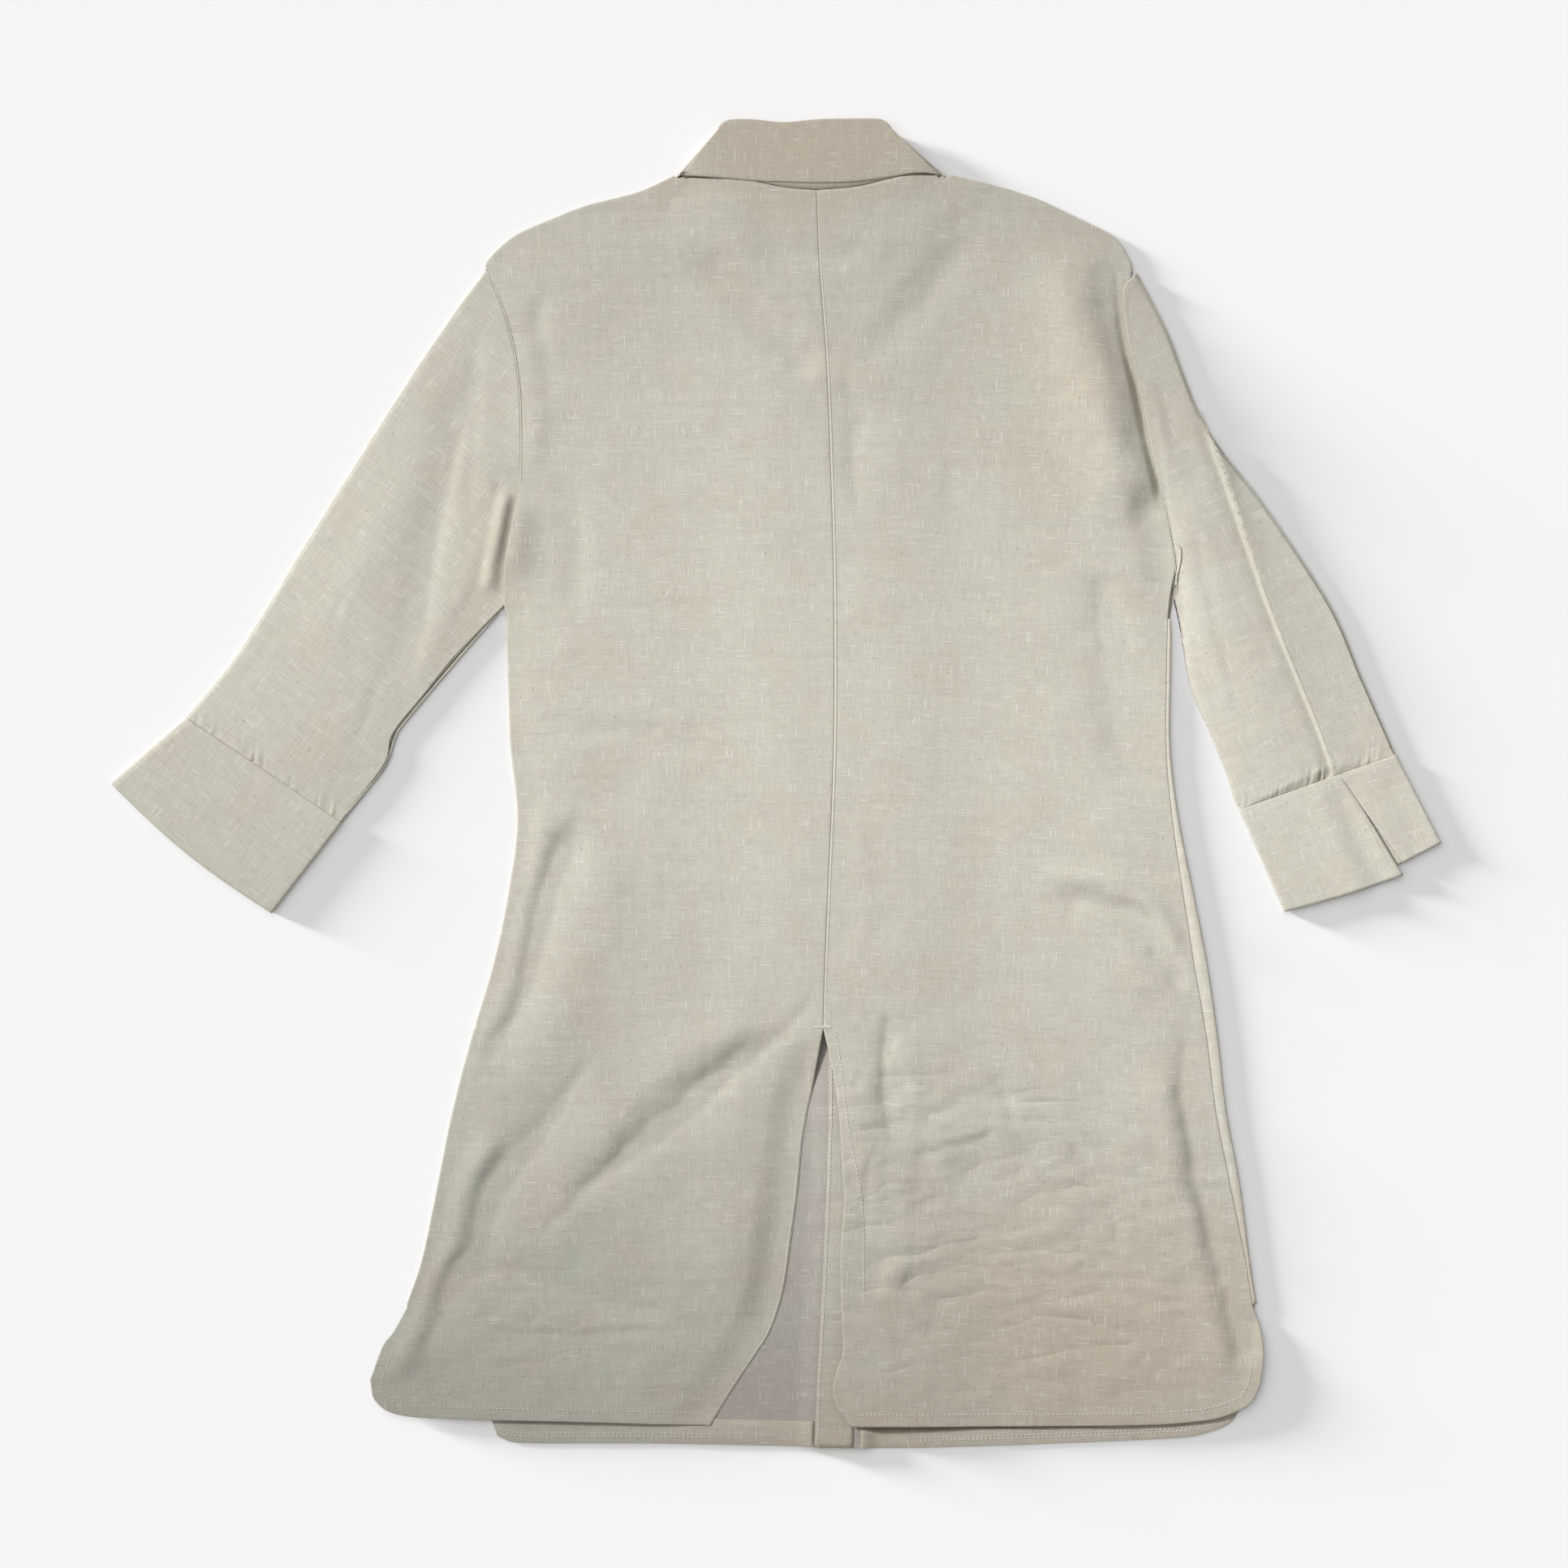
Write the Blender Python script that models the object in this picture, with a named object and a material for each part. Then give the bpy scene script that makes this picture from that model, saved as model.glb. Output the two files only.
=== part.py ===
"""Button-up linen shirt, buttoned, laid face down and flat on a table.

Tables are in millimetres: +X is the wearer's right, +Y runs from hem to collar and +Z is up from the
table. The origin is on the table, under the middle of the shirt's outline. Every piece of cloth is a
grid over its outer face, which Solidify thickens inward.
"""

import math
from collections import namedtuple

import bmesh
import bpy
import numpy as np

MM = 0.001

# Cloth and seams
WALL = 1.0  # one layer of linen, drawn a little thicker than it is
CUFF_WALL = 1.6  # two layers and their interlining
GAP = 0.3  # between pieces at a seam
FOLD = 2.6  # height of two layers where the cloth is folded on itself
FOLD_REACH = 1.3  # how far a fold's nose stands out from the flat cloth beside it

# Fastening
BUTTON_RADIUS = 5.75
BUTTON_THICK = 2.0
BUTTON_DISH = 0.5  # depth of the hollow inside the rim
BUTTON_RIM = 1.4
BUTTON_CHAMFER = 0.6
BUTTON_SEGMENTS = 20
BUTTON_SPACING = 88.0
TOP_BUTTON_Y = 345.0
COLLAR_BUTTON = (27.3, 388.0)
BUTTONS_ON_FRONT = 6
LAP = 15.0  # each front runs this far past the centre front
UNDER_LAP = BUTTON_THICK + GAP  # height of the left front over its buttons
OVER_LAP = UNDER_LAP + WALL + GAP  # height of the right front over the left one
LAP_RAMP = 14.0
LAP_REACH = 30.0  # how far from the centre front the laps' heights are looked for

# Loft of the back over what lies under it
LOFT = 1.0
LAP_RISE = 3.5
LAP_HALF_WIDTH = 30.0
LAP_FADE = 80.0
NECK_HALF_WIDTH = 88.0
NECK_FADE = 30.0
NECK_BELOW = 372.0
NECK_RISE = 45.0  # length over which the loft widens towards the neck
EDGE_FADE = 16.0
CLEARANCE = 0.45

# Collar
WING_LIFT = WALL + GAP  # height of the fronts over the collar points
WING_MARGIN = 24.0
WING_RAMP = 16.0
STAND_TOP = 6.9
STAND_INSET = 2.8
FALL_OVER_STAND = GAP + WALL
ROLL_LIP = 1.0
ROLL_TURN = 2.2

SHOULDER_WRAP = 1.5  # how far the back runs in under the shoulder fold to its seam

# The body's sections from the slits to the underarm: left and right outline, and how far the cloth
# that wraps round each side runs in to its seam.
Section = namedtuple("Section", "y left left_wrap right right_wrap")
BODY = [
    Section(-372, -264, 6, 344, 3),
    Section(-339, -253, 8, 339, 3),
    Section(-286, -242, 9, 332, 7),
    Section(-234, -231.5, 9, 322.5, 7.5),
    Section(-182, -218, 9, 316.5, 8),
    Section(-130, -202.5, 9, 309, 9.5),
    Section(-78, -191.5, 8, 299, 7.5),
    Section(-25, -185, 7, 288.5, 4.5),
    Section(26, -190, 6, 282.5, 3),
    Section(79, -192, 6, 282.7, 3),
    Section(118, -193.5, 5, 283.4, 3),
]

# Plan points of the edges, from the hem upwards or from the side inwards
LEFT_BACK_CORNER = [(-290, -426), (-281, -402), (-273, -391)]
RIGHT_BACK_CORNER = [(346.5, -428), (348.6, -408), (346.8, -391)]
LEFT_FRONT_CORNER = [(-199.5, -466), (-204, -454), (-212, -438), (-232, -406)]
RIGHT_FRONT_CORNER = [(332, -448), (339, -430), (341, -400)]
LEFT_ARMHOLE_BACK = [
    (-194.5, 130), (-194, 154), (-190, 178), (-183.5, 212), (-182.7, 240), (-184.4, 288),
    (-192, 328), (-206.2, 365.5),
]
LEFT_ARMHOLE_FRONT = [
    (-184, 130), (-181, 147), (-180, 166), (-181, 195), (-183.5, 240), (-187.5, 288), (-195, 330),
    (-204, 361),
]
RIGHT_ARMHOLE_BACK = [
    (281.5, 130), (284, 145), (288, 160), (289.5, 172), (286.5, 192), (277, 235), (272, 262),
    (262, 292), (256, 318), (253, 340), (253.6, 363.5),
]
RIGHT_ARMHOLE_FRONT = [
    (283.8, 130), (283, 148), (276, 182), (264, 228), (256, 285), (253, 330), (253, 361),
]
LEFT_SHOULDER = [
    (-206.5, 367.5), (-205, 374.5), (-186.8, 391), (-160, 403.3), (-134.6, 413), (-98, 421.5),
    (-72.5, 431.5),
]
RIGHT_SHOULDER = [
    (254, 365.8), (252, 374.5), (240, 391), (205.3, 408.5), (185.6, 418), (158.3, 426),
    (123.5, 431.5),
]
LEFT_BACK_NECK = [(-72.5, 431.5), (-45, 430.5), (-18, 428), (28.8, 424.5)]
RIGHT_BACK_NECK = [(123.5, 431.5), (100, 429.5), (75, 426.5), (29.1, 424.5)]
LEFT_FRONT_NECK = [(-68, 428.5), (-46, 407), (-18, 385), (12, 374), (42.3, 371.5)]
RIGHT_FRONT_NECK = [(119, 428.5), (99, 407), (72, 385), (42, 374), (12.3, 371.5)]
CENTRE_BACK = [
    (33.8, -175), (34.8, -136), (37.7, -66), (40.6, 3), (41.8, 67), (41.2, 154), (38.9, 235),
    (36, 305), (31.3, 369), (29, 424.5),
]
LEFT_FLAP = [
    (-47, -459), (-30, -432), (-13.9, -408), (-3.5, -391), (5.8, -362), (11, -327), (15.7, -292),
    (19.7, -252), (27.3, -211), (33.8, -175),
]
RIGHT_FLAP = [
    (54.5, -459), (43, -444), (40.6, -432), (43.5, -418), (47.6, -404), (46.4, -367), (46.4, -327),
    (48.7, -298), (47, -269), (44.7, -234), (39.4, -199), (33.8, -175),
]
LEFT_BACK_HEM = [
    (-290, -426), (-286.5, -441), (-270, -451), (-230, -454.2), (-148, -456), (-47, -459),
]
RIGHT_BACK_HEM = [
    (346.5, -428), (339, -443), (321, -452), (300, -456), (257, -458.5), (141, -459.4),
    (54.5, -459),
]
LEFT_FRONT_HEM = [(-199.5, -466), (-183, -471), (-114, -471.3), (-47, -472), (58.5, -474.5)]
RIGHT_FRONT_HEM = [
    (332, -448), (325, -457), (310, -463.5), (286, -467.5), (199, -471.5), (141, -473.5),
    (95, -474.6), (28.5, -474.5),
]
CENTRE_FRONT = [
    (43.5, -474.5), (44.7, -434), (49.9, -333), (53.4, -217), (49.9, -78), (42.9, 96), (34.2, 270),
    (27.3, 371.5),
]

# How the edges are divided: shares of their length
SIDE_STEPS = 24
CORNER_STEPS = 3
VENT_STEPS = 13
ARM_STEPS = 12
FRONT_ARM_STEPS = 6
SHOULDER_SHARES = (0, 0.05, 0.12, 0.21, 0.33, 0.48, 0.64, 0.82, 1)
BACK_NECK_SHARES = (0, 0.12, 0.3, 0.5, 0.75, 1)
FRONT_NECK_SHARES = (0, 0.33, 0.66, 0.763, 0.88, 1)
LAP_COLUMNS = (46.0, 32.0, 16.0, 0.0)  # distances of the last columns from a front's centre edge
CURVE_STEPS = 12

# Soft folds in the back: rise above the cloth beside them (negative is a trough), half-width, path
Fold = namedtuple("Fold", "name rise width path")
BACK_FOLDS = [
    Fold("left hip trough", -2.0, 17, [(-146, -5), (-155, -50), (-176, -110), (-202, -175)]),
    Fold("left hip ridge", 1.8, 20, [(-120, -30), (-128, -95), (-150, -160), (-175, -215)]),
    Fold("left skirt trough", -2.4, 16, [(-137, -201), (-178, -262), (-214, -322), (-244, -385)]),
    Fold("left skirt ridge", 2.2, 22, [(-100, -225), (-140, -290), (-180, -360)]),
    Fold("vent trough", -2.6, 17, [(22, -190), (-30, -205), (-88, -250), (-150, -305)]),
    Fold("vent ridge", 2.2, 22, [(5, -160), (-55, -180), (-110, -222)]),
    Fold("left flap lift", 3.4, 44, [(5, -285), (-8, -340), (-40, -390)]),
    Fold("left flap crease", -1.6, 11, [(-240, -342), (-180, -350), (-120, -368), (-75, -379)]),
    Fold("left armhole ridge", 1.6, 11, [(-170, 335), (-171, 280), (-172, 210)]),
    Fold("right valley", -3.2, 13, [(228, 360), (240, 325), (250, 290), (262, 250), (268, 222)]),
    Fold("right shoulder ridge", 3.2, 22, [(208, 345), (222, 290), (238, 225), (250, 170)]),
    Fold("right waist trough", -2.2, 20, [(226, 155), (240, 96), (252, 38), (258, -20)]),
    Fold("right hip crease", -2.6, 10, [(246, -84), (262, -100), (293, -134)]),
    Fold("right hip ridge", 2.4, 14, [(240, -110), (262, -128), (285, -155)]),
    Fold("right skirt trough", -2.4, 14, [(287, -176), (298, -252), (315, -310), (331, -390)]),
    Fold("right skirt ridge", 2.0, 22, [(262, -200), (270, -280), (285, -360)]),
    Fold("right flap crease", -2.0, 9, [(84, -162), (79, -194), (87, -240), (90, -262)]),
    Fold("right flap ridge", 2.0, 14, [(62, -185), (60, -235), (66, -300)]),
    Fold("right seat wrinkle", 1.8, 14, [(101, -252), (150, -240), (200, -250), (228, -275)]),
    Fold("right seat trough", -1.8, 13, [(78, -292), (118, -275), (160, -268)]),
    Fold("right flap bump", 2.2, 16, [(72, -350), (95, -356)]),
    Fold("centre trough", -1.2, 14, [(52, 298), (57, 258), (56, 190)]),
]
# The left sleeve's edge under the fold of the back at the underarm
LEFT_HIDDEN_MOUTH = [(-180.5, 152), (-178.5, 172), (-179, 195), (-182, 222)]
LIP_FADE = 10.0
LIP = Fold("left underarm lip", 2.7, 15, [(-183, 215), (-185, 180), (-185, 138)])

# Sleeves: outer and inner outline from armhole to cuff, and how high the upper layer stands
Station = namedtuple("Station", "outer inner height")
LEFT_SLEEVE = [
    Station((-208.2, 366.5), (-186, 132.5), 4.2),
    Station((-228, 340), (-195, 126.4), 4.6),
    Station((-262, 290), (-226.8, 93.4), 5.4),
    Station((-302, 227), (-252, 62), 6.0),
    Station((-340, 166), (-274, 34), 5.6),
    Station((-386, 92), (-280, 12), 5.0),
    Station((-422, 47.5), (-310.5, -27.9), 4.4),
]
RIGHT_SLEEVE = [
    Station((258.5, 366), (286.5, 134.6), 5.4),
    Station((281, 322), (291, 113.5), 6.2),
    Station((308, 256), (297.5, 72), 6.8),
    Station((351, 198), (308, 44), 7.0),
    Station((397, 128), (322, 9), 6.4),
    Station((420, 75), (327, -8), 5.4),
    Station((443.6, 21.2), (331.9, -18.2), 4.4),
]
# Where the right sleeve rolls over the back, and the roll's lines from its hidden end to its crest:
# how far in from the roll's edge each lies, and its height
ROLL_PATH = [
    (249, 356), (248, 343), (250.8, 320), (255.5, 300), (260.3, 280), (264.6, 259), (269, 237),
    (273.2, 218), (278.8, 192), (283.2, 170), (285.4, 155), (286.3, 143),
]
ROLL_HEIGHT = 7.0
ROLL_TURNS = ((0.0, 4.0), (0.8, 5.7), (2.6, ROLL_HEIGHT))
ROLL_STEP = 0.35
UNDER_ROLL = 8.0  # width of the back that is pressed flat beside the roll's edge
UNDER_ROLL_FADE = 20.0
SLEEVE_SHARES = (0, 0.02, 0.05, 0.1, 0.17, 0.25, 0.33, 0.41, 0.49, 0.57, 0.65, 0.73, 0.81, 0.89, 0.96, 1)
SLEEVE_CROWN = 0.5  # power of the sine that rounds a sleeve across; smaller is flatter
ROLL_CROWN = 0.35
MOUTH_FADE = 0.12  # share of the sleeve over which its height leaves the armhole's
NOSE_WIDTH = 1.6  # width of a sleeve's edge folds
HIDDEN_HEIGHT = FOLD + 0.6  # of the left sleeve under the fold of the back
HIDDEN_BELOW = 215.0
HIDDEN_FADE = 25.0
SLEEVE_FOLDS = {
    "left": [
        Fold("elbow trough", -2.2, 14, [(-222, 300), (-236, 236), (-257, 130), (-272, 60)]),
        Fold("upper ridge", 1.6, 18, [(-262, 235), (-300, 150), (-340, 80)]),
        Fold("under crease", 1.2, 9, [(-205, 190), (-222, 130), (-262, 70)]),
    ],
    "right": [
        Fold("pressed crease", 3.2, 6, [(309, 250), (321, 218), (349, 137), (376, 67), (397, 18)]),
        Fold("crease trough", -2.2, 9, [(304, 215), (330, 140), (356, 75), (380, 20)]),
        Fold("head trough", -1.8, 12, [(276, 300), (292, 240), (300, 190)]),
        Fold("inner ridge", 1.4, 12, [(296, 160), (312, 100), (330, 40)]),
    ],
}

# Cuffs: the seam end and the hem end, outer then inner corner, and where across the upper layer the
# slit lies (0 is the outer edge)
Cuff = namedtuple("Cuff", "seam hem bulge slit")
CUFFS = {
    "left": Cuff([(-422.4, 47.1), (-310.9, -28.4)], [(-476, 0.8), (-360.5, -92.5)], 5.0, 0.0),
    "right": Cuff([(443.8, 20.7), (332, -18.8)], [(476, -42), (364, -91.5)], 3.0, 0.36),
}
SLIT_OPENING = {"left": 0.0, "right": 6.0}
CUFF_TOP_STEPS = 8
CUFF_UNDER_STEPS = 6
CUFF_EDGE_STEPS = 4
CUFF_HEIGHT = 4.4
CUFF_SHARES = (0, 0.3, 0.6, 0.85, 1)
CUFF_NOSE = 1.9
CUFF_EDGE_GAP = 0.5  # half the opening between a cuff's ends

# Collar: roll line and outer edge of the fall, from the front centre round the back
FALL_BACK_ROLL = [(-32.5, 474.5), (-15, 473.5), (5, 471.5), (28, 473.8), (52, 474.5), (74.5, 474)]
FALL_BACK_EDGE = [
    (-68, 434.5), (-40, 432.3), (-8, 431), (25, 430.5), (60, 431), (92, 432.2), (119, 434.5),
]
FALL_WING_ROLL = {
    "left": [(22.5, 408), (4, 424), (-16, 449), (-31, 472)],
    "right": [(32, 408), (50, 424), (65, 449), (73, 472)],
}
FALL_WING_EDGE = {
    "left": [(-25.5, 356), (-40, 380), (-55.5, 407), (-68.5, 433)],
    "right": [(80, 356), (92, 380), (106, 407), (119.5, 433)],
}
WING_STEPS = 5
BACK_STEPS = 10
FALL_SHARES = (0, 0.35, 0.7, 1)
STAND_SHARES = (0, 0.43, 0.86)  # of the way from the neckline to the top fold
NOSE_ANGLES = (50, 0, -50)
COLLAR_NOSE_REACH = 2.6
STAND_NOSE_REACH = 1.2

MATERIALS = {"linen": ((0.56, 0.53, 0.45), 0.9), "button": ((0.62, 0.57, 0.47), 0.4)}


def clear_scene():
    for obj in list(bpy.data.objects):
        bpy.data.objects.remove(obj, do_unlink=True)


def make_material(name):
    colour, roughness = MATERIALS[name]
    material = bpy.data.materials.new(name)
    material.use_nodes = True
    shader = material.node_tree.nodes["Principled BSDF"]
    shader.inputs["Base Color"].default_value = (*colour, 1.0)
    shader.inputs["Roughness"].default_value = roughness
    shader.inputs["Metallic"].default_value = 0.0
    return material


# ---------------------------------------------------------------- curves and grids


def smoothstep(value):
    value = np.clip(value, 0.0, 1.0)
    return value * value * (3 - 2 * value)


def along(points, shares):
    """Points at shares of the length of a smooth curve through the given points."""
    knots = np.array(points, float)
    padded = np.vstack([2 * knots[0] - knots[1], knots, 2 * knots[-1] - knots[-2]])
    t = np.linspace(0, 1, CURVE_STEPS, endpoint=False)[:, None]
    pieces = []
    for a, b, c, d in zip(padded, padded[1:], padded[2:], padded[3:]):
        bend = (2 * a - 5 * b + 4 * c - d) * t**2 + (3 * b - a - 3 * c + d) * t**3
        pieces.append(b + 0.5 * ((c - a) * t + bend))
    line = np.vstack([*pieces, knots[-1:]])
    length = np.concatenate([[0], np.cumsum(np.linalg.norm(np.diff(line, axis=0), axis=1))])
    at = np.asarray(shares) * length[-1]
    return np.column_stack([np.interp(at, length, column) for column in line.T])


def evenly(points, steps):
    return along(points, np.linspace(0, 1, steps + 1))


def shares_of(line):
    """How far along its own length each point of a line lies, from 0 to 1."""
    length = np.concatenate([[0], np.cumsum(np.linalg.norm(np.diff(line, axis=0), axis=1))])
    return length / length[-1]


def joined(*lines):
    """Lines end to end, with the shared end points kept once."""
    return np.vstack([lines[0], *[line[1:] for line in lines[1:]]])


def patch(side, centre, hem, top):
    """Plan points spread evenly between four edges that meet at their corners."""
    v = shares_of(side)[:, None, None]
    u = shares_of(top)[None, :, None]
    lower = (1 - u) * side[0] + u * centre[0]
    upper = (1 - u) * side[-1] + u * centre[-1]
    across = (1 - u) * side[:, None] + u * centre[:, None]
    return across + (1 - v) ** 2 * (hem - lower) + v**2 * (top - upper)


def distance_to(plan, path):
    """Distance of each plan point from a line of straight stretches."""
    nearest = np.full(plan.shape[:-1], np.inf)
    path = np.array(path, float)
    for start, end in zip(path, path[1:]):
        run = end - start
        t = np.clip(((plan - start) @ run) / (run @ run), 0, 1)
        nearest = np.minimum(nearest, np.linalg.norm(plan - start - t[..., None] * run, axis=-1))
    return nearest


def fold_rise(plan, folds):
    """The sum of soft folds at each plan point."""
    total = np.zeros(plan.shape[:-1])
    for fold in folds:
        total += fold.rise * np.exp(-((distance_to(plan, fold.path) / fold.width) ** 2))
    return total


def lifted(plan, height):
    """Plan points with their heights."""
    return np.concatenate([plan, np.broadcast_to(height, plan.shape[:-1])[..., None]], axis=-1)


# ---------------------------------------------------------------- meshes


def add_object(name, mesh, material):
    obj = bpy.data.objects.new(name, mesh)
    obj.data.materials.append(material)
    bpy.context.scene.collection.objects.link(obj)
    return obj


def cloth(name, grid, material, wall=WALL, cells=None, closed=False, up=True, probe=None):
    """A wall of cloth behind a grid of outer points; cells says which of its quads exist."""
    rows, columns = grid.shape[:2]
    across = columns if closed else columns - 1
    if cells is None:
        cells = np.ones((rows - 1, across), bool)
    shape = bmesh.new()
    points = {}

    def point(row, column):
        key = (row, column % columns)
        if key not in points:
            points[key] = shape.verts.new([float(value) * MM for value in grid[key]])
        return points[key]

    for row, column in zip(*np.nonzero(cells)):
        corners = [(row, column), (row, column + 1), (row + 1, column + 1), (row + 1, column)]
        shape.faces.new([point(*corner) for corner in corners])
    shape.normal_update()
    shape.faces.ensure_lookup_table()
    row, column = probe or (rows // 2, columns // 2)
    corner = grid[row, column]
    normal = np.cross(grid[row, column + 1] - corner, grid[row + 1, column] - corner)
    if (normal[2] > 0) != up:
        bmesh.ops.reverse_faces(shape, faces=shape.faces)
    mesh = bpy.data.meshes.new(name)
    shape.to_mesh(mesh)
    shape.free()
    obj = add_object(name, mesh, material)
    thicken = obj.modifiers.new("wall", "SOLIDIFY")
    thicken.thickness = wall * MM
    thicken.offset = -1.0
    thicken.use_even_offset = True
    thicken.use_quality_normals = True
    obj.modifiers.new("shading", "WEIGHTED_NORMAL")
    obj.data.shade_smooth()
    return obj


# ---------------------------------------------------------------- heights


def centre_front_x(y):
    line = evenly(CENTRE_FRONT, CURVE_STEPS)
    return np.interp(y, line[:, 1], line[:, 0])


def wing_lift(plan):
    """Height of the cloth that lies on the collar's points."""
    near = np.full(plan.shape[:-1], np.inf)
    for side in ("left", "right"):
        roll, edge = np.array(FALL_WING_ROLL[side]), np.array(FALL_WING_EDGE[side])
        for share in np.linspace(0, 1, CURVE_STEPS):
            near = np.minimum(near, distance_to(plan, edge + (roll - edge) * share))
    return WING_LIFT * (1 - smoothstep((near - WING_MARGIN) / WING_RAMP))


def front_height(plan, side):
    """Height of a front's outer face: on the table, or over the buttons and the collar's points."""
    past_centre = plan[..., 0] - centre_front_x(plan[..., 1])
    if side == "left":
        lap = UNDER_LAP * (1 - smoothstep((-past_centre - LAP - 1) / LAP_RAMP))
    else:
        lap = OVER_LAP * (1 - smoothstep((past_centre - LAP - 2) / LAP_RAMP))
    return np.maximum(lap, wing_lift(plan))


def front_top(plan):
    """Height of the upper face of whichever front lies on top."""
    past_centre = plan[..., 0] - centre_front_x(plan[..., 1])
    left = front_height(plan, "left") * (past_centre < LAP_REACH)
    right = front_height(plan, "right") * (past_centre > -LAP_REACH)
    return WALL + np.maximum(left, right)


LEFT_EDGE = [(section.left + FOLD_REACH, section.y) for section in BODY]
RIGHT_EDGE = [(section.right - section.right_wrap, section.y) for section in BODY]


def back_height(plan):
    """Height of the back's outer face over the fronts, with its soft folds."""
    x, y = plan[..., 0], plan[..., 1]
    near_neck = smoothstep((y - NECK_BELOW) / NECK_RISE)
    half = LAP_HALF_WIDTH + (NECK_HALF_WIDTH - LAP_HALF_WIDTH) * near_neck
    fade = LAP_FADE + (NECK_FADE - LAP_FADE) * near_neck
    over_lap = 1 - smoothstep((np.abs(x - centre_front_x(y)) - half) / fade)
    edges = (LEFT_EDGE, RIGHT_EDGE, LEFT_SHOULDER, RIGHT_SHOULDER)
    inner = smoothstep(np.minimum.reduce([distance_to(plan, line) for line in edges]) / EDGE_FADE)
    loft = LAP_RISE * over_lap + LOFT + fold_rise(plan, BACK_FOLDS)
    height = FOLD + inner * loft + fold_rise(plan, [LIP])
    beside_roll = smoothstep((distance_to(plan, ROLL_PATH) - UNDER_ROLL) / UNDER_ROLL_FADE)
    height = FOLD + (height - FOLD) * beside_roll
    return np.maximum(height, front_top(plan) + CLEARANCE + WALL)


# ---------------------------------------------------------------- body panels


def outward_of(line, sign):
    """Unit vectors square to a plan line: to its right for a sign of 1, to its left for -1."""
    ahead = np.gradient(line[:, :2], axis=0)
    ahead /= np.linalg.norm(ahead, axis=1)[:, None]
    return sign * np.column_stack([ahead[:, 1], -ahead[:, 0]])


def body_side(name):
    """The outline of one side of the body, from slit to underarm, and the way out from it."""
    line = evenly([(getattr(section, name), section.y) for section in BODY], SIDE_STEPS)
    return line, outward_of(line, -1 if name == "left" else 1)


def section_values(name, heights):
    """A column of the body's sections, read off at these heights."""
    values = [getattr(section, name) for section in BODY]
    return np.interp(heights, [section.y for section in BODY], values)[:, None]


def side_seam(side, from_fold):
    """The line where front and back meet, a distance on from the seam itself."""
    line, outward = body_side(side)
    wrap = section_values(f"{side}_wrap", line[:, 1])
    return line - outward * (wrap + from_fold)


def rows_of(corner, side, arm):
    """A panel's outer edge from its hem corner to its shoulder."""
    return joined(evenly([*corner, side[0]], CORNER_STEPS), side, arm)


def back_plan(side):
    """Plan grid of half the back, and how many of its top columns lie on the shoulder."""
    if side == "left":
        line, outward = body_side(side)
        seam = line - outward * FOLD_REACH
        corner, armhole = LEFT_BACK_CORNER, LEFT_ARMHOLE_BACK
        shoulder, neck = LEFT_SHOULDER, LEFT_BACK_NECK
        flap, hem, inward = LEFT_FLAP, LEFT_BACK_HEM, -GAP / 2
    else:
        seam = side_seam(side, GAP)
        corner, armhole = RIGHT_BACK_CORNER, RIGHT_ARMHOLE_BACK
        shoulder, neck = RIGHT_SHOULDER, RIGHT_BACK_NECK
        flap, hem, inward = RIGHT_FLAP, RIGHT_BACK_HEM, GAP / 2
    top = joined(along(shoulder, SHOULDER_SHARES), along(neck, BACK_NECK_SHARES))
    edge = rows_of(corner, seam, evenly([seam[-1], *armhole[:-1], top[0]], ARM_STEPS + 1))
    seam_steps = len(edge) - 1 - VENT_STEPS
    centre = joined(evenly(flap, VENT_STEPS), evenly(CENTRE_BACK, seam_steps)) + [inward, 0]
    top[-1] = centre[-1]
    hem_line = along(hem, shares_of(top))
    hem_line[0], hem_line[-1] = edge[0], centre[0]
    return patch(edge, centre, hem_line, top)


def folded_edge(line, outward, wrap):
    """Three more lines round a folded edge: its nose, its under side and where the cloth ends."""
    nose = line.copy()
    nose[:, :2] += outward * FOLD_REACH
    nose[:, 2] /= 2
    under = line.copy()
    under[:, 2] = 0.0
    end = under.copy()
    end[:, :2] -= outward * wrap
    return [nose, under, end]


def with_shoulder(grid, sign):
    """The panel's grid and cells with its shoulder edge rolled down to the table."""
    rows, columns = grid.shape[:2]
    extra = folded_edge(grid[-1], outward_of(grid[-1], sign), SHOULDER_WRAP)
    cells = np.ones((rows - 1, columns - 1), bool)
    shoulder = np.zeros((len(extra), columns - 1), bool)
    shoulder[:, : len(SHOULDER_SHARES) - 1] = True
    return np.concatenate([grid, np.stack(extra)]), np.vstack([cells, shoulder])


def side_cells(rows):
    """Which cells beside a panel's edge belong to the cloth wrapped round the side."""
    cells = np.zeros((rows - 1, 3), bool)
    cells[CORNER_STEPS : CORNER_STEPS + SIDE_STEPS] = True
    return cells


def make_back_left(material):
    """Half the back, folded round the side of the body to its seam with the front."""
    plan = back_plan("left")
    grid, cells = with_shoulder(lifted(plan, back_height(plan)), -1)
    edge = grid[:, 0].copy()
    outward = np.zeros((len(edge), 2))
    outward[: len(plan)] = outward_of(plan[:, 0], -1)
    rows = slice(CORNER_STEPS, CORNER_STEPS + SIDE_STEPS + 1)
    outward[rows] = body_side("left")[1]
    wrap = section_values("left_wrap", edge[:, 1]) - FOLD_REACH
    extra = folded_edge(edge, outward, wrap)
    grid = np.concatenate([np.stack(extra[::-1], axis=1), grid], axis=1)
    cloth("back_left", grid, material, cells=np.hstack([side_cells(len(grid)), cells]))


def make_back_right(material):
    plan = back_plan("right")
    grid, cells = with_shoulder(lifted(plan, back_height(plan)), 1)
    cloth("back_right", grid, material, cells=cells)


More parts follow.
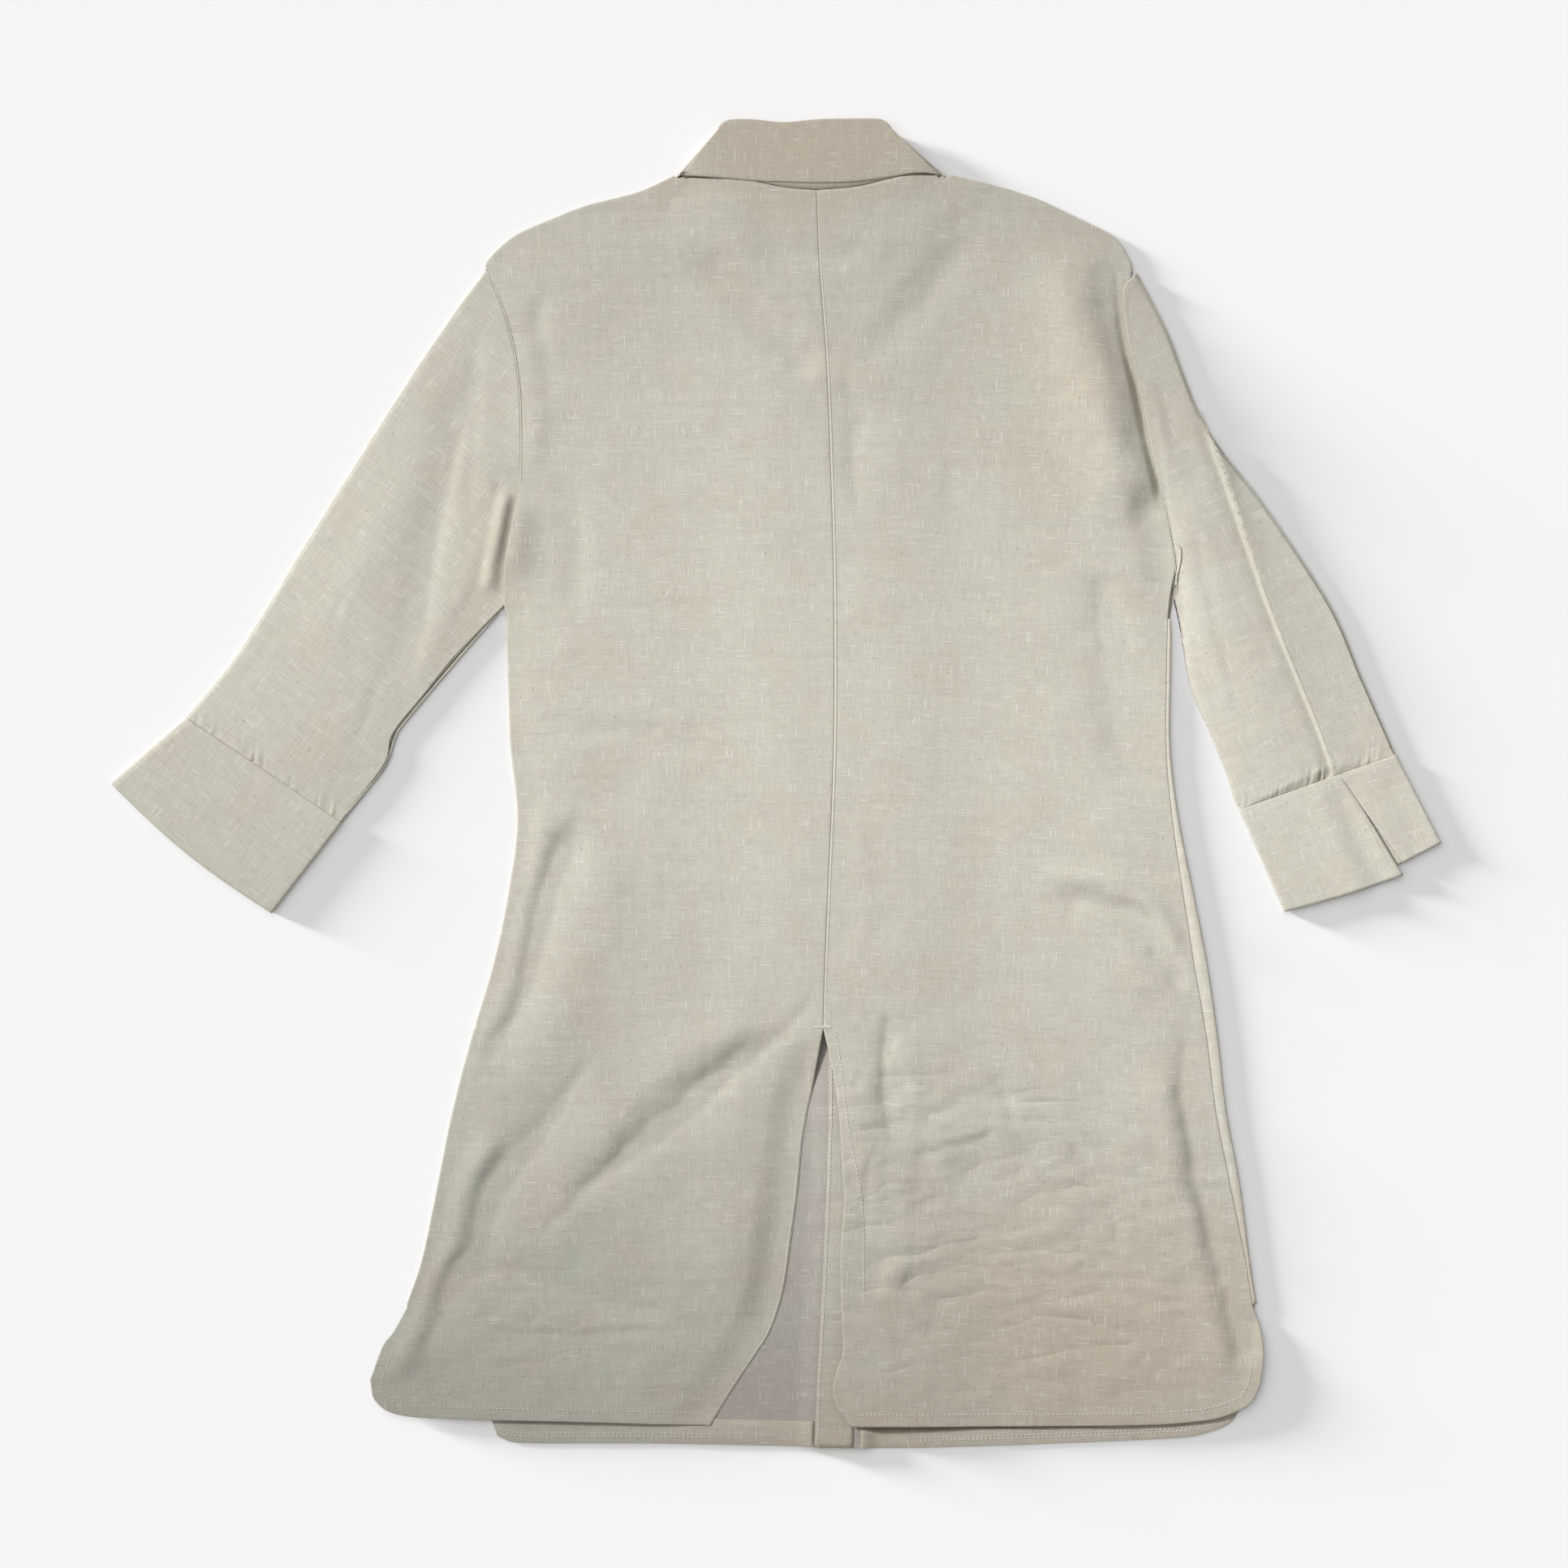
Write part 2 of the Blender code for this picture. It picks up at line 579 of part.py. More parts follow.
def respaced(plan):
    """The same rows with their last columns at set distances from the centre edge."""
    plan = plan.copy()
    first = plan.shape[1] - len(LAP_COLUMNS)
    for row in plan[:-1]:
        length = np.concatenate([[0], np.cumsum(np.linalg.norm(np.diff(row, axis=0), axis=1))])
        start = length[-1] - LAP_COLUMNS[0]
        at = np.concatenate([length[:first] * start / length[first], length[-1] - np.array(LAP_COLUMNS)])
        row[:] = np.column_stack([np.interp(at, length, column) for column in row.T])
    return plan


def front_plan(side):
    """Plan grid of one front."""
    if side == "left":
        seam = side_seam(side, GAP)
        corner, armhole = LEFT_FRONT_CORNER, LEFT_ARMHOLE_FRONT
        neck, hem = LEFT_FRONT_NECK, LEFT_FRONT_HEM
        shoulder, lap, inward = LEFT_SHOULDER, LAP, 1
    else:
        line, outward = body_side(side)
        seam = line - outward * FOLD_REACH
        corner, armhole = RIGHT_FRONT_CORNER, RIGHT_ARMHOLE_FRONT
        neck, hem = RIGHT_FRONT_NECK, RIGHT_FRONT_HEM
        shoulder, lap, inward = RIGHT_SHOULDER, -LAP, -1
    shoulder_line = along(shoulder, SHOULDER_SHARES)
    shoulder_line += outward_of(shoulder_line, inward) * (SHOULDER_WRAP + GAP)
    shoulder_line[0], shoulder_line[-1] = armhole[-1], neck[0]
    arm = np.vstack([seam[-1:], evenly(armhole, FRONT_ARM_STEPS)])
    edge = rows_of(corner, seam, arm)
    top = joined(shoulder_line, along(neck, FRONT_NECK_SHARES))
    centre = along([(x + lap, y) for x, y in CENTRE_FRONT], shares_of(edge))
    centre[-1] = top[-1]
    hem_line = along(hem, shares_of(top))
    hem_line[0], hem_line[-1] = edge[0], centre[0]
    return respaced(patch(edge, centre, hem_line, top))


def make_front_left(material):
    plan = front_plan("left")
    cloth("front_left", lifted(plan, front_height(plan, "left")), material, up=False)


def make_front_right(material):
    """The right front wraps round the side of the body to its seam with the back."""
    plan = front_plan("right")
    grid = lifted(plan, front_height(plan, "right"))
    edge = grid[:, 0].copy()
    outward = outward_of(edge, 1)
    rows = slice(CORNER_STEPS, CORNER_STEPS + SIDE_STEPS + 1)
    outward[rows] = body_side("right")[1]
    nose, over = edge.copy(), edge.copy()
    nose[:, :2] += outward * FOLD_REACH
    nose[:, 2] = FOLD / 2
    over[:, 2] = FOLD
    seam = over.copy()
    seam[:, :2] -= outward * (section_values("right_wrap", edge[:, 1]) - FOLD_REACH)
    grid = np.concatenate([np.stack([seam, over, nose], axis=1), grid], axis=1)
    cells = np.ones((len(plan) - 1, plan.shape[1] - 1), bool)
    cloth("front_right", grid, material, cells=np.hstack([side_cells(len(grid)), cells]), up=False)


# ---------------------------------------------------------------- sleeves


def pulled_in(grid, distance):
    """A grid whose first and last columns are moved in along its rows."""
    grid = grid.copy()
    for edge, beside in ((0, 1), (-1, -2)):
        inward = grid[:, beside] - grid[:, edge]
        grid[:, edge] += inward / np.linalg.norm(inward, axis=1)[:, None] * distance
    return grid


def sleeve_grid(side, stations, mouth_back, mouth_front):
    """A flattened sleeve's fold lines, its two layers in plan and the upper one's height."""
    outer = along([station.outer for station in stations], SLEEVE_SHARES)
    inner = along([station.inner for station in stations], SLEEVE_SHARES)
    top_mouth, under_mouth = mouth_back[::-1].copy(), mouth_front[::-1].copy()
    for mouth in (top_mouth, under_mouth):
        mouth[0], mouth[-1] = outer[0], inner[0]

    def layer(mouth):
        shares = shares_of(mouth)
        end = outer[-1] + (inner[-1] - outer[-1]) * shares[:, None]
        across = shares[None, :, None]
        down = np.array(SLEEVE_SHARES)[:, None, None]
        rows = (1 - across) * outer[:, None] + across * inner[:, None]
        columns = (1 - down) * mouth[None] + down * end[None]
        ends = (1 - across) * outer[0] + across * inner[0]
        tips = (1 - across) * outer[-1] + across * inner[-1]
        return rows + columns - ((1 - down) * ends + down * tips), shares

    top, shares = layer(top_mouth)
    under, _ = layer(under_mouth)
    place = shares_of(np.array([station.outer for station in stations], float))
    height = np.interp(SLEEVE_SHARES, place, [station.height for station in stations])
    crown = np.abs(np.sin(np.pi * shares)) ** SLEEVE_CROWN
    rise = FOLD + crown * (height[:, None] - FOLD + fold_rise(top, SLEEVE_FOLDS[side]))
    top, under = pulled_in(top, NOSE_WIDTH), pulled_in(under, NOSE_WIDTH)
    return outer, inner, top, under, np.maximum(rise, FOLD)


def ring(outer, inner, top, under, rise):
    """Closed rings: outer fold, upper layer, inner fold, under layer."""
    nose_out = lifted(outer[:, None], FOLD / 2)
    nose_in = lifted(inner[:, None], FOLD / 2)
    return np.concatenate([nose_out, lifted(top, rise), nose_in, lifted(under[:, ::-1], 0.0)], axis=1)


def make_sleeve_left(material):
    mouth_back = back_plan("left")[CORNER_STEPS + SIDE_STEPS :, 0]
    mouth_back = mouth_back + outward_of(mouth_back, -1) * GAP
    hidden = evenly([LEFT_SLEEVE[0].inner, *LEFT_HIDDEN_MOUTH, tuple(mouth_back[6])], 6)
    mouth_back[:7] = hidden
    mouth_front = evenly(LEFT_ARMHOLE_FRONT, FRONT_ARM_STEPS)
    mouth_front = mouth_front + outward_of(mouth_front, -1) * GAP
    outer, inner, top, under, rise = sleeve_grid("left", LEFT_SLEEVE, mouth_back, mouth_front)
    flush = smoothstep((top[..., 1] - HIDDEN_BELOW) / HIDDEN_FADE)
    at_mouth = HIDDEN_HEIGHT + (back_height(top) - HIDDEN_HEIGHT) * flush
    blend = smoothstep(np.array(SLEEVE_SHARES) / MOUTH_FADE)[:, None]
    rise = at_mouth + (rise - at_mouth) * blend
    clear_of_lip = smoothstep((distance_to(top, LIP.path) - LIP.width) / LIP_FADE)
    rise = np.minimum(rise, HIDDEN_HEIGHT + clear_of_lip * rise)
    cloth("sleeve_left", ring(outer, inner, top, under, rise), material, closed=True, probe=(3, 5))


def make_sleeve_right(material):
    """The right sleeve, whose upper edge rolls over the back while the back runs in under it."""
    mouth_back = evenly([RIGHT_SLEEVE[0].inner, *ROLL_PATH[::-1], RIGHT_SLEEVE[0].outer], ARM_STEPS + 2)
    mouth_front = evenly(RIGHT_ARMHOLE_FRONT, FRONT_ARM_STEPS)
    mouth_front = mouth_front + outward_of(mouth_front, 1) * GAP
    outer, inner, top, under, rise = sleeve_grid("right", RIGHT_SLEEVE, mouth_back, mouth_front)
    rolled = np.abs(np.sin(np.pi * shares_of(top[0]))) ** ROLL_CROWN
    crest = FOLD + (ROLL_HEIGHT - FOLD) * rolled
    blend = smoothstep(np.array(SLEEVE_SHARES) / MOUTH_FADE)[:, None]
    rings = ring(outer, inner, top, under, crest + (rise - crest) * blend)
    ahead = rings[1, :, :2] - rings[0, :, :2]
    ahead /= np.linalg.norm(ahead, axis=1)[:, None]
    upper = slice(1, 1 + top.shape[1])
    turned = []
    for number, (move, height) in enumerate(ROLL_TURNS):
        line = rings[0].copy()
        line[:, :2] += ahead * (number * ROLL_STEP)
        line[upper, :2] += ahead[upper] * (move * rolled)[:, None]
        line[upper, 2] = crest + (height - crest) * rolled
        turned.append(line)
    grid = np.concatenate([np.stack(turned), rings[1:]])
    cloth("sleeve_right", grid, material, closed=True, probe=(8, 5))


# ---------------------------------------------------------------- cuffs


def make_cuff(side, material):
    """A flat band round the wrist end, open along its slit."""
    cuff = CUFFS[side]
    seam, hem = np.array(cuff.seam, float), np.array(cuff.hem, float)
    shares = np.array(CUFF_SHARES)[:, None]
    outer = seam[0] + (hem[0] - seam[0]) * shares
    inner = seam[1] + (hem[1] - seam[1]) * shares
    down = (hem - seam).mean(axis=0)
    down /= np.linalg.norm(down)
    half = CUFF_HEIGHT / 2

    def row(across, height):
        place = outer + (inner - outer) * across
        place = place + down * (math.sin(math.pi * across) * cuff.bulge * shares)
        return lifted(place, height)

    width = np.linalg.norm(inner - outer, axis=1).mean()
    nose = CUFF_NOSE / width
    slit, opening = cuff.slit, SLIT_OPENING[side] / width
    lines = []
    if side == "left":
        lines.append(row(0, half + CUFF_EDGE_GAP))
        lines += [row(share, CUFF_HEIGHT) for share in np.linspace(nose, 1 - nose, CUFF_TOP_STEPS)]
    else:
        lines += [row(share, CUFF_HEIGHT) for share in np.linspace(slit, 1 - nose, CUFF_TOP_STEPS)]
        lines[0][:, :2] += (inner - outer) / width * (opening * width / 2 * shares)
    lines.append(row(1, half))
    lines += [row(share, 0.0) for share in np.linspace(1 - nose, nose, CUFF_UNDER_STEPS)]
    if side == "left":
        lines.append(row(0, half - CUFF_EDGE_GAP))
    else:
        lines.append(row(0, half))
        beside_slit = np.linspace(nose, slit - GAP / width, CUFF_EDGE_STEPS)
        lines += [row(share, CUFF_HEIGHT) for share in beside_slit]
        lines[-1][:, :2] -= (inner - outer) / width * (opening * width / 2 * shares)
    cloth(f"cuff_{side}", np.stack(lines, axis=1), material, wall=CUFF_WALL, probe=(1, 3))


# ---------------------------------------------------------------- collar


def wrapped_line(left, back, right, low_left, low_right, high, reach, inset=0.0):
    """One line of the collar: up the left front, round the neck's side, across the back and down again."""
    line = [lifted(left, low_left)]
    sides = ((-1, left[-1], back[0], low_left), (1, right[0], back[-1], low_right))
    for sign, wing, edge, low in sides:
        low = np.broadcast_to(low, len(left) if sign < 0 else len(right))[-1 if sign < 0 else 0]
        middle = (wing + edge) / 2 - [sign * inset, -0.7 * inset]
        turns = np.radians(NOSE_ANGLES if sign > 0 else NOSE_ANGLES[::-1])
        x = middle[0] + sign * reach * np.cos(turns)
        z = (high + low) / 2 + (high - low) / 2 * np.sin(turns)
        line.append(np.column_stack([x, np.full(len(turns), middle[1]), z]))
        line.append(lifted(back, high) if sign < 0 else lifted(right, low_right))
    return np.vstack(line)


def roll_parts(distance):
    """The collar's top fold in plan, moved out from the collar: left wing, back and right wing."""
    left = evenly(FALL_WING_ROLL["left"], WING_STEPS)
    back = evenly(FALL_BACK_ROLL, BACK_STEPS)
    right = evenly(FALL_WING_ROLL["right"][::-1], WING_STEPS)
    return [line + outward_of(line, sign) * distance for line, sign in ((left, 1), (back, -1), (right, 1))]


def make_collar_fall(material):
    """The part of the collar that folds down over the stand and ends in two points at the front."""
    roll = roll_parts(0.0)
    edge = [
        evenly(FALL_WING_EDGE["left"], WING_STEPS),
        evenly(FALL_BACK_EDGE, BACK_STEPS),
        evenly(FALL_WING_EDGE["right"][::-1], WING_STEPS),
    ]
    high = STAND_TOP + FALL_OVER_STAND
    lines = []
    for share in FALL_SHARES:
        parts = [low + (top - low) * share for low, top in zip(edge, roll)]
        lines.append(wrapped_line(*parts, 0.0, 0.0, high, COLLAR_NOSE_REACH))
    turned = roll_parts(ROLL_LIP)
    lines.append(wrapped_line(*turned, ROLL_TURN, ROLL_TURN, high - ROLL_TURN, COLLAR_NOSE_REACH))
    cloth("collar_fall", np.stack(lines), material, probe=(1, WING_STEPS + 4 + BACK_STEPS // 2))


def make_collar_stand(material):
    """The band that stands up from the neckline, inside the fall."""
    back = joined(along(LEFT_BACK_NECK, BACK_NECK_SHARES), along(RIGHT_BACK_NECK, BACK_NECK_SHARES)[::-1])
    back = back[1:-1] + [0, GAP + 0.2]
    left = along(LEFT_FRONT_NECK, FRONT_NECK_SHARES)[::-1] + [0.3, GAP + 0.2]
    right = along(RIGHT_FRONT_NECK, FRONT_NECK_SHARES) + [-0.3, GAP + 0.2]
    low_left = np.maximum(front_height(left, "left"), WING_LIFT)
    low_right = np.maximum(front_height(right, "right"), WING_LIFT)
    left_roll, back_roll, right_roll = roll_parts(0.0)
    left_roll = along([(CENTRE_FRONT[-1][0] + LAP, left_roll[0, 1] - 1), *left_roll], shares_of(left))
    right_roll = along([*right_roll, (CENTRE_FRONT[-1][0] - LAP, right_roll[-1, 1] - 1)], shares_of(right))
    back_roll = along(back_roll, shares_of(back))
    lines = []
    for share in STAND_SHARES:
        ends = zip((left, back, right), (left_roll, back_roll, right_roll))
        parts = [low + (top - low) * share for low, top in ends]
        shape = (low_left, low_right, STAND_TOP, STAND_NOSE_REACH, STAND_INSET)
        lines.append(wrapped_line(*parts, *shape))
    cloth("collar_stand", np.stack(lines), material, probe=(1, len(left) + 8))


# ---------------------------------------------------------------- buttons


def make_button(name, x, y, material):
    """A turned disc with a raised rim on its face, which lies on the table."""
    shape = bmesh.new()
    profile = [
        (0.0, BUTTON_THICK),
        (BUTTON_RADIUS - BUTTON_CHAMFER, BUTTON_THICK),
        (BUTTON_RADIUS, BUTTON_THICK - BUTTON_CHAMFER),
        (BUTTON_RADIUS, BUTTON_DISH),
        (BUTTON_RADIUS - BUTTON_DISH, 0.0),
        (BUTTON_RADIUS - BUTTON_RIM, 0.0),
        (BUTTON_RADIUS - BUTTON_RIM - BUTTON_CHAMFER, BUTTON_DISH),
        (0.0, BUTTON_DISH),
    ]
    verts = [shape.verts.new((r * MM, 0, z * MM)) for r, z in profile]
    edges = [shape.edges.new(pair) for pair in zip(verts, verts[1:])]
    turn = {"cent": (0, 0, 0), "axis": (0, 0, 1), "angle": math.tau, "steps": BUTTON_SEGMENTS}
    bmesh.ops.spin(shape, geom=verts + edges, **turn)
    bmesh.ops.remove_doubles(shape, verts=shape.verts, dist=1e-6)
    bmesh.ops.recalc_face_normals(shape, faces=shape.faces)
    mesh = bpy.data.meshes.new(name)
    shape.to_mesh(mesh)
    shape.free()
    button = add_object(name, mesh, material)
    button.location = (x * MM, y * MM, 0)
    button.data.shade_smooth()
    return button


def main():
    clear_scene()
    linen, shell = make_material("linen"), make_material("button")
    make_back_left(linen)
    make_back_right(linen)
    make_front_left(linen)
    make_front_right(linen)
    make_sleeve_left(linen)
    make_sleeve_right(linen)
    make_cuff("left", linen)
    make_cuff("right", linen)
    make_collar_stand(linen)
    make_collar_fall(linen)
    make_button("button_1", *COLLAR_BUTTON, shell)
    for number in range(BUTTONS_ON_FRONT):
        y = TOP_BUTTON_Y - number * BUTTON_SPACING
        make_button(f"button_{number + 2}", float(centre_front_x(y)), y, shell)


main()
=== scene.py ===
"""Button-up linen shirt, laid face down: its cloth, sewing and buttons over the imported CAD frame.

Tables are in millimetres, as in the part: +X is the wearer's right, +Y runs from hem to collar and +Z is
up from the table. Each piece of cloth is a fine grid over the outer face of its solid, with the creases,
turned edges and puckers that the solid leaves out, and gets its thickness from Solidify.
"""

import functools
import math
from collections import namedtuple

import bmesh
import bpy
import numpy as np
from mathutils import Matrix, Vector, noise
from mathutils.bvhtree import BVHTree


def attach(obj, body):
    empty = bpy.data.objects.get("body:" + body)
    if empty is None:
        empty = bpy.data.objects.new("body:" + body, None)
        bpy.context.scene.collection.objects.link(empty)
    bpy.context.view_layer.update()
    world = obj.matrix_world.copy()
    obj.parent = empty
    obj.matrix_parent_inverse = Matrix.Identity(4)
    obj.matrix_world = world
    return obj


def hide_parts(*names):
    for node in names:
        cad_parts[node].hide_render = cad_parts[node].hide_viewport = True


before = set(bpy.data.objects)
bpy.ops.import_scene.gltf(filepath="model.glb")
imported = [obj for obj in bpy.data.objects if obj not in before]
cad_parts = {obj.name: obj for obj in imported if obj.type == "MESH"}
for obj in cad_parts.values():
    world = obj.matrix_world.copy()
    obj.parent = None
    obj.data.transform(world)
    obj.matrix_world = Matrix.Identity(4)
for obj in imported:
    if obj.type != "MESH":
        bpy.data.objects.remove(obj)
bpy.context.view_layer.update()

bl_info = {
    "name": "Laid linen shirt",
    "version": (1, 0, 0),
    "blender": (4, 5, 0),
    "location": "3D View > Sidebar > Shirt",
    "description": "Builds a laid linen shirt, its sewing and its buttons over the packed frame",
    "category": "Object",
}

MM = 0.001

# Cloth and seams
WALL = 1.0  # one layer of linen, drawn a little thicker than it is
CUFF_WALL = 1.6  # two layers and their interlining
GAP = 0.3  # between pieces at a seam
FOLD = 2.6  # height of two layers where the cloth is folded on itself
FOLD_REACH = 1.3  # how far a fold's nose stands out from the flat cloth beside it

# Fastening
BUTTON_RADIUS = 5.75
BUTTON_THICK = 2.0
BUTTON_RIM = 1.4
BUTTON_BEVEL = 0.45
BUTTON_SPACING = 88.0
TOP_BUTTON_Y = 345.0
COLLAR_BUTTON = (27.3, 388.0)
BUTTONS_ON_FRONT = 6
LAP = 15.0  # each front runs this far past the centre front
UNDER_LAP = BUTTON_THICK + GAP  # height of the left front over its buttons
OVER_LAP = UNDER_LAP + WALL + GAP  # height of the right front over the left one
LAP_RAMP = 14.0
LAP_REACH = 30.0  # how far from the centre front the laps' heights are looked for

# Loft of the back over what lies under it
LOFT = 1.0
LAP_RISE = 3.5
LAP_HALF_WIDTH = 30.0
LAP_FADE = 80.0
NECK_HALF_WIDTH = 88.0
NECK_FADE = 30.0
NECK_BELOW = 372.0
NECK_RISE = 45.0  # length over which the loft widens towards the neck
EDGE_FADE = 16.0
LOFT_FADE = 46.0
CLEARANCE = 0.45
LOFT_POWER = 0.7

# What tells one piece's random waves from another's
SEEDS = {
    "back": 3.0, "front_left": 11.0, "front_right": 17.0, "sleeve": 23.0, "puckers": 31.0, "cuff": 41.0,
    "collar": 47.0, "crumple": 61.0, "wander": 90.0,
}

# Collar
WING_LIFT = WALL + GAP  # height of the fronts over the collar points
WING_MARGIN = 24.0
WING_RAMP = 16.0
STAND_TOP = 6.9
STAND_INSET = 2.8
STAND_BACK = GAP + 0.2  # how far the stand stands off the neckline
FALL_OVER_STAND = GAP + WALL
ROLL_LIP = 1.0
ROLL_TURN = 2.2

SHOULDER_WRAP = 1.5  # how far the back runs in under the shoulder fold to its seam

# The body's sections from the slits to the underarm: left and right outline, and how far the cloth
# that wraps round each side runs in to its seam.
Section = namedtuple("Section", "y left left_wrap right right_wrap")
BODY = [
    Section(-372, -264, 6, 344, 3),
    Section(-339, -253, 8, 339, 3),
    Section(-286, -242, 9, 332, 7),
    Section(-234, -231.5, 9, 322.5, 7.5),
    Section(-182, -218, 9, 316.5, 8),
    Section(-130, -202.5, 9, 309, 9.5),
    Section(-78, -191.5, 8, 299, 7.5),
    Section(-25, -185, 7, 288.5, 4.5),
    Section(26, -190, 6, 282.5, 3),
    Section(79, -192, 6, 282.7, 3),
    Section(118, -193.5, 5, 283.4, 3),
]

# Plan points of the edges, from the hem upwards or from the side inwards
LEFT_BACK_CORNER = [(-290, -426), (-281, -402), (-273, -391)]
RIGHT_BACK_CORNER = [(346.5, -428), (348.6, -408), (346.8, -391)]
LEFT_FRONT_CORNER = [(-199.5, -466), (-204, -454), (-212, -438), (-232, -406)]
RIGHT_FRONT_CORNER = [(332, -448), (339, -430), (341, -400)]
LEFT_ARMHOLE_BACK = [
    (-194.5, 130), (-194, 154), (-190, 178), (-183.5, 212), (-182.7, 240), (-184.4, 288),
    (-192, 328), (-206.2, 365.5),
]
LEFT_ARMHOLE_FRONT = [
    (-184, 130), (-181, 147), (-180, 166), (-181, 195), (-183.5, 240), (-187.5, 288), (-195, 330),
    (-204, 361),
]
RIGHT_ARMHOLE_BACK = [
    (281.5, 130), (284, 145), (288, 160), (289.5, 172), (286.5, 192), (277, 235), (272, 262),
    (262, 292), (256, 318), (253, 340), (253.6, 363.5),
]
RIGHT_ARMHOLE_FRONT = [
    (283.8, 130), (283, 148), (276, 182), (264, 228), (256, 285), (253, 330), (253, 361),
]
LEFT_SHOULDER = [
    (-206.5, 367.5), (-205, 374.5), (-186.8, 391), (-160, 403.3), (-134.6, 413), (-98, 422.5),
    (-72.5, 434),
]
RIGHT_SHOULDER = [
    (254, 365.8), (252, 374.5), (240, 391), (205.3, 408.5), (185.6, 418), (158.3, 426.5),
    (123.5, 434.5),
]
LEFT_BACK_NECK = [(-72.5, 434), (-45, 433.4), (-18, 430.8), (5, 426.4), (28.8, 424.2)]
RIGHT_BACK_NECK = [(123.5, 434.5), (100, 436), (78, 431.4), (57, 426.6), (29.1, 424.2)]
LEFT_FRONT_NECK = [(-68, 428.5), (-46, 407), (-18, 385), (12, 374), (42.3, 371.5)]
RIGHT_FRONT_NECK = [(119, 428.5), (99, 407), (72, 385), (42, 374), (12.3, 371.5)]
CENTRE_BACK = [
    (33.8, -175), (34.8, -136), (37.7, -66), (40.6, 3), (41.8, 67), (41.2, 154), (38.9, 235),
    (36, 305), (31.3, 369), (29, 424.2),
]
LEFT_FLAP = [
    (-47, -459), (-30, -432), (-13.9, -408), (-3.5, -391), (5.8, -362), (11, -327), (15.7, -292),
    (19.7, -252), (27.3, -211), (33.8, -175),
]
RIGHT_FLAP = [
    (54.5, -459), (43, -444), (40.6, -432), (43.5, -418), (47.6, -404), (46.4, -367), (46.4, -327),
    (48.7, -298), (47, -269), (44.7, -234), (39.4, -199), (33.8, -175),
]
LEFT_BACK_HEM = [
    (-290, -426), (-286.5, -441), (-270, -451), (-230, -454.2), (-148, -456), (-47, -459),
]
RIGHT_BACK_HEM = [
    (346.5, -428), (339, -443), (321, -452), (300, -456), (257, -458.5), (141, -459.4),
    (54.5, -459),
]
LEFT_FRONT_HEM = [(-199.5, -466), (-183, -471), (-114, -471.3), (-47, -472), (58.5, -474.5)]
RIGHT_FRONT_HEM = [
    (332, -448), (325, -457), (310, -463.5), (286, -467.5), (199, -471.5), (141, -473.5),
    (95, -474.6), (28.5, -474.5),
]
CENTRE_FRONT = [
    (43.5, -474.5), (44.7, -434), (49.9, -333), (53.4, -217), (49.9, -78), (42.9, 96), (34.2, 270),
    (27.3, 371.5),
]

# How the edges are divided: shares of their length
SIDE_STEPS = 24
CORNER_STEPS = 3
VENT_STEPS = 13
ARM_STEPS = 12
FRONT_ARM_STEPS = 6
FRONT_NECK_SHARES = (0, 0.33, 0.66, 0.763, 0.88, 1)
LAP_COLUMNS = (46.0, 32.0, 16.0, 0.0)  # distances of the last columns from a front's centre edge
CURVE_STEPS = 24

# Soft folds in the back: rise above the cloth beside them (negative is a trough), half-width, path
Fold = namedtuple("Fold", "name rise width path")
BACK_FOLDS = [
    Fold("left hip trough", -2.0, 17, [(-146, -5), (-155, -50), (-176, -110), (-202, -175)]),
    Fold("left hip ridge", 1.8, 20, [(-120, -30), (-128, -95), (-150, -160), (-175, -215)]),
    Fold("left skirt trough", -2.4, 16, [(-137, -201), (-178, -262), (-214, -322), (-244, -385)]),
    Fold("left skirt ridge", 2.2, 22, [(-100, -225), (-140, -290), (-180, -360)]),
    Fold("vent trough", -2.6, 17, [(22, -190), (-30, -205), (-88, -250), (-150, -305)]),
    Fold("vent ridge", 2.2, 22, [(5, -160), (-55, -180), (-110, -222)]),
    Fold("left flap lift", 3.4, 44, [(5, -285), (-8, -340), (-40, -390)]),
    Fold("left flap crease", -1.6, 11, [(-240, -342), (-180, -350), (-120, -368), (-75, -379)]),
    Fold("left armhole ridge", 1.6, 11, [(-170, 335), (-171, 280), (-172, 210)]),
    Fold("right valley", -1.2, 10, [(232, 372), (243, 325), (253, 290), (264, 250), (272, 215)]),
    Fold("right shoulder ridge", 3.2, 22, [(208, 345), (222, 290), (238, 225), (250, 170)]),
    Fold("right waist trough", -2.2, 20, [(226, 155), (240, 96), (252, 38), (258, -20)]),
    Fold("right hip crease", -2.0, 11, [(236, -74), (262, -100), (290, -131)]),
    Fold("right hip ridge", 0.8, 14, [(240, -110), (262, -128), (285, -155)]),
    Fold("right skirt trough", -2.4, 14, [(287, -176), (298, -252), (315, -310), (331, -390)]),
    Fold("right skirt ridge", 2.0, 22, [(262, -200), (270, -280), (285, -360)]),
    Fold("right flap crease", -2.0, 9, [(84, -162), (79, -194), (87, -240), (90, -262)]),
    Fold("right flap ridge", 2.0, 14, [(62, -185), (60, -235), (66, -300)]),
    Fold("right seat wrinkle", 1.8, 14, [(101, -252), (150, -240), (200, -250), (228, -275)]),
    Fold("right seat trough", -1.8, 13, [(78, -292), (118, -275), (160, -268)]),
    Fold("right flap bump", 2.2, 16, [(72, -350), (95, -356)]),
    Fold("centre trough", -1.2, 14, [(52, 298), (57, 258), (56, 190)]),
]
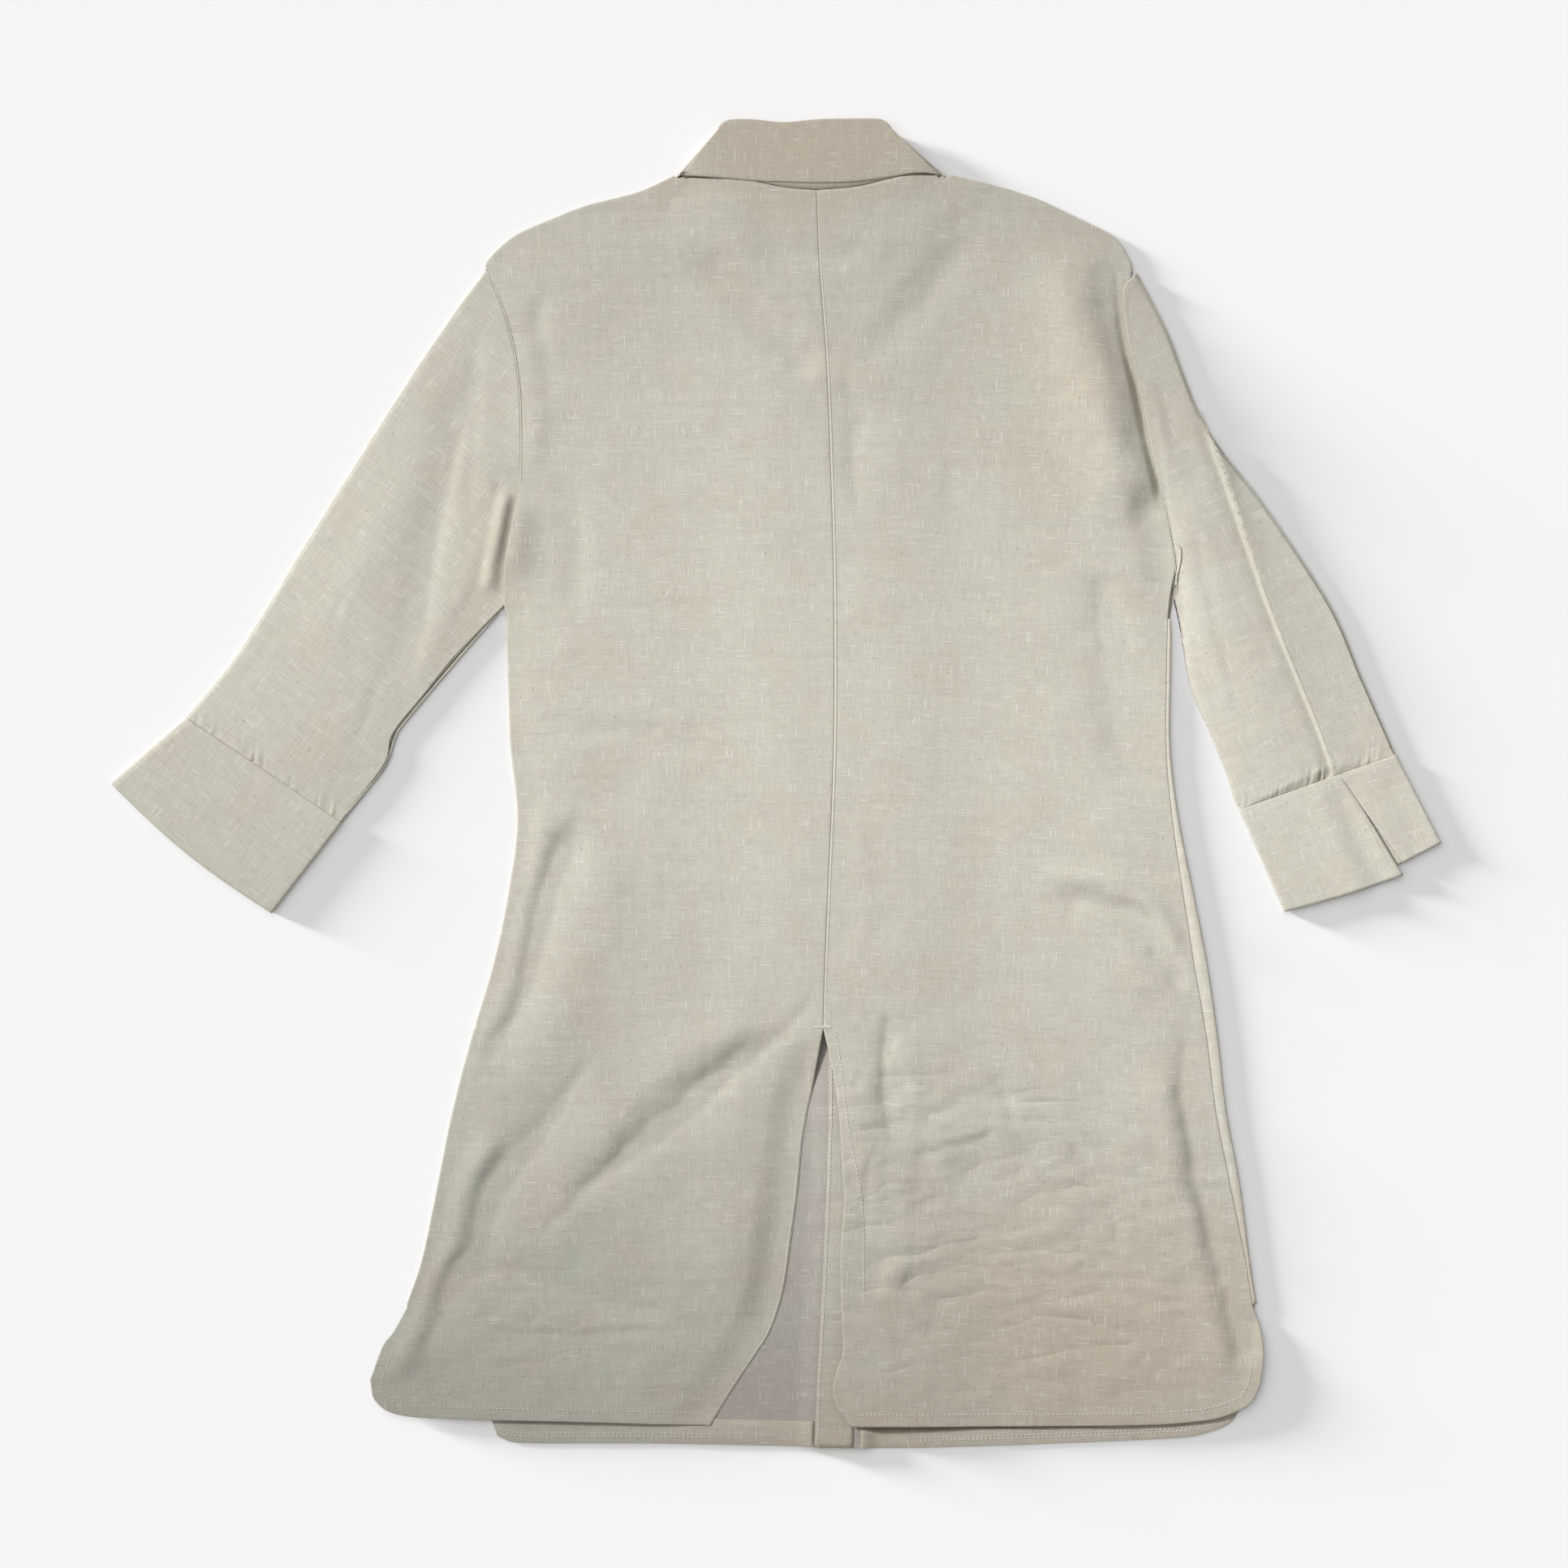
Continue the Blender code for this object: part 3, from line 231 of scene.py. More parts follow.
# The left sleeve's edge under the fold of the back at the underarm
LEFT_HIDDEN_MOUTH = [(-180.5, 152), (-178.5, 172), (-179, 195), (-182, 222)]
LIP_FADE = 10.0
LIP_CLEAR = (1.5, 4.5)  # how far out of the lip the sleeve starts to rise, and over which width
LIP = Fold("left underarm lip", 4.2, 13, [(-183, 215), (-187, 180), (-188, 138)])
UNDERARM_BANK = Fold("sleeve beside the lip", 2.6, 5.5, [(-205, 134), (-204, 156), (-199, 182), (-192, 212)])

# Sleeves: outer and inner outline from armhole to cuff, and how high the upper layer stands
Station = namedtuple("Station", "outer inner height")
LEFT_SLEEVE = [
    Station((-208.2, 366.5), (-186, 132.5), 4.2),
    Station((-228, 340), (-195, 126.4), 4.6),
    Station((-262, 290), (-226.8, 93.4), 5.4),
    Station((-302, 227), (-252, 62), 6.0),
    Station((-340, 166), (-274, 34), 5.6),
    Station((-386, 92), (-280, 12), 5.0),
    Station((-422, 47.5), (-310.5, -27.9), 4.4),
]
RIGHT_SLEEVE = [
    Station((258.5, 366), (286.5, 134.6), 5.4),
    Station((281, 322), (291, 113.5), 7.0),
    Station((308, 256), (297.5, 72), 8.2),
    Station((351, 198), (308, 44), 9.0),
    Station((397, 128), (322, 9), 9.0),
    Station((420, 75), (327, -8), 8.0),
    Station((443.6, 21.2), (331.9, -18.2), 6.0),
]
# Where the right sleeve rolls over the back. Its lines rise there from the low height to the roll's own.
ROLL_PATH = [
    (249, 356), (248, 343), (250.8, 320), (255.5, 300), (260.3, 280), (264.6, 259), (269, 237),
    (273.2, 218), (278.8, 192), (283.2, 170), (285.4, 155), (286.3, 143),
]
ROLL_HEIGHT = 6.4
ROLL_LOW = 3.2
ROLL_STEP = 0.35
UNDER_ROLL = 8.0  # width of the back that is pressed flat beside the roll's edge
UNDER_ROLL_FADE = 20.0
SLEEVE_SHARES = (0, 0.02, 0.05, 0.1, 0.17, 0.25, 0.33, 0.41, 0.49, 0.57, 0.65, 0.73, 0.81, 0.89, 0.96, 1)
SLEEVE_CROWN = 0.5  # power of the sine that rounds a sleeve across; smaller is flatter
ROLL_CROWN = 0.35
# The right sleeve dips before its pressed crease, and its outer layer slopes down from there
STEP_DROP = 2.6
STEP_WIDTH = 13.0
STEP_BELOW = 290.0
STEP_FADE = 60.0
STEP_POWER = 1.6
INNER_CROWN = {"left": 0.8, "right": 0.0}  # added to that power towards the inner edge
MOUTH_FADE = 0.12  # share of the sleeve over which its height leaves the armhole's
NOSE_WIDTH = 1.6  # width of a sleeve's edge folds
HIDDEN_HEIGHT = FOLD + 0.6  # of the left sleeve under the fold of the back
HIDDEN_BELOW = 215.0
HIDDEN_FADE = 25.0
SLEEVE_FOLDS = {
    "left": [
        Fold("elbow trough", -2.2, 14, [(-222, 300), (-236, 236), (-257, 130), (-272, 60)]),
        Fold("upper ridge", 1.6, 18, [(-262, 235), (-300, 150), (-340, 80)]),
        Fold("under crease", 1.2, 9, [(-205, 190), (-222, 130), (-262, 70)]),
    ],
    "right": [
        Fold("swell before the step", 1.2, 15, [(280, 262), (294, 214), (319, 137), (344, 67), (362, 14)]),
        Fold("head trough", -1.8, 12, [(276, 300), (292, 240), (300, 190)]),
        Fold("inner ridge", 1.4, 12, [(296, 160), (312, 100), (330, 40)]),
    ],
}

# Cuffs: the seam end and the hem end, outer then inner corner, and where across the upper layer the
# slit lies (0 is the outer edge)
Cuff = namedtuple("Cuff", "seam hem bulge slit")
CUFFS = {
    "left": Cuff([(-422.4, 47.1), (-310.9, -28.4)], [(-476, 0.8), (-360.5, -92.5)], 5.0, 0.0),
    "right": Cuff([(443.8, 20.7), (332, -18.8)], [(476, -42), (364, -91.5)], 3.0, 0.36),
}
SLIT_OPENING = {"left": 0.0, "right": 3.2}
SLIT_GAP = 0.12
SLIT_LEAN = -0.09  # how much nearer to the outer edge the right cuff's slit ends
CUFF_TONGUE = 8.0  # how much longer the right cuff hangs inside its slit
CUFF_CREASES = [
    Fold("slit shade", -1.5, 8, [(401, 24), (404, -6), (416, -36), (436, -78), (444, -98)]),
    Fold("slit swell", 0.9, 9, [(382, 16), (388, -12), (402, -46), (418, -84), (426, -104)]),
    Fold("outer shade", -0.9, 12, [(432, 20), (444, -8), (458, -40), (468, -66)]),
]
CUFF_TOP_STEPS = 8
CUFF_UNDER_STEPS = 6
CUFF_EDGE_STEPS = 4
CUFF_HEIGHT = 4.4
CUFF_SHARES = (0, 0.3, 0.6, 0.85, 1)
CUFF_NOSE = 1.9
CUFF_EDGE_GAP = 0.5  # half the opening between a cuff's ends
CUFF_SEAM_TURN = (1.1, 0.35, 0.05)  # how far the cuff's first lines are turned down over the sleeve
CUFF_SINK = 0.25
CUFF_LAYER_EDGE = -0.0002  # share across past which a point belongs to the layer inside the slit

# Collar: roll line and outer edge of the fall, from the front centre round the back
FALL_BACK_ROLL = [
    (-40.5, 468.2), (-37.5, 471.6), (-32, 473.8), (-15, 473.8), (5, 471.8), (28, 473.8), (52, 474.5), (73, 474.2),
    (78.5, 472), (81.8, 468.2),
]
FALL_BACK_EDGE = [
    (-69, 435), (-42, 432.8), (-16, 430.6), (5, 429.7), (29, 429), (57, 429.9), (80, 433), (101, 436.2), (118, 435.8),
]
FALL_WING_ROLL = {
    "left": [(22.5, 408), (4, 424), (-18, 446), (-38, 465)],
    "right": [(32, 408), (50, 424), (64, 446), (79, 465)],
}
FALL_WING_EDGE = {
    "left": [(-25.5, 356), (-40, 380), (-55.5, 407), (-68.5, 433)],
    "right": [(80, 356), (92, 380), (106, 407), (119.5, 433)],
}
WING_STEPS = 5
BACK_STEPS = 10
FALL_SHARES = (0, 0.35, 0.7, 1)
STAND_SHARES = (0, 0.43, 0.86)  # of the way from the neckline to the top fold
NOSE_ANGLES = (68, 45, 23, 0, -23, -45, -68)
COLLAR_NOSE_REACH = 2.6
STAND_NOSE_REACH = 1.2

# ---------------------------------------------------------------- what the solids leave out

SHELL = 0.5  # one layer of linen with its turnings pressed flat
DETAIL = 8  # grid steps of the backs and sleeves for each step of their solids
FRONT_DETAIL = 6
SHOULDER_COLUMNS = 60
NECK_COLUMNS = 40
FRONT_SHOULDER_COLUMNS = 48
COLLAR_DETAIL = 4
NOSE_STEPS = 5  # lines round a folded edge
WING_LINES = 12

SEAM_GAP = 0.04  # between two sheets at a seam, where their solids leave a wider one
SEAM_WIDTH = 1.3  # how far from a seam the cloth starts to turn down to it
SEAM_DEPTH = 0.55
HEM_WIDTH = 0.9
HEM_DEPTH = 1.1  # height of a hem's two layers
TURNING = 1.1  # height of a facing or hem band over the cloth that it is folded on
FACING_COLUMNS = 10
HEM_BAND_ROWS = 3

# Pressed and rumpled creases of the back, and the swells that the solid has not
BACK_CREASES = [
    Fold("left hip bank", 3.0, 11, [
        (-160, -4), (-164, -46), (-173, -86), (-192, -141), (-211, -178), (-228, -205), (-240, -228),
    ]),
    Fold("left hip trough, deeper", -1.6, 12, [
        (-146, -22), (-160, -77.7), (-171, -118.3), (-185, -153.1), (-205, -205),
    ]),
    Fold("left skirt bank", 3.4, 10, [(-200, -245), (-222, -300), (-240, -345), (-258, -390), (-272, -430)]),
    Fold("shoulder swell", 2.2, 27, [(176, 392), (196, 350), (208, 308), (220, 262), (240, 205)]),
    Fold("left yoke crease", -3.2, 12, [(-62, 384), (-35, 358), (-8, 332), (34, 290)]),
    Fold("left yoke ridge", 0.9, 11, [(-42, 396), (-14, 366), (12, 340), (40, 312)]),
    Fold("right yoke crease", -1.8, 13, [(142, 402), (118, 366), (90, 334), (58, 290)]),
    Fold("right yoke ridge", 0.5, 12, [(118, 398), (94, 362), (66, 322)]),
    Fold("neck crease", -0.8, 6, [(-22, 404), (8, 380), (40, 376), (76, 392)]),
    Fold("left armhole shade", -1.6, 8, [(-173, 358), (-168, 310), (-166, 262)]),
    Fold("left chest shade", -1.2, 11, [(-152, 222), (-142, 180), (-138, 112)]),
    Fold("left waist crease", -0.9, 9, [(-172, 54), (-140, 40), (-112, 38), (-84, 28), (-48, 26)]),
    Fold("left waist crease edge", 0.5, 9, [(-166, 66), (-136, 54), (-104, 50), (-78, 41), (-52, 39)]),
    Fold("right seat slope", -1.3, 8, [(148, -208), (190, -236), (232, -262), (280, -288)]),
    Fold("right seat slope edge", 1.1, 9, [(158, -196), (200, -222), (240, -246), (276, -268)]),
    Fold("right waist fan", -1.0, 7, [(226, 150), (234, 120), (238, 84)]),
    Fold("left skirt trough, deeper", -1.5, 13, [
        (-170, -235), (-198, -285), (-214, -298), (-229.7, -344.5), (-252.9, -379.3), (-264.5, -414.1),
    ]),
    Fold("vent fan trough", -1.7, 9, [
        (16.2, -174), (-19.1, -190.2), (-42.9, -209.4), (-62.1, -228.5), (-84.1, -248.2), (-102.1, -260.4),
        (-150, -305),
    ]),
    Fold("vent fan ridge", 1.4, 13, [(-5, -168), (-50, -188), (-92, -222), (-140, -262)]),
    Fold("bank ridge", 6.4, 21, [
        (200, 392), (214, 345), (223, 308), (234, 273), (247, 238), (262, 198), (268, 180),
    ]),
    Fold("right skirt trough, deeper", -3.6, 9, [
        (290, -200), (302, -258), (316, -310), (332, -380), (340, -420),
    ]),
    Fold("right skirt bank", 2.0, 11, [(272, -196), (285, -262), (299, -316), (315, -384), (322, -430)]),
    Fold("right hip crest", 2.2, 8.5, [(190, -62), (236, -71), (266, -84), (287, -104), (300, -124)]),
    Fold("right hip crease, deeper", -2.2, 7.5, [
        (196, -80), (246, -92), (274, -109), (290, -132), (296, -152),
    ]),
    Fold("right waist trough, deeper", -0.8, 17, [(226, 165), (240, 96), (252, 38), (258, -20)]),
    Fold("left blade wave", -1.1, 26, [(-150, 330), (-95, 300), (-40, 290)]),
    Fold("neck hollow", -0.9, 22, [(-40, 395), (10, 380), (70, 392)]),
    Fold("waist wave", -0.9, 16, [(-170, 2), (-120, -6), (-75, -2)]),
    Fold("centre back crease", -0.6, 4.5, [(51.6, 299.3), (57.4, 258.7), (56.3, 189.1)]),
    Fold("right shoulder blade crease", -0.5, 6, [(129.9, 235.5), (127.6, 212.3), (124.1, 189.1)]),
    Fold("centre waist ridge", 0.5, 8, [(60.3, -19.7), (62.1, -77.7), (61.5, -135.7)]),
    Fold("right vent valley", -0.9, 2.6, [
        (78.9, -158.9), (77.7, -175.7), (76, -205.3), (78.3, -229.7), (85.3, -254.6), (94.5, -258.7),
    ]),
    Fold("right vent valley edge", 0.7, 3, [(81.8, -193.7), (84.1, -216.9), (91.1, -240.1)]),
    Fold("vent nick", -0.9, 2.5, [(57.4, -161.2), (62.6, -164.7), (67.9, -171.1)]),
    Fold("vent nick low", -0.8, 2.5, [(62.1, -201.3), (60.3, -208.2), (57.4, -215.8)]),
    Fold("seat crease", -1.0, 3.5, [
        (97.4, -267.4), (105.6, -262.7), (121.2, -257.5), (136.3, -253.5), (158.9, -248.8),
    ]),
    Fold("seat crease edge", 0.6, 3.5, [(99.8, -259.8), (106.7, -256.4), (136.3, -247.7), (161.8, -242.4)]),
    Fold("flap valley", -1.0, 3.5, [
        (70.2, -262.2), (65.5, -275.5), (63.2, -292.3), (64.4, -309.7), (67.3, -327.1),
    ]),
    Fold("flap valley edge", 0.5, 3, [(65.5, -266.2), (60.9, -280.7), (59.2, -303.9)]),
    Fold("seat nick", -0.9, 2.5, [(96.3, -291.2), (100.9, -288.8), (105.6, -286.5)]),
    Fold("seat crease low", -0.9, 3.5, [(94.5, -304.5), (106.7, -299.3), (120.1, -294.1)]),
    Fold("seat crease low edge", 0.5, 3.5, [(90.5, -300.4), (103.8, -294.6), (118.3, -288.3)]),
    Fold("right seat fall", -0.9, 4, [
        (157.8, -212.3), (161.8, -225.6), (165.3, -236.6), (171.1, -252.3), (185, -274.9),
        (205.3, -298.1),
    ]),
    Fold("right seat step", -1.0, 4.5, [(169.9, -240.1), (199.5, -242.4), (228.5, -274.9)]),
    Fold("low right bump edge", -0.6, 4, [(71.9, -353.2), (83.5, -357.3), (95.1, -357.3)]),
    Fold("right skirt nick", -0.9, 4.5, [(176.3, -324.2), (193.7, -328.3), (211.1, -327.1)]),
    Fold("right flap nick", -0.9, 4, [(83.5, -390.9), (90.5, -402.5), (95.1, -414.1)]),
    Fold("right side valley", -0.8, 5, [
        (286.5, -176.3), (298.1, -251.7), (315.5, -309.7), (332.9, -396.7),
    ]),
    Fold("left side line", -0.7, 5, [
        (-148.5, -13.9), (-154.3, -48.7), (-160.1, -77.7), (-171.7, -115.4), (-183.3, -147.3),
        (-206.5, -199.5),
    ]),
    Fold("left skirt line", -0.9, 5, [
        (-131.1, -193.7), (-154.3, -228.5), (-177.5, -263.3), (-212.3, -321.3), (-241.3, -379.3),
        (-258.7, -414.1),
    ]),
    Fold("vent fan upper", -0.8, 5, [
        (31.3, -153.1), (8.1, -176.3), (-20.9, -205.3), (-55.7, -229.7), (-90.5, -251.7),
        (-136.9, -292.3), (-171.7, -327.1),
    ]),
    Fold("vent fan middle", -0.7, 4.5, [(-49.9, -234.3), (-23.8, -241.3), (2.3, -245.9)]),
    Fold("left flap crease a", -0.8, 4, [
        (-241.3, -341.6), (-212.3, -345.7), (-183.3, -350.3), (-125.3, -367.7), (-78.9, -379.3),
    ]),
    Fold("left flap crease b", -0.7, 3.5, [(-206.5, -388), (-148.5, -388.6), (-90.5, -390.9)]),
    Fold("left flap crease b edge", 0.6, 3.5, [(-206.5, -382.8), (-148.5, -383.4), (-90.5, -385.1)]),
]
SLEEVE_CREASES = {
    "left": [
        Fold("elbow trough line", -0.8, 5, [(-213, 330), (-222, 268), (-240, 190), (-250, 120), (-262, 66)]),
        Fold("head crease", -0.7, 5, [(-205, 352), (-212, 300), (-216, 240), (-220, 190)]),
        Fold("underarm crease", -0.8, 4.5, [(-196, 222), (-203, 180), (-214, 140), (-236, 104)]),
        Fold("underarm crease edge", 0.6, 4, [(-192, 215), (-198, 172), (-208, 134)]),
        Fold("wrist crease", -0.6, 5, [(-280, 88), (-290, 52), (-305, 20)]),
        Fold("outer wrist crease", -0.5, 5, [(-352, 118), (-372, 86), (-392, 62)]),
        Fold("middle nick", -0.4, 3.5, [(-300, 150), (-312, 128), (-318, 108)]),
    ],
    "right": [
        Fold("head crease", -0.6, 5, [(268, 318), (278, 270), (288, 226)]),
        Fold("inner crease", -0.6, 5, [(300, 178), (310, 130), (322, 84), (330, 48)]),
        Fold("outer crease", -0.5, 6, [(345, 196), (372, 142), (398, 92)]),
        Fold("outer wrist crease", -0.4, 4, [(404, 70), (412, 48), (416, 30)]),
    ],
}
# Hollows of the fronts' outer faces, which otherwise lie flat on the table
FRONT_CREASES = [
    Fold("left front hollow", 1.1, 12, [(-150, 60), (-130, 0), (-118, -70)]),
    Fold("left front skirt crease", 0.9, 8, [(-60, -180), (-96, -250), (-140, -330)]),
    Fold("left front hip crease", 0.8, 7, [(-140, -130), (-112, -170), (-70, -205)]),
    Fold("left front chest crease", 0.9, 9, [(-150, 300), (-120, 240), (-104, 170)]),
    Fold("left front hem crease", 0.7, 7, [(-130, -390), (-70, -372), (-10, -380)]),
    Fold("right front hollow", 1.0, 12, [(215, 130), (200, 60), (206, -10)]),
    Fold("right front hip crease", 0.9, 8, [(240, -90), (205, -130), (150, -150)]),
    Fold("right front skirt crease", 0.9, 8, [(250, -220), (262, -300), (250, -380)]),
    Fold("right front seat crease", 0.7, 7, [(110, -260), (160, -280), (214, -270)]),
    Fold("right front chest crease", 0.9, 9, [(205, 330), (180, 270), (170, 200)]),
    Fold("right front hem crease", 0.6, 6, [(110, -400), (160, -392), (220, -410)]),
]
FRONT_EDGE_FADE = 34.0
TAPER = 2.4  # how many times its half-width a fold takes to reach its full height
WANDER = ((52.0, 7.0), (17.0, 2.4))  # how far the folds of the back wander, over which length
RUMPLE = ((46.0, 0.5), (19.0, 0.22), (8.0, 0.06))  # sizes of the slight waves, and their heights
AIR = 1.6  # how much higher the back lies where its folds hold it off the fronts
AIR_BELOW = 418.0
AIR_FADE = 34.0
# Where the cloth is crumpled: middle, reach across and along, and height of the sharp small creases
Crumple = namedtuple("Crumple", "x y across along height")
CRUMPLES = [
    Crumple(185, -345, 150, 110, 0.8),
    Crumple(85, -290, 42, 110, 0.5),
    Crumple(-140, -395, 120, 55, 0.35),
    Crumple(-30, -330, 60, 70, 0.15),
    Crumple(140, -235, 100, 60, 0.4),
]
CRUMPLE_SIZE = (27.0, 15.0)
# The right of the back drops off this line into the hollow beside the rolled sleeve
BANK = [
    (275, 190), (268.5, 218), (263.8, 237), (259, 259), (254.6, 280), (249.8, 300), (245.2, 320), (242.4, 343),
    (240, 388),
]
BANK_BETWEEN = (194.0, 380.0)
BANK_WIDTH = 5.0
BANK_REACH = 36.0  # width of the slope that leads down to the line
BANK_SHARE = 0.2
BANK_EDGE = 0.35  # share of the width by which the drop starts before the line
BANK_FADES = (20.0, 24.0)  # lengths over which it dies away below and above
ROLL_FOOT = (0.5, 3.0)  # width of the flat cloth at the roll's foot, and its fade
VENT_FLAT = 62.0  # how far in from its edge the left flap of the vent lies close to the front
FLAP_CLOSE = 30.0  # width of its edge that lies close on the front
FLAP_CLEARANCE = 0.25
FLAP_BELOW = -176.0
FLAP_FADE = 55.0
FLAP_HEM = (-464.0, 16.0)  # where the flap starts to lie close above its hem, and over which length
VENT_FLAT_SHARE = 0.85
VENT_FLAT_FADE = 50.0
PUCKER_LENGTH = 8.0
PUCKER_WIDTH = 2.6
PUCKER_HEIGHT = 3.2
PUCKER_REACH = 30.0  # length over which a pucker changes down the sleeve
PUCKER_PATCH = 24.0  # width of a group of them
CUFF_SEAM_HEIGHT = 3.7  # most that a sleeve stands up where it runs in under its cuff
CUFF_SEAM_SLOPE = 0.28  # how fast it may rise from there
CUFF_OVER = 0.7  # how far the cuff's edge laps over the end of the sleeve
PUCKER_SLANT = 0.5

# Sewing
STITCH_LENGTH = 2.2
STITCH_PITCH = 3.1
STITCH_RADIUS = 0.38
HEM_STITCH = 8.6  # how far above its edge a hem is sewn
FRONT_HEM_STITCH = 6.4
EDGE_STITCH = 1.6
FACING_STITCH = 27.5
STITCH_ROWS_APART = 2.0
OUTSIDE_STITCH_LIFT = -0.16  # sunk, so that they clear the table
TACK_PITCH = 0.55
HOLE_PITCH = 0.62
VENT_STITCH = [(42.5, -177), (46.4, -199.5), (49.9, -228.5), (52.8, -251.7), (61.5, -298), (63.2, -367.7)]
BAR_TACKS = [((27.5, -173.4), (39.5, -173.4))]
HOLE_LENGTH = 14.5
HOLE_WIDTH = 2.6
BUTTON_HOLE_RADIUS = 0.75
BUTTON_HOLE_OFFSET = 1.35
TIE_RADIUS = 0.32  # of the thread through a button's holes
TIE_HEIGHT = 0.42

# Grain of each piece: how far its warp is turned from the Y axis, in degrees
GRAIN = {
    "back_left": 1.0, "back_right": -2.0, "front_left": 0.0, "front_right": 1.5, "sleeve_left": -38.0,
    "sleeve_right": 22.0, "cuff_left": -40.0, "cuff_right": 19.0, "collar_fall": 90.0, "collar_stand": 90.0,
}

# Where the cloth is drawn warmer and a little darker: middle, reach across and along, and share. The patches beside
# the rolled right sleeve and at the left underarm are painted shade in those crevices; the others make the collar,
# the lower right and the hem warmer and darker.
Tone = namedtuple("Tone", "x y across along share")
WARM_TONES_AND_PAINTED_SHADE = [
    Tone(22, 455, 110, 40, 1.0),
    Tone(230, -400, 150, 95, 1.0),
    Tone(60, -470, 120, 60, 0.8),
    Tone(215, 300, 50, 80, 0.5),
    Tone(-205, 160, 26, 60, 0.5),
]

# Flat size of each cut piece with its turnings, in metres, and the area that it covers
Cut = namedtuple("Cut", "width length area")
CUTS = {
    "back_left": Cut(0.325, 0.905, 0.2133),
    "back_right": Cut(0.335, 0.905, 0.2240),
    "front_left": Cut(0.345, 0.885, 0.2272),
    "front_right": Cut(0.345, 0.885, 0.2364),
    "sleeve_left": Cut(0.44, 0.40, 0.0861),
    "sleeve_right": Cut(0.40, 0.40, 0.0573),
    "cuff_left": Cut(0.31, 0.074, 0.0221),
    "cuff_right": Cut(0.27, 0.073, 0.0181),
    "collar_fall": Cut(0.42, 0.062, 0.0175),
    "collar_stand": Cut(0.44, 0.046, 0.0150),
}

CUFF_DETAIL = 5
COLLAR_SAG = 0.5
COLLAR_SINK = 0.2
COLLAR_EDGE_TURN = (0.75, 0.18)  # how far the fall's first two lines are turned down
NECK_SIDES = (-71.0, 120.5)
NECK_DROP = 3.0  # how far the collar is let down onto the shoulders there
NECK_DROP_REACH = 24.0
EDGE_TURN_SHARE = 0.02  # of the collar fall, over which its lower edge turns down
ROLL_LINES = 8
ROLL_REACH = 0.8

# Stage
FLOOR_SIZE = 14.0
FLOOR_LEVEL = -0.0004
LIGHT_FROM = (-0.62, 0.42, 0.56)
# The window's two lights: where the middle of each falls on the ground, its power and its cone's angle
WINDOW_LIGHTS = [((0.585, -0.095, 0.0), 1085.0, 18.6), ((-0.774, 0.227, 0.0), 1800.0, 11.4)]
WINDOW_DISTANCE = 4.5
WINDOW_RADIUS = 0.5
WORLD_STRENGTH = 0.33
# The ground's own lights: where each comes from, its strength and its angle. The low one draws the
# shirt's broad, pale shadow.
GROUND_LIGHTS = [((-0.5, 0.4, 0.9), 1.5, 80.0), ((-0.8, 0.34, 0.08), 10.4, 8.0)]
CAMERA_X = 0.0058
CAMERA_HEIGHT = 2.6
FRAME_WIDTH = 1.1206
SENSOR = 36.0
FOCUS_HEIGHT = 0.005  # of the cloth that the frame's width is measured on


# ---------------------------------------------------------------- curves and grids


def smoothstep(value):
    value = np.clip(value, 0.0, 1.0)
    return value * value * (3 - 2 * value)


def along(points, shares):
    """Points at shares of the length of a smooth curve through the given points."""
    knots = np.array(points, float)
    padded = np.vstack([2 * knots[0] - knots[1], knots, 2 * knots[-1] - knots[-2]])
    t = np.linspace(0, 1, CURVE_STEPS, endpoint=False)[:, None]
    pieces = []
    for a, b, c, d in zip(padded, padded[1:], padded[2:], padded[3:]):
        bend = (2 * a - 5 * b + 4 * c - d) * t**2 + (3 * b - a - 3 * c + d) * t**3
        pieces.append(b + 0.5 * ((c - a) * t + bend))
    line = np.vstack([*pieces, knots[-1:]])
    length = np.concatenate([[0], np.cumsum(np.linalg.norm(np.diff(line, axis=0), axis=1))])
    at = np.asarray(shares) * length[-1]
    return np.column_stack([np.interp(at, length, column) for column in line.T])


def evenly(points, steps):
    return along(points, np.linspace(0, 1, steps + 1))


def shares_of(line):
    """How far along its own length each point of a line lies, from 0 to 1."""
    length = np.concatenate([[0], np.cumsum(np.linalg.norm(np.diff(line, axis=0), axis=1))])
    return length / length[-1]


def joined(*lines):
    """Lines end to end, with the shared end points kept once."""
    return np.vstack([lines[0], *[line[1:] for line in lines[1:]]])


def patch(side, centre, hem, top):
    """Plan points spread evenly between four edges that meet at their corners."""
    v = shares_of(side)[:, None, None]
    u = shares_of(top)[None, :, None]
    lower = (1 - u) * side[0] + u * centre[0]
    upper = (1 - u) * side[-1] + u * centre[-1]
    across = (1 - u) * side[:, None] + u * centre[:, None]
    return across + (1 - v) ** 2 * (hem - lower) + v**2 * (top - upper)


def distance_to(plan, path):
    """Distance of each plan point from a line of straight stretches."""
    nearest = np.full(plan.shape[:-1], np.inf)
    path = np.array(path, float)
    for start, end in zip(path, path[1:]):
        run = end - start
        t = np.clip(((plan - start) @ run) / (run @ run), 0, 1)
        nearest = np.minimum(nearest, np.linalg.norm(plan - start - t[..., None] * run, axis=-1))
    return nearest


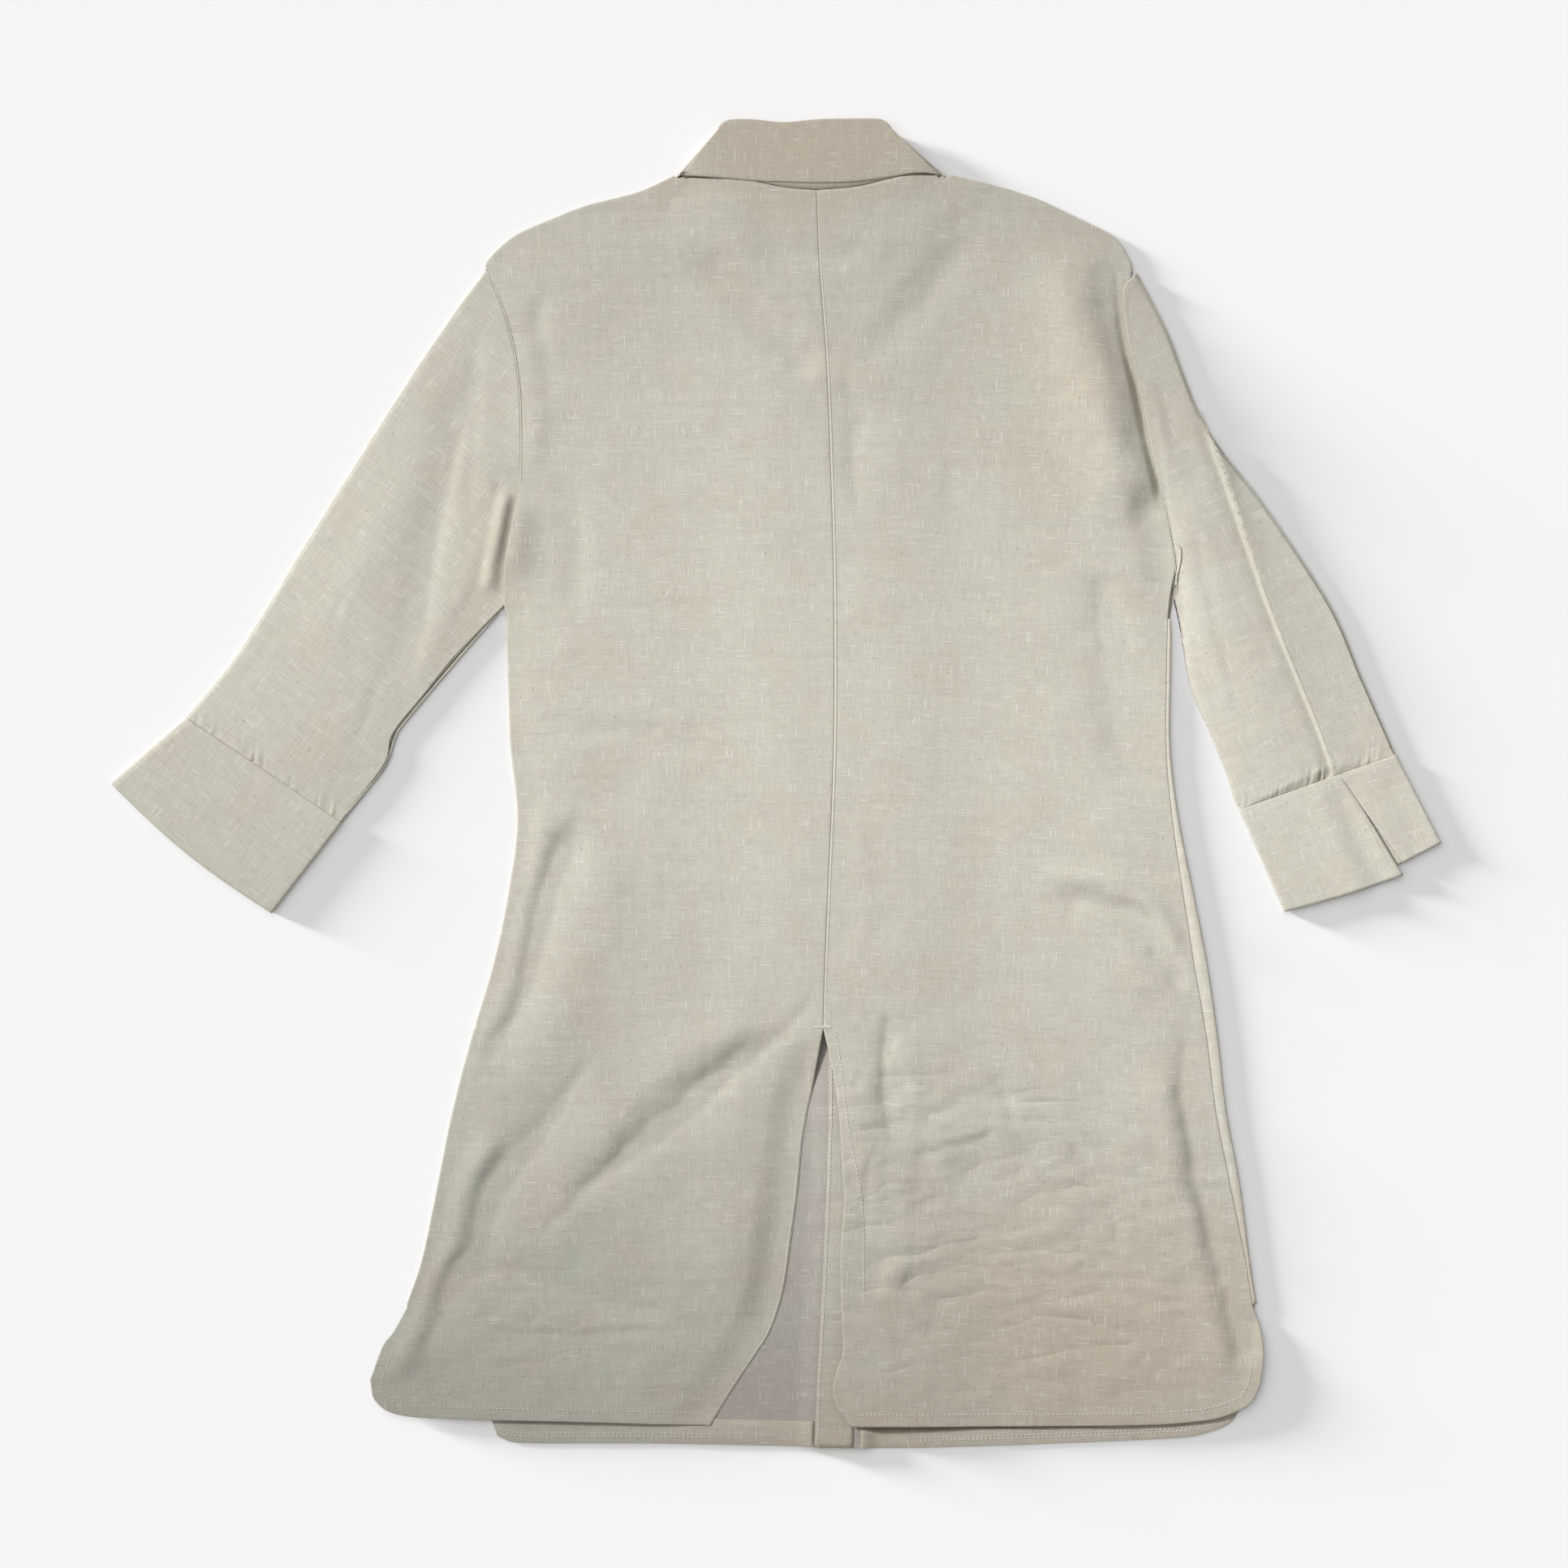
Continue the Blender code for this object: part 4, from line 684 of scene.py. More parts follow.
def fold_rise(plan, folds):
    """The sum of soft folds at each plan point. Each dies away towards its ends."""
    total = np.zeros(plan.shape[:-1])
    for fold in folds:
        path = np.array(fold.path, float)
        stretches = np.linalg.norm(np.diff(path, axis=0), axis=1)
        taper = min(TAPER * fold.width, 0.4 * stretches.sum())
        nearest, strength, passed = np.full(total.shape, np.inf), np.zeros(total.shape), 0.0
        for start, end, length in zip(path, path[1:], stretches):
            run = end - start
            t = np.clip(((plan - start) @ run) / length**2, 0, 1)
            away = np.linalg.norm(plan - start - t[..., None] * run, axis=-1)
            at = passed + t * length
            passed += length
            closer = away < nearest
            nearest = np.where(closer, away, nearest)
            from_end = np.minimum(at, stretches.sum() - at)
            strength = np.where(closer, smoothstep(from_end / taper), strength)
        total += fold.rise * strength * np.exp(-((nearest / fold.width) ** 2))
    return total


def wandered(plan):
    """The plan points moved a little, so that the folds laid out on them don't run straight."""
    moved = plan.copy()
    for size, amount in WANDER:
        places = (plan.reshape(-1, 2) / size).tolist()
        for axis in (0, 1):
            shift = [noise.noise(Vector((x, y, SEEDS["wander"] + 9 * axis))) for x, y in places]
            moved[..., axis] += amount * np.array(shift).reshape(plan.shape[:-1])
    return moved


def lifted(plan, height):
    """Plan points with their heights."""
    return np.concatenate([plan, np.broadcast_to(height, plan.shape[:-1])[..., None]], axis=-1)


def centre_front_x(y):
    line = evenly(CENTRE_FRONT, CURVE_STEPS)
    return np.interp(y, line[:, 1], line[:, 0])


def wing_lift(plan):
    """Height of the cloth that lies on the collar's points."""
    near = np.full(plan.shape[:-1], np.inf)
    for side in ("left", "right"):
        roll, edge = np.array(FALL_WING_ROLL[side]), np.array(FALL_WING_EDGE[side])
        for share in np.linspace(0, 1, WING_LINES):
            near = np.minimum(near, distance_to(plan, edge + (roll - edge) * share))
    return WING_LIFT * (1 - smoothstep((near - WING_MARGIN) / WING_RAMP))


def front_height(plan, side):
    """Height of a front's outer face: on the table, or over the buttons and the collar's points."""
    past_centre = plan[..., 0] - centre_front_x(plan[..., 1])
    if side == "left":
        lap = UNDER_LAP * (1 - smoothstep((-past_centre - LAP - 1) / LAP_RAMP))
    else:
        lap = OVER_LAP * (1 - smoothstep((past_centre - LAP - 2) / LAP_RAMP))
    return np.maximum(lap, wing_lift(plan))


def front_top(plan):
    """Height of the upper face of whichever front lies on top."""
    past_centre = plan[..., 0] - centre_front_x(plan[..., 1])
    left = front_height(plan, "left") * (past_centre < LAP_REACH)
    right = front_height(plan, "right") * (past_centre > -LAP_REACH)
    return WALL + np.maximum(left, right)


def outward_of(line, sign):
    """Unit vectors square to a plan line: to its right for a sign of 1, to its left for -1."""
    ahead = np.gradient(line[:, :2], axis=0)
    ahead /= np.linalg.norm(ahead, axis=1)[:, None]
    return sign * np.column_stack([ahead[:, 1], -ahead[:, 0]])


def section_values(name, heights):
    """A column of the body's sections, read off at these heights."""
    values = [getattr(section, name) for section in BODY]
    return np.interp(heights, [section.y for section in BODY], values)[:, None]


def pulled_in(grid, distance):
    """A grid whose first and last columns are moved in along its rows."""
    grid = grid.copy()
    for edge, beside in ((0, 1), (-1, -2)):
        inward = grid[:, beside] - grid[:, edge]
        grid[:, edge] += inward / np.linalg.norm(inward, axis=1)[:, None] * distance
    return grid


def wrapped_line(left, back, right, low_left, low_right, high, reach, inset=0.0):
    """One line of the collar: up the left front, round the neck's side, across the back and down again."""
    line = [lifted(left, low_left)]
    sides = ((-1, left[-1], back[0], low_left), (1, right[0], back[-1], low_right))
    for sign, wing, edge, low in sides:
        low = np.broadcast_to(low, len(left) if sign < 0 else len(right))[-1 if sign < 0 else 0]
        middle = (wing + edge) / 2 - [sign * inset, -0.7 * inset]
        turns = np.radians(NOSE_ANGLES if sign > 0 else NOSE_ANGLES[::-1])
        x = middle[0] + sign * reach * np.cos(turns)
        z = (high + low) / 2 + (high - low) / 2 * np.sin(turns)
        line.append(np.column_stack([x, np.full(len(turns), middle[1]), z]))
        line.append(lifted(back, high) if sign < 0 else lifted(right, low_right))
    return np.vstack(line)


def roll_parts(distance):
    """The collar's top fold in plan, moved out from the collar: left wing, back and right wing."""
    left = evenly(FALL_WING_ROLL["left"], WING_STEPS * COLLAR_DETAIL)
    back = evenly(FALL_BACK_ROLL, BACK_STEPS * COLLAR_DETAIL)
    right = evenly(FALL_WING_ROLL["right"][::-1], WING_STEPS * COLLAR_DETAIL)
    return [line + outward_of(line, sign) * distance for line, sign in ((left, 1), (back, -1), (right, 1))]


# ---------------------------------------------------------------- sheets of cloth as grids


def finer(shares, detail):
    """The same row of values with even steps put in between each two."""
    at = np.arange((len(shares) - 1) * detail + 1) / detail
    return np.interp(at, np.arange(len(shares)), shares)


def rumple(plan, seed):
    """Slight waves of worn linen."""
    total = np.zeros(plan.shape[:-1])
    for number, (size, amount) in enumerate(RUMPLE):
        places = (plan.reshape(-1, 2) / size).tolist()
        waves = [noise.noise(Vector((x, y, seed + 7.3 * number))) for x, y in places]
        total += amount * np.array(waves).reshape(total.shape)
    return total


def crumpled(plan):
    """How crumpled the cloth is at each plan point."""
    x, y = plan[..., 0], plan[..., 1]
    height = np.zeros(x.shape)
    for place in CRUMPLES:
        away = ((x - place.x) / place.across) ** 2 + ((y - place.y) / place.along) ** 2
        height += place.height * np.exp(-(away**1.5))
    return height


def crumple(plan):
    """Sharp small creases, only where the cloth is crumpled."""
    x, y = plan[..., 0], plan[..., 1]
    spots = np.stack([x / CRUMPLE_SIZE[0], y / CRUMPLE_SIZE[1]], axis=-1).reshape(-1, 2).tolist()
    creases = []
    for a, b in spots:
        wide, fine = noise.noise(Vector((a, b, SEEDS["crumple"]))), noise.noise(Vector((2.1 * b, 1.9 * a, 5.0)))
        creases.append(abs(wide) + 0.5 * abs(fine))
    return crumpled(plan) * (np.array(creases).reshape(x.shape) - 0.3)


LEFT_EDGE = [(section.left + FOLD_REACH, section.y) for section in BODY]
RIGHT_EDGE = [(section.right - section.right_wrap, section.y) for section in BODY]


def back_height(plan):
    """Height of the back's outer face over the fronts, with its folds and creases."""
    x, y = plan[..., 0], plan[..., 1]
    near_neck = smoothstep((y - NECK_BELOW) / NECK_RISE)
    half = LAP_HALF_WIDTH + (NECK_HALF_WIDTH - LAP_HALF_WIDTH) * near_neck
    fade = LAP_FADE + (NECK_FADE - LAP_FADE) * near_neck
    over_lap = 1 - smoothstep((np.abs(x - centre_front_x(y)) - half) / fade)
    edges = (LEFT_EDGE, RIGHT_EDGE, LEFT_SHOULDER, RIGHT_SHOULDER)
    from_edge = np.minimum.reduce([distance_to(plan, line) for line in edges])
    inner, broad = smoothstep(from_edge / EDGE_FADE), smoothstep(from_edge / LOFT_FADE) ** LOFT_POWER
    folds = fold_rise(wandered(plan), BACK_FOLDS + BACK_CREASES) + rumple(plan, SEEDS["back"]) + crumple(plan)
    loft = LOFT + AIR * smoothstep((AIR_BELOW - y) / AIR_FADE)
    height = FOLD + broad * (LAP_RISE * over_lap + loft) + inner * folds + fold_rise(plan, [LIP])
    height = FOLD + (height - FOLD) * (1 - beside_roll(plan))
    lowest = front_top(plan) + CLEARANCE + WALL
    from_flap = distance_to(plan, LEFT_FLAP)
    on_flap = x < np.interp(y, *np.array(LEFT_FLAP).T[::-1]) + 1
    flat = smoothstep((VENT_FLAT - from_flap) / VENT_FLAT) * smoothstep((FLAP_BELOW - y) / VENT_FLAT_FADE) * on_flap
    height = np.maximum(lowest + (height - lowest) * (1 - VENT_FLAT_SHARE * flat), lowest)
    near = smoothstep((FLAP_CLOSE - from_flap) / (0.75 * FLAP_CLOSE)) * on_flap
    near = near * smoothstep((FLAP_BELOW - y) / FLAP_FADE) * smoothstep((y - FLAP_HEM[0]) / FLAP_HEM[1])
    near = near * smoothstep((centre_front_x(y) - LAP - 1 - x) / 4)
    return height + near * (front_height(plan, "left") + 2 * SHELL + FLAP_CLEARANCE - height)


def beside_roll(plan):
    """How far the back is pressed flat where the right sleeve is rolled over it, from 0 to 1."""
    x, y = plan[..., 0], plan[..., 1]
    from_roll = distance_to(plan, ROLL_PATH)
    soft = 1 - smoothstep((from_roll - UNDER_ROLL) / UNDER_ROLL_FADE)
    bank = evenly(BANK, CURVE_STEPS)
    before = np.interp(y, bank[:, 1], bank[:, 0]) - x
    slope = BANK_SHARE * (1 - np.sqrt(np.clip(1 - (1 - before / BANK_REACH) ** 2, 0, 1)))
    slope = np.where(before > BANK_REACH, 0.0, slope)
    hollow = slope + (1 - slope) * smoothstep(BANK_EDGE - before / BANK_WIDTH)
    hollow = np.maximum(hollow, 1 - smoothstep((from_roll - ROLL_FOOT[0]) / ROLL_FOOT[1]))
    low, high = BANK_BETWEEN
    steep = smoothstep((y - low) / BANK_FADES[0]) * smoothstep((high - y) / BANK_FADES[1])
    return soft + (hollow - soft) * steep


def front_face(plan, side):
    """Height of a front's outer face, with the hollows that its creases leave over the table."""
    seam = LEFT_EDGE if side == "left" else RIGHT_EDGE
    shoulder = LEFT_SHOULDER if side == "left" else RIGHT_SHOULDER
    past_centre = np.abs(plan[..., 0] - centre_front_x(plan[..., 1]))
    from_edges = np.minimum.reduce([distance_to(plan, seam), distance_to(plan, shoulder), past_centre])
    inner = smoothstep((from_edges - LAP) / FRONT_EDGE_FADE)
    hollows = fold_rise(plan, FRONT_CREASES) + rumple(plan, SEEDS[f"front_{side}"])
    return front_height(plan, side) + inner * np.maximum(hollows, 0.0)


def body_side(name, detail):
    """The outline of one side of the body, from slit to underarm, and the way out from it."""
    line = evenly([(getattr(section, name), section.y) for section in BODY], SIDE_STEPS * detail)
    return line, outward_of(line, -1 if name == "left" else 1)


def side_seam(side, from_fold, detail):
    """The line where front and back meet, a distance on from the seam itself."""
    line, outward = body_side(side, detail)
    wrap = section_values(f"{side}_wrap", line[:, 1])
    return line - outward * (wrap + from_fold)


def rows_of(corner, side, arm, detail):
    """A panel's outer edge from its hem corner to its shoulder."""
    return joined(evenly([*corner, side[0]], CORNER_STEPS * detail), side, arm)


def side_rows(detail):
    """The rows of a panel between its slit and its underarm."""
    return slice(CORNER_STEPS * detail, (CORNER_STEPS + SIDE_STEPS) * detail + 1)


def back_plan(side):
    """Plan grid of half the back."""
    if side == "left":
        line, outward = body_side(side, DETAIL)
        seam = line - outward * FOLD_REACH
        corner, armhole = LEFT_BACK_CORNER, LEFT_ARMHOLE_BACK
        shoulder, neck = LEFT_SHOULDER, LEFT_BACK_NECK
        flap, hem, inward = LEFT_FLAP, LEFT_BACK_HEM, -SEAM_GAP / 2
    else:
        seam = side_seam(side, SEAM_GAP, DETAIL)
        corner, armhole = RIGHT_BACK_CORNER, RIGHT_ARMHOLE_BACK
        shoulder, neck = RIGHT_SHOULDER, RIGHT_BACK_NECK
        flap, hem, inward = RIGHT_FLAP, RIGHT_BACK_HEM, SEAM_GAP / 2
    top = joined(evenly(shoulder, SHOULDER_COLUMNS), evenly(neck, NECK_COLUMNS))
    arm = evenly([seam[-1], *armhole[:-1], top[0]], (ARM_STEPS + 1) * DETAIL)
    edge = rows_of(corner, seam, arm, DETAIL)
    vent = VENT_STEPS * DETAIL
    centre = joined(evenly(flap, vent), evenly(CENTRE_BACK, len(edge) - 1 - vent)) + [inward, 0]
    top[-1] = centre[-1]
    hem_line = along(hem, shares_of(top))
    hem_line[0], hem_line[-1] = edge[0], centre[0]
    return patch(edge, centre, hem_line, top)


def with_drop(plan, height):
    """Plan points with their heights and how far each is pressed down at a seam, so far nothing."""
    return lifted(lifted(plan, height), 0.0)


def pressed(grid):
    """The grid with its drops taken off its heights, but not below the table."""
    height = np.maximum(grid[..., 2:3] - grid[..., 3:4], np.minimum(grid[..., 2:3], 0.0))
    return np.concatenate([grid[..., :2], height], axis=-1)


def turned_lines(edge, beside, width, depth, steps=3):
    """Lines that round an edge down to a seam or a folded hem, from the flat cloth to the edge."""
    inward = beside - edge
    length = np.linalg.norm(inward[:, :2], axis=1)[:, None]
    reach = np.minimum(width, 0.6 * length) / length
    lines = []
    for angle in np.linspace(0, math.pi / 2, steps + 1):
        line = edge + inward * reach * (1 - math.sin(angle))
        line[:, 3] = np.maximum(line[:, 3], depth * (1 - math.cos(angle)))
        lines.append(line)
    return lines


def turned(grid, width, depth, first=False):
    """The grid with its last column, or its first, rounded down."""
    work = grid[:, ::-1] if first else grid
    lines = turned_lines(work[:, -1], work[:, -2], width, depth)
    work = np.concatenate([work[:, :-1], np.stack(lines, axis=1)], axis=1)
    return work[:, ::-1] if first else work


def turned_hem(grid, width, depth):
    """The grid with its first row rounded down."""
    return turned(grid.swapaxes(0, 1), width, depth, first=True).swapaxes(0, 1)


def rounded(start, nose, end, steps=NOSE_STEPS):
    """Lines round half an oval, from one line to another by way of its nose."""
    middle, half = (start + end) / 2, (start - end) / 2
    angles = np.linspace(math.pi / 2, -math.pi / 2, steps + 2)[1:-1]
    return [middle + (nose - middle) * math.cos(angle) + half * math.sin(angle) for angle in angles]


def folded_edge(line, outward, reach, wrap):
    """Lines round a folded edge and under it to where the cloth ends."""
    nose, under = line.copy(), line.copy()
    nose[:, :2] += outward * reach
    nose[:, 2] /= 2
    under[:, 2] = 0.0
    end = under.copy()
    end[:, :2] -= outward * wrap
    return [*rounded(line, nose, under), under, end]


def with_shoulder(grid, sign):
    """The panel's grid with its shoulder edge rolled down to the table."""
    extra = np.stack(folded_edge(grid[-1], outward_of(grid[-1], sign), FOLD_REACH, SHOULDER_WRAP))
    extra[:, SHOULDER_COLUMNS + 1 :] = np.nan
    return np.concatenate([grid, extra])


@functools.cache
def back_sheet(side):
    """Half the back. The left one is folded round the side of the body to its seam with the front."""
    plan = back_plan(side)
    grid = with_shoulder(with_drop(plan, back_height(plan)), -1 if side == "left" else 1)
    turn = turned_lines(grid[:, 0], grid[:, 1], SEAM_WIDTH, SEAM_DEPTH)
    if side == "left":
        edge = grid[:, 0].copy()
        rows = side_rows(DETAIL)
        line, way_out = body_side("left", DETAIL)
        outward = np.zeros((len(edge), 2))
        outward[rows] = way_out
        taper = smoothstep((BODY[-1].y - edge[:, 1:2]) / LIP_FADE)
        wrap = section_values("left_wrap", edge[:, 1]) - FOLD_REACH
        folds = folded_edge(edge, outward, FOLD_REACH * taper, wrap)
        edge = turn[0].copy()
        edge[rows] = grid[rows, 0]
        extra = []
        for number, fold in enumerate(folds):
            column = turn[number + 1].copy() if number + 1 < len(turn) else np.full_like(fold, np.nan)
            column[rows] = fold[rows]
            extra.append(column)
        grid[:, 0] = edge
        grid = np.concatenate([np.stack(extra[::-1], axis=1), grid], axis=1)
    else:
        grid = np.concatenate([np.stack(turn[::-1], axis=1), grid[:, 1:]], axis=1)
    grid = turned(grid, SEAM_WIDTH, SEAM_DEPTH)
    return pressed(turned_hem(grid, HEM_WIDTH, HEM_DEPTH))


def respaced(plan, lap_columns):
    """The same rows with their last columns at set distances from the centre edge."""
    plan = plan.copy()
    first = plan.shape[1] - len(lap_columns)
    for row in plan[:-1]:
        length = np.concatenate([[0], np.cumsum(np.linalg.norm(np.diff(row, axis=0), axis=1))])
        start = length[-1] - lap_columns[0]
        at = np.concatenate([length[:first] * start / length[first], length[-1] - lap_columns])
        row[:] = np.column_stack([np.interp(at, length, column) for column in row.T])
    return plan


def front_plan(side):
    """Plan grid of one front."""
    if side == "left":
        seam = side_seam(side, SEAM_GAP, FRONT_DETAIL)
        corner, armhole = LEFT_FRONT_CORNER, LEFT_ARMHOLE_FRONT
        neck, hem = LEFT_FRONT_NECK, LEFT_FRONT_HEM
        shoulder, lap, inward = LEFT_SHOULDER, LAP, 1
    else:
        line, outward = body_side(side, FRONT_DETAIL)
        seam = line - outward * FOLD_REACH
        corner, armhole = RIGHT_FRONT_CORNER, RIGHT_ARMHOLE_FRONT
        neck, hem = RIGHT_FRONT_NECK, RIGHT_FRONT_HEM
        shoulder, lap, inward = RIGHT_SHOULDER, -LAP, -1
    shoulder_line = evenly(shoulder, FRONT_SHOULDER_COLUMNS)
    shoulder_line += outward_of(shoulder_line, inward) * (SHOULDER_WRAP + SEAM_GAP)
    shoulder_line[0], shoulder_line[-1] = armhole[-1], neck[0]
    arm = np.vstack([seam[-1:], evenly(armhole, FRONT_ARM_STEPS * FRONT_DETAIL)])
    edge = rows_of(corner, seam, arm, FRONT_DETAIL)
    top = joined(shoulder_line, along(neck, finer(FRONT_NECK_SHARES, FRONT_DETAIL)))
    centre = along([(x + lap, y) for x, y in CENTRE_FRONT], shares_of(edge))
    centre[-1] = top[-1]
    hem_line = along(hem, shares_of(top))
    hem_line[0], hem_line[-1] = edge[0], centre[0]
    return respaced(patch(edge, centre, hem_line, top), finer(LAP_COLUMNS, FRONT_DETAIL))


@functools.cache
def front_sheet(side):
    """One front with its facing folded in along the centre and its hem turned up on the inner face."""
    plan = front_plan(side)
    grid = lifted(plan, front_face(plan, side))
    raised = np.array([0, 0, TURNING])
    edge, beside = grid[:, -1], grid[:, -2]
    out = (edge - beside) / np.linalg.norm(edge - beside, axis=1)[:, None] * (TURNING / 2)
    nose = rounded(edge, edge + raised / 2 + out, edge + raised, 3)
    facing = [edge + raised, *(grid[:, -2 - number] + raised for number in range(FACING_COLUMNS))]
    body_columns = grid.shape[1]
    grid = np.concatenate([grid, np.stack([*nose, *facing], axis=1)], axis=1)
    out = (grid[0] - grid[1]) / np.linalg.norm(grid[0] - grid[1], axis=1)[:, None] * (TURNING / 2)
    nose = rounded(grid[0], grid[0] + raised / 2 + out, grid[0] + raised, 3)
    band = [grid[0] + raised, *(grid[1 + number] + raised for number in range(HEM_BAND_ROWS))]
    hem = np.stack([*nose, *band])[::-1]
    hem[:, body_columns:] = np.nan
    hem[:HEM_BAND_ROWS, body_columns - FACING_COLUMNS - 2 :] = np.nan
    rows = side_rows(FRONT_DETAIL)
    if side == "right":
        folds = np.full((len(grid), NOSE_STEPS + 2, 3), np.nan)
        line, outward = body_side(side, FRONT_DETAIL)
        under = grid[rows, 0]
        over, middle = under.copy(), under.copy()
        over[:, 2] = FOLD
        taper = smoothstep((BODY[-1].y - under[:, 1:2]) / LIP_FADE)
        middle[:, :2] += outward * FOLD_REACH * taper
        middle[:, 2] = FOLD / 2
        seam = over.copy()
        seam[:, :2] -= outward * (section_values("right_wrap", under[:, 1]) - FOLD_REACH)
        folds[rows] = np.stack([seam, over, *rounded(over, middle, under)], axis=1)
        grid = np.concatenate([folds, grid], axis=1)
        hem = np.concatenate([np.full((len(hem), NOSE_STEPS + 2, 3), np.nan), hem], axis=1)
    return np.concatenate([hem, grid])


def puckers(plan, seam, seed):
    """The small uneven gathers where a sleeve is eased into its cuff."""
    start, end = (np.array(point, float) for point in seam)
    run = (end - start) / np.linalg.norm(end - start)
    across = (plan - start) @ run
    down = np.abs((plan - start) @ np.array([-run[1], run[0]]))
    share = np.clip(across / np.linalg.norm(end - start), 0, 1)
    places = np.stack([across + PUCKER_SLANT * down, down], axis=-1).reshape(-1, 2).tolist()
    waves = np.array([noise.noise(Vector((x / PUCKER_WIDTH, y / PUCKER_REACH, seed))) for x, y in places])
    patches = np.array([noise.noise(Vector((x / PUCKER_PATCH, 0.0, seed + 5))) for x, _ in places])
    strength = np.clip(0.55 + 0.9 * patches, 0, 1).reshape(down.shape)
    fade = np.exp(-((down / PUCKER_LENGTH) ** 2)) * np.sin(np.pi * share) ** 0.3 * smoothstep(down / 1.5)
    return PUCKER_HEIGHT * strength * waves.reshape(down.shape) * fade


def sleeve_grid(side, stations, mouth_back, mouth_front, shares):
    """A flattened sleeve's fold lines, its two layers in plan and the upper one's height."""
    outer = along([station.outer for station in stations], shares)
    inner = along([station.inner for station in stations], shares)
    top_mouth, under_mouth = mouth_back[::-1].copy(), mouth_front[::-1].copy()
    for mouth in (top_mouth, under_mouth):
        mouth[0], mouth[-1] = outer[0], inner[0]

    def layer(mouth):
        places = shares_of(mouth)
        end = outer[-1] + (inner[-1] - outer[-1]) * places[:, None]
        across = places[None, :, None]
        down = shares[:, None, None]
        rows = (1 - across) * outer[:, None] + across * inner[:, None]
        columns = (1 - down) * mouth[None] + down * end[None]
        ends = (1 - across) * outer[0] + across * inner[0]
        tips = (1 - across) * outer[-1] + across * inner[-1]
        return rows + columns - ((1 - down) * ends + down * tips), places

    top, places = layer(top_mouth)
    under, _ = layer(under_mouth)
    station_shares = shares_of(np.array([station.outer for station in stations], float))
    height = np.interp(shares, station_shares, [station.height for station in stations])
    flatter = INNER_CROWN[side] * smoothstep((places - 0.5) / 0.4)
    crown = np.tile(np.abs(np.sin(np.pi * places)) ** (SLEEVE_CROWN + flatter), (len(shares), 1))
    step = np.zeros(top.shape[:2])
    if side == "right":
        crease = evenly(RIDGES["pressed_crease_ridge"].path, CURVE_STEPS)
        past = (top[..., 0] - np.interp(top[..., 1], crease[::-1, 1], crease[::-1, 0])) / STEP_WIDTH
        below = smoothstep((STEP_BELOW - top[..., 1]) / STEP_FADE)
        at_crease = np.array([np.interp(0.0, row[::-1], places[::-1]) for row in past])[:, None]
        slope = np.clip(places / np.maximum(at_crease, 0.01), 0, 1)
        crown += (slope - crown) * below * (past > 0)
        step = STEP_DROP * np.clip(past + 1, 0, 1) ** STEP_POWER * smoothstep(-past / 0.2) * below
    folds = fold_rise(top, SLEEVE_FOLDS[side]) + fold_rise(top, SLEEVE_CREASES[side])
    folds += rumple(top, SEEDS["sleeve"])
    rise = FOLD + crown * (height[:, None] - FOLD + folds)
    from_cuff = (1 - shares) * np.linalg.norm(np.diff(outer, axis=0), axis=1).sum()
    rise = np.minimum(rise, (CUFF_SEAM_HEIGHT + CUFF_SEAM_SLOPE * from_cuff)[:, None])
    rise += puckers(top, (stations[-1].outer, stations[-1].inner), SEEDS["puckers"]) - step
    top, under = pulled_in(top, NOSE_WIDTH), pulled_in(under, NOSE_WIDTH)
    return outer, inner, top, under, np.maximum(rise, FOLD)


def ring(outer, inner, top, under, rise):
    """Closed rings: outer fold, upper layer, inner fold, under layer."""
    nose_out, nose_in = lifted(outer, FOLD / 2), lifted(inner, FOLD / 2)
    upper, lower = lifted(top, rise), lifted(under[:, ::-1], 0.0)
    outward = rounded(lower[:, -1], nose_out, upper[:, 0])
    inward = rounded(upper[:, -1], nose_in, lower[:, 0])
    return np.concatenate([np.stack(outward, axis=1), upper, np.stack(inward, axis=1), lower], axis=1)


def seamed(rings, upper, last, width, depth):
    """Rings whose upper layer is rounded down at the seam at one end."""
    work = rings if last else rings[::-1]
    edge = with_drop(work[-1, :, :2], work[-1, :, 2])
    beside = with_drop(work[-2, :, :2], work[-2, :, 2])
    above = np.zeros(len(edge))
    above[upper] = np.clip((edge[upper, 2] - FOLD) / 0.5, 0, 1)
    lines = turned_lines(edge, beside, width, 1.0)
    for line in lines:
        line[:, 3] *= depth * above
    work = np.concatenate([work[:-1], pressed(np.stack(lines))])
    return work if last else work[::-1]


@functools.cache
def sleeve_sheet(side):
    if side == "left":
        return left_sleeve_sheet()
    return right_sleeve_sheet()


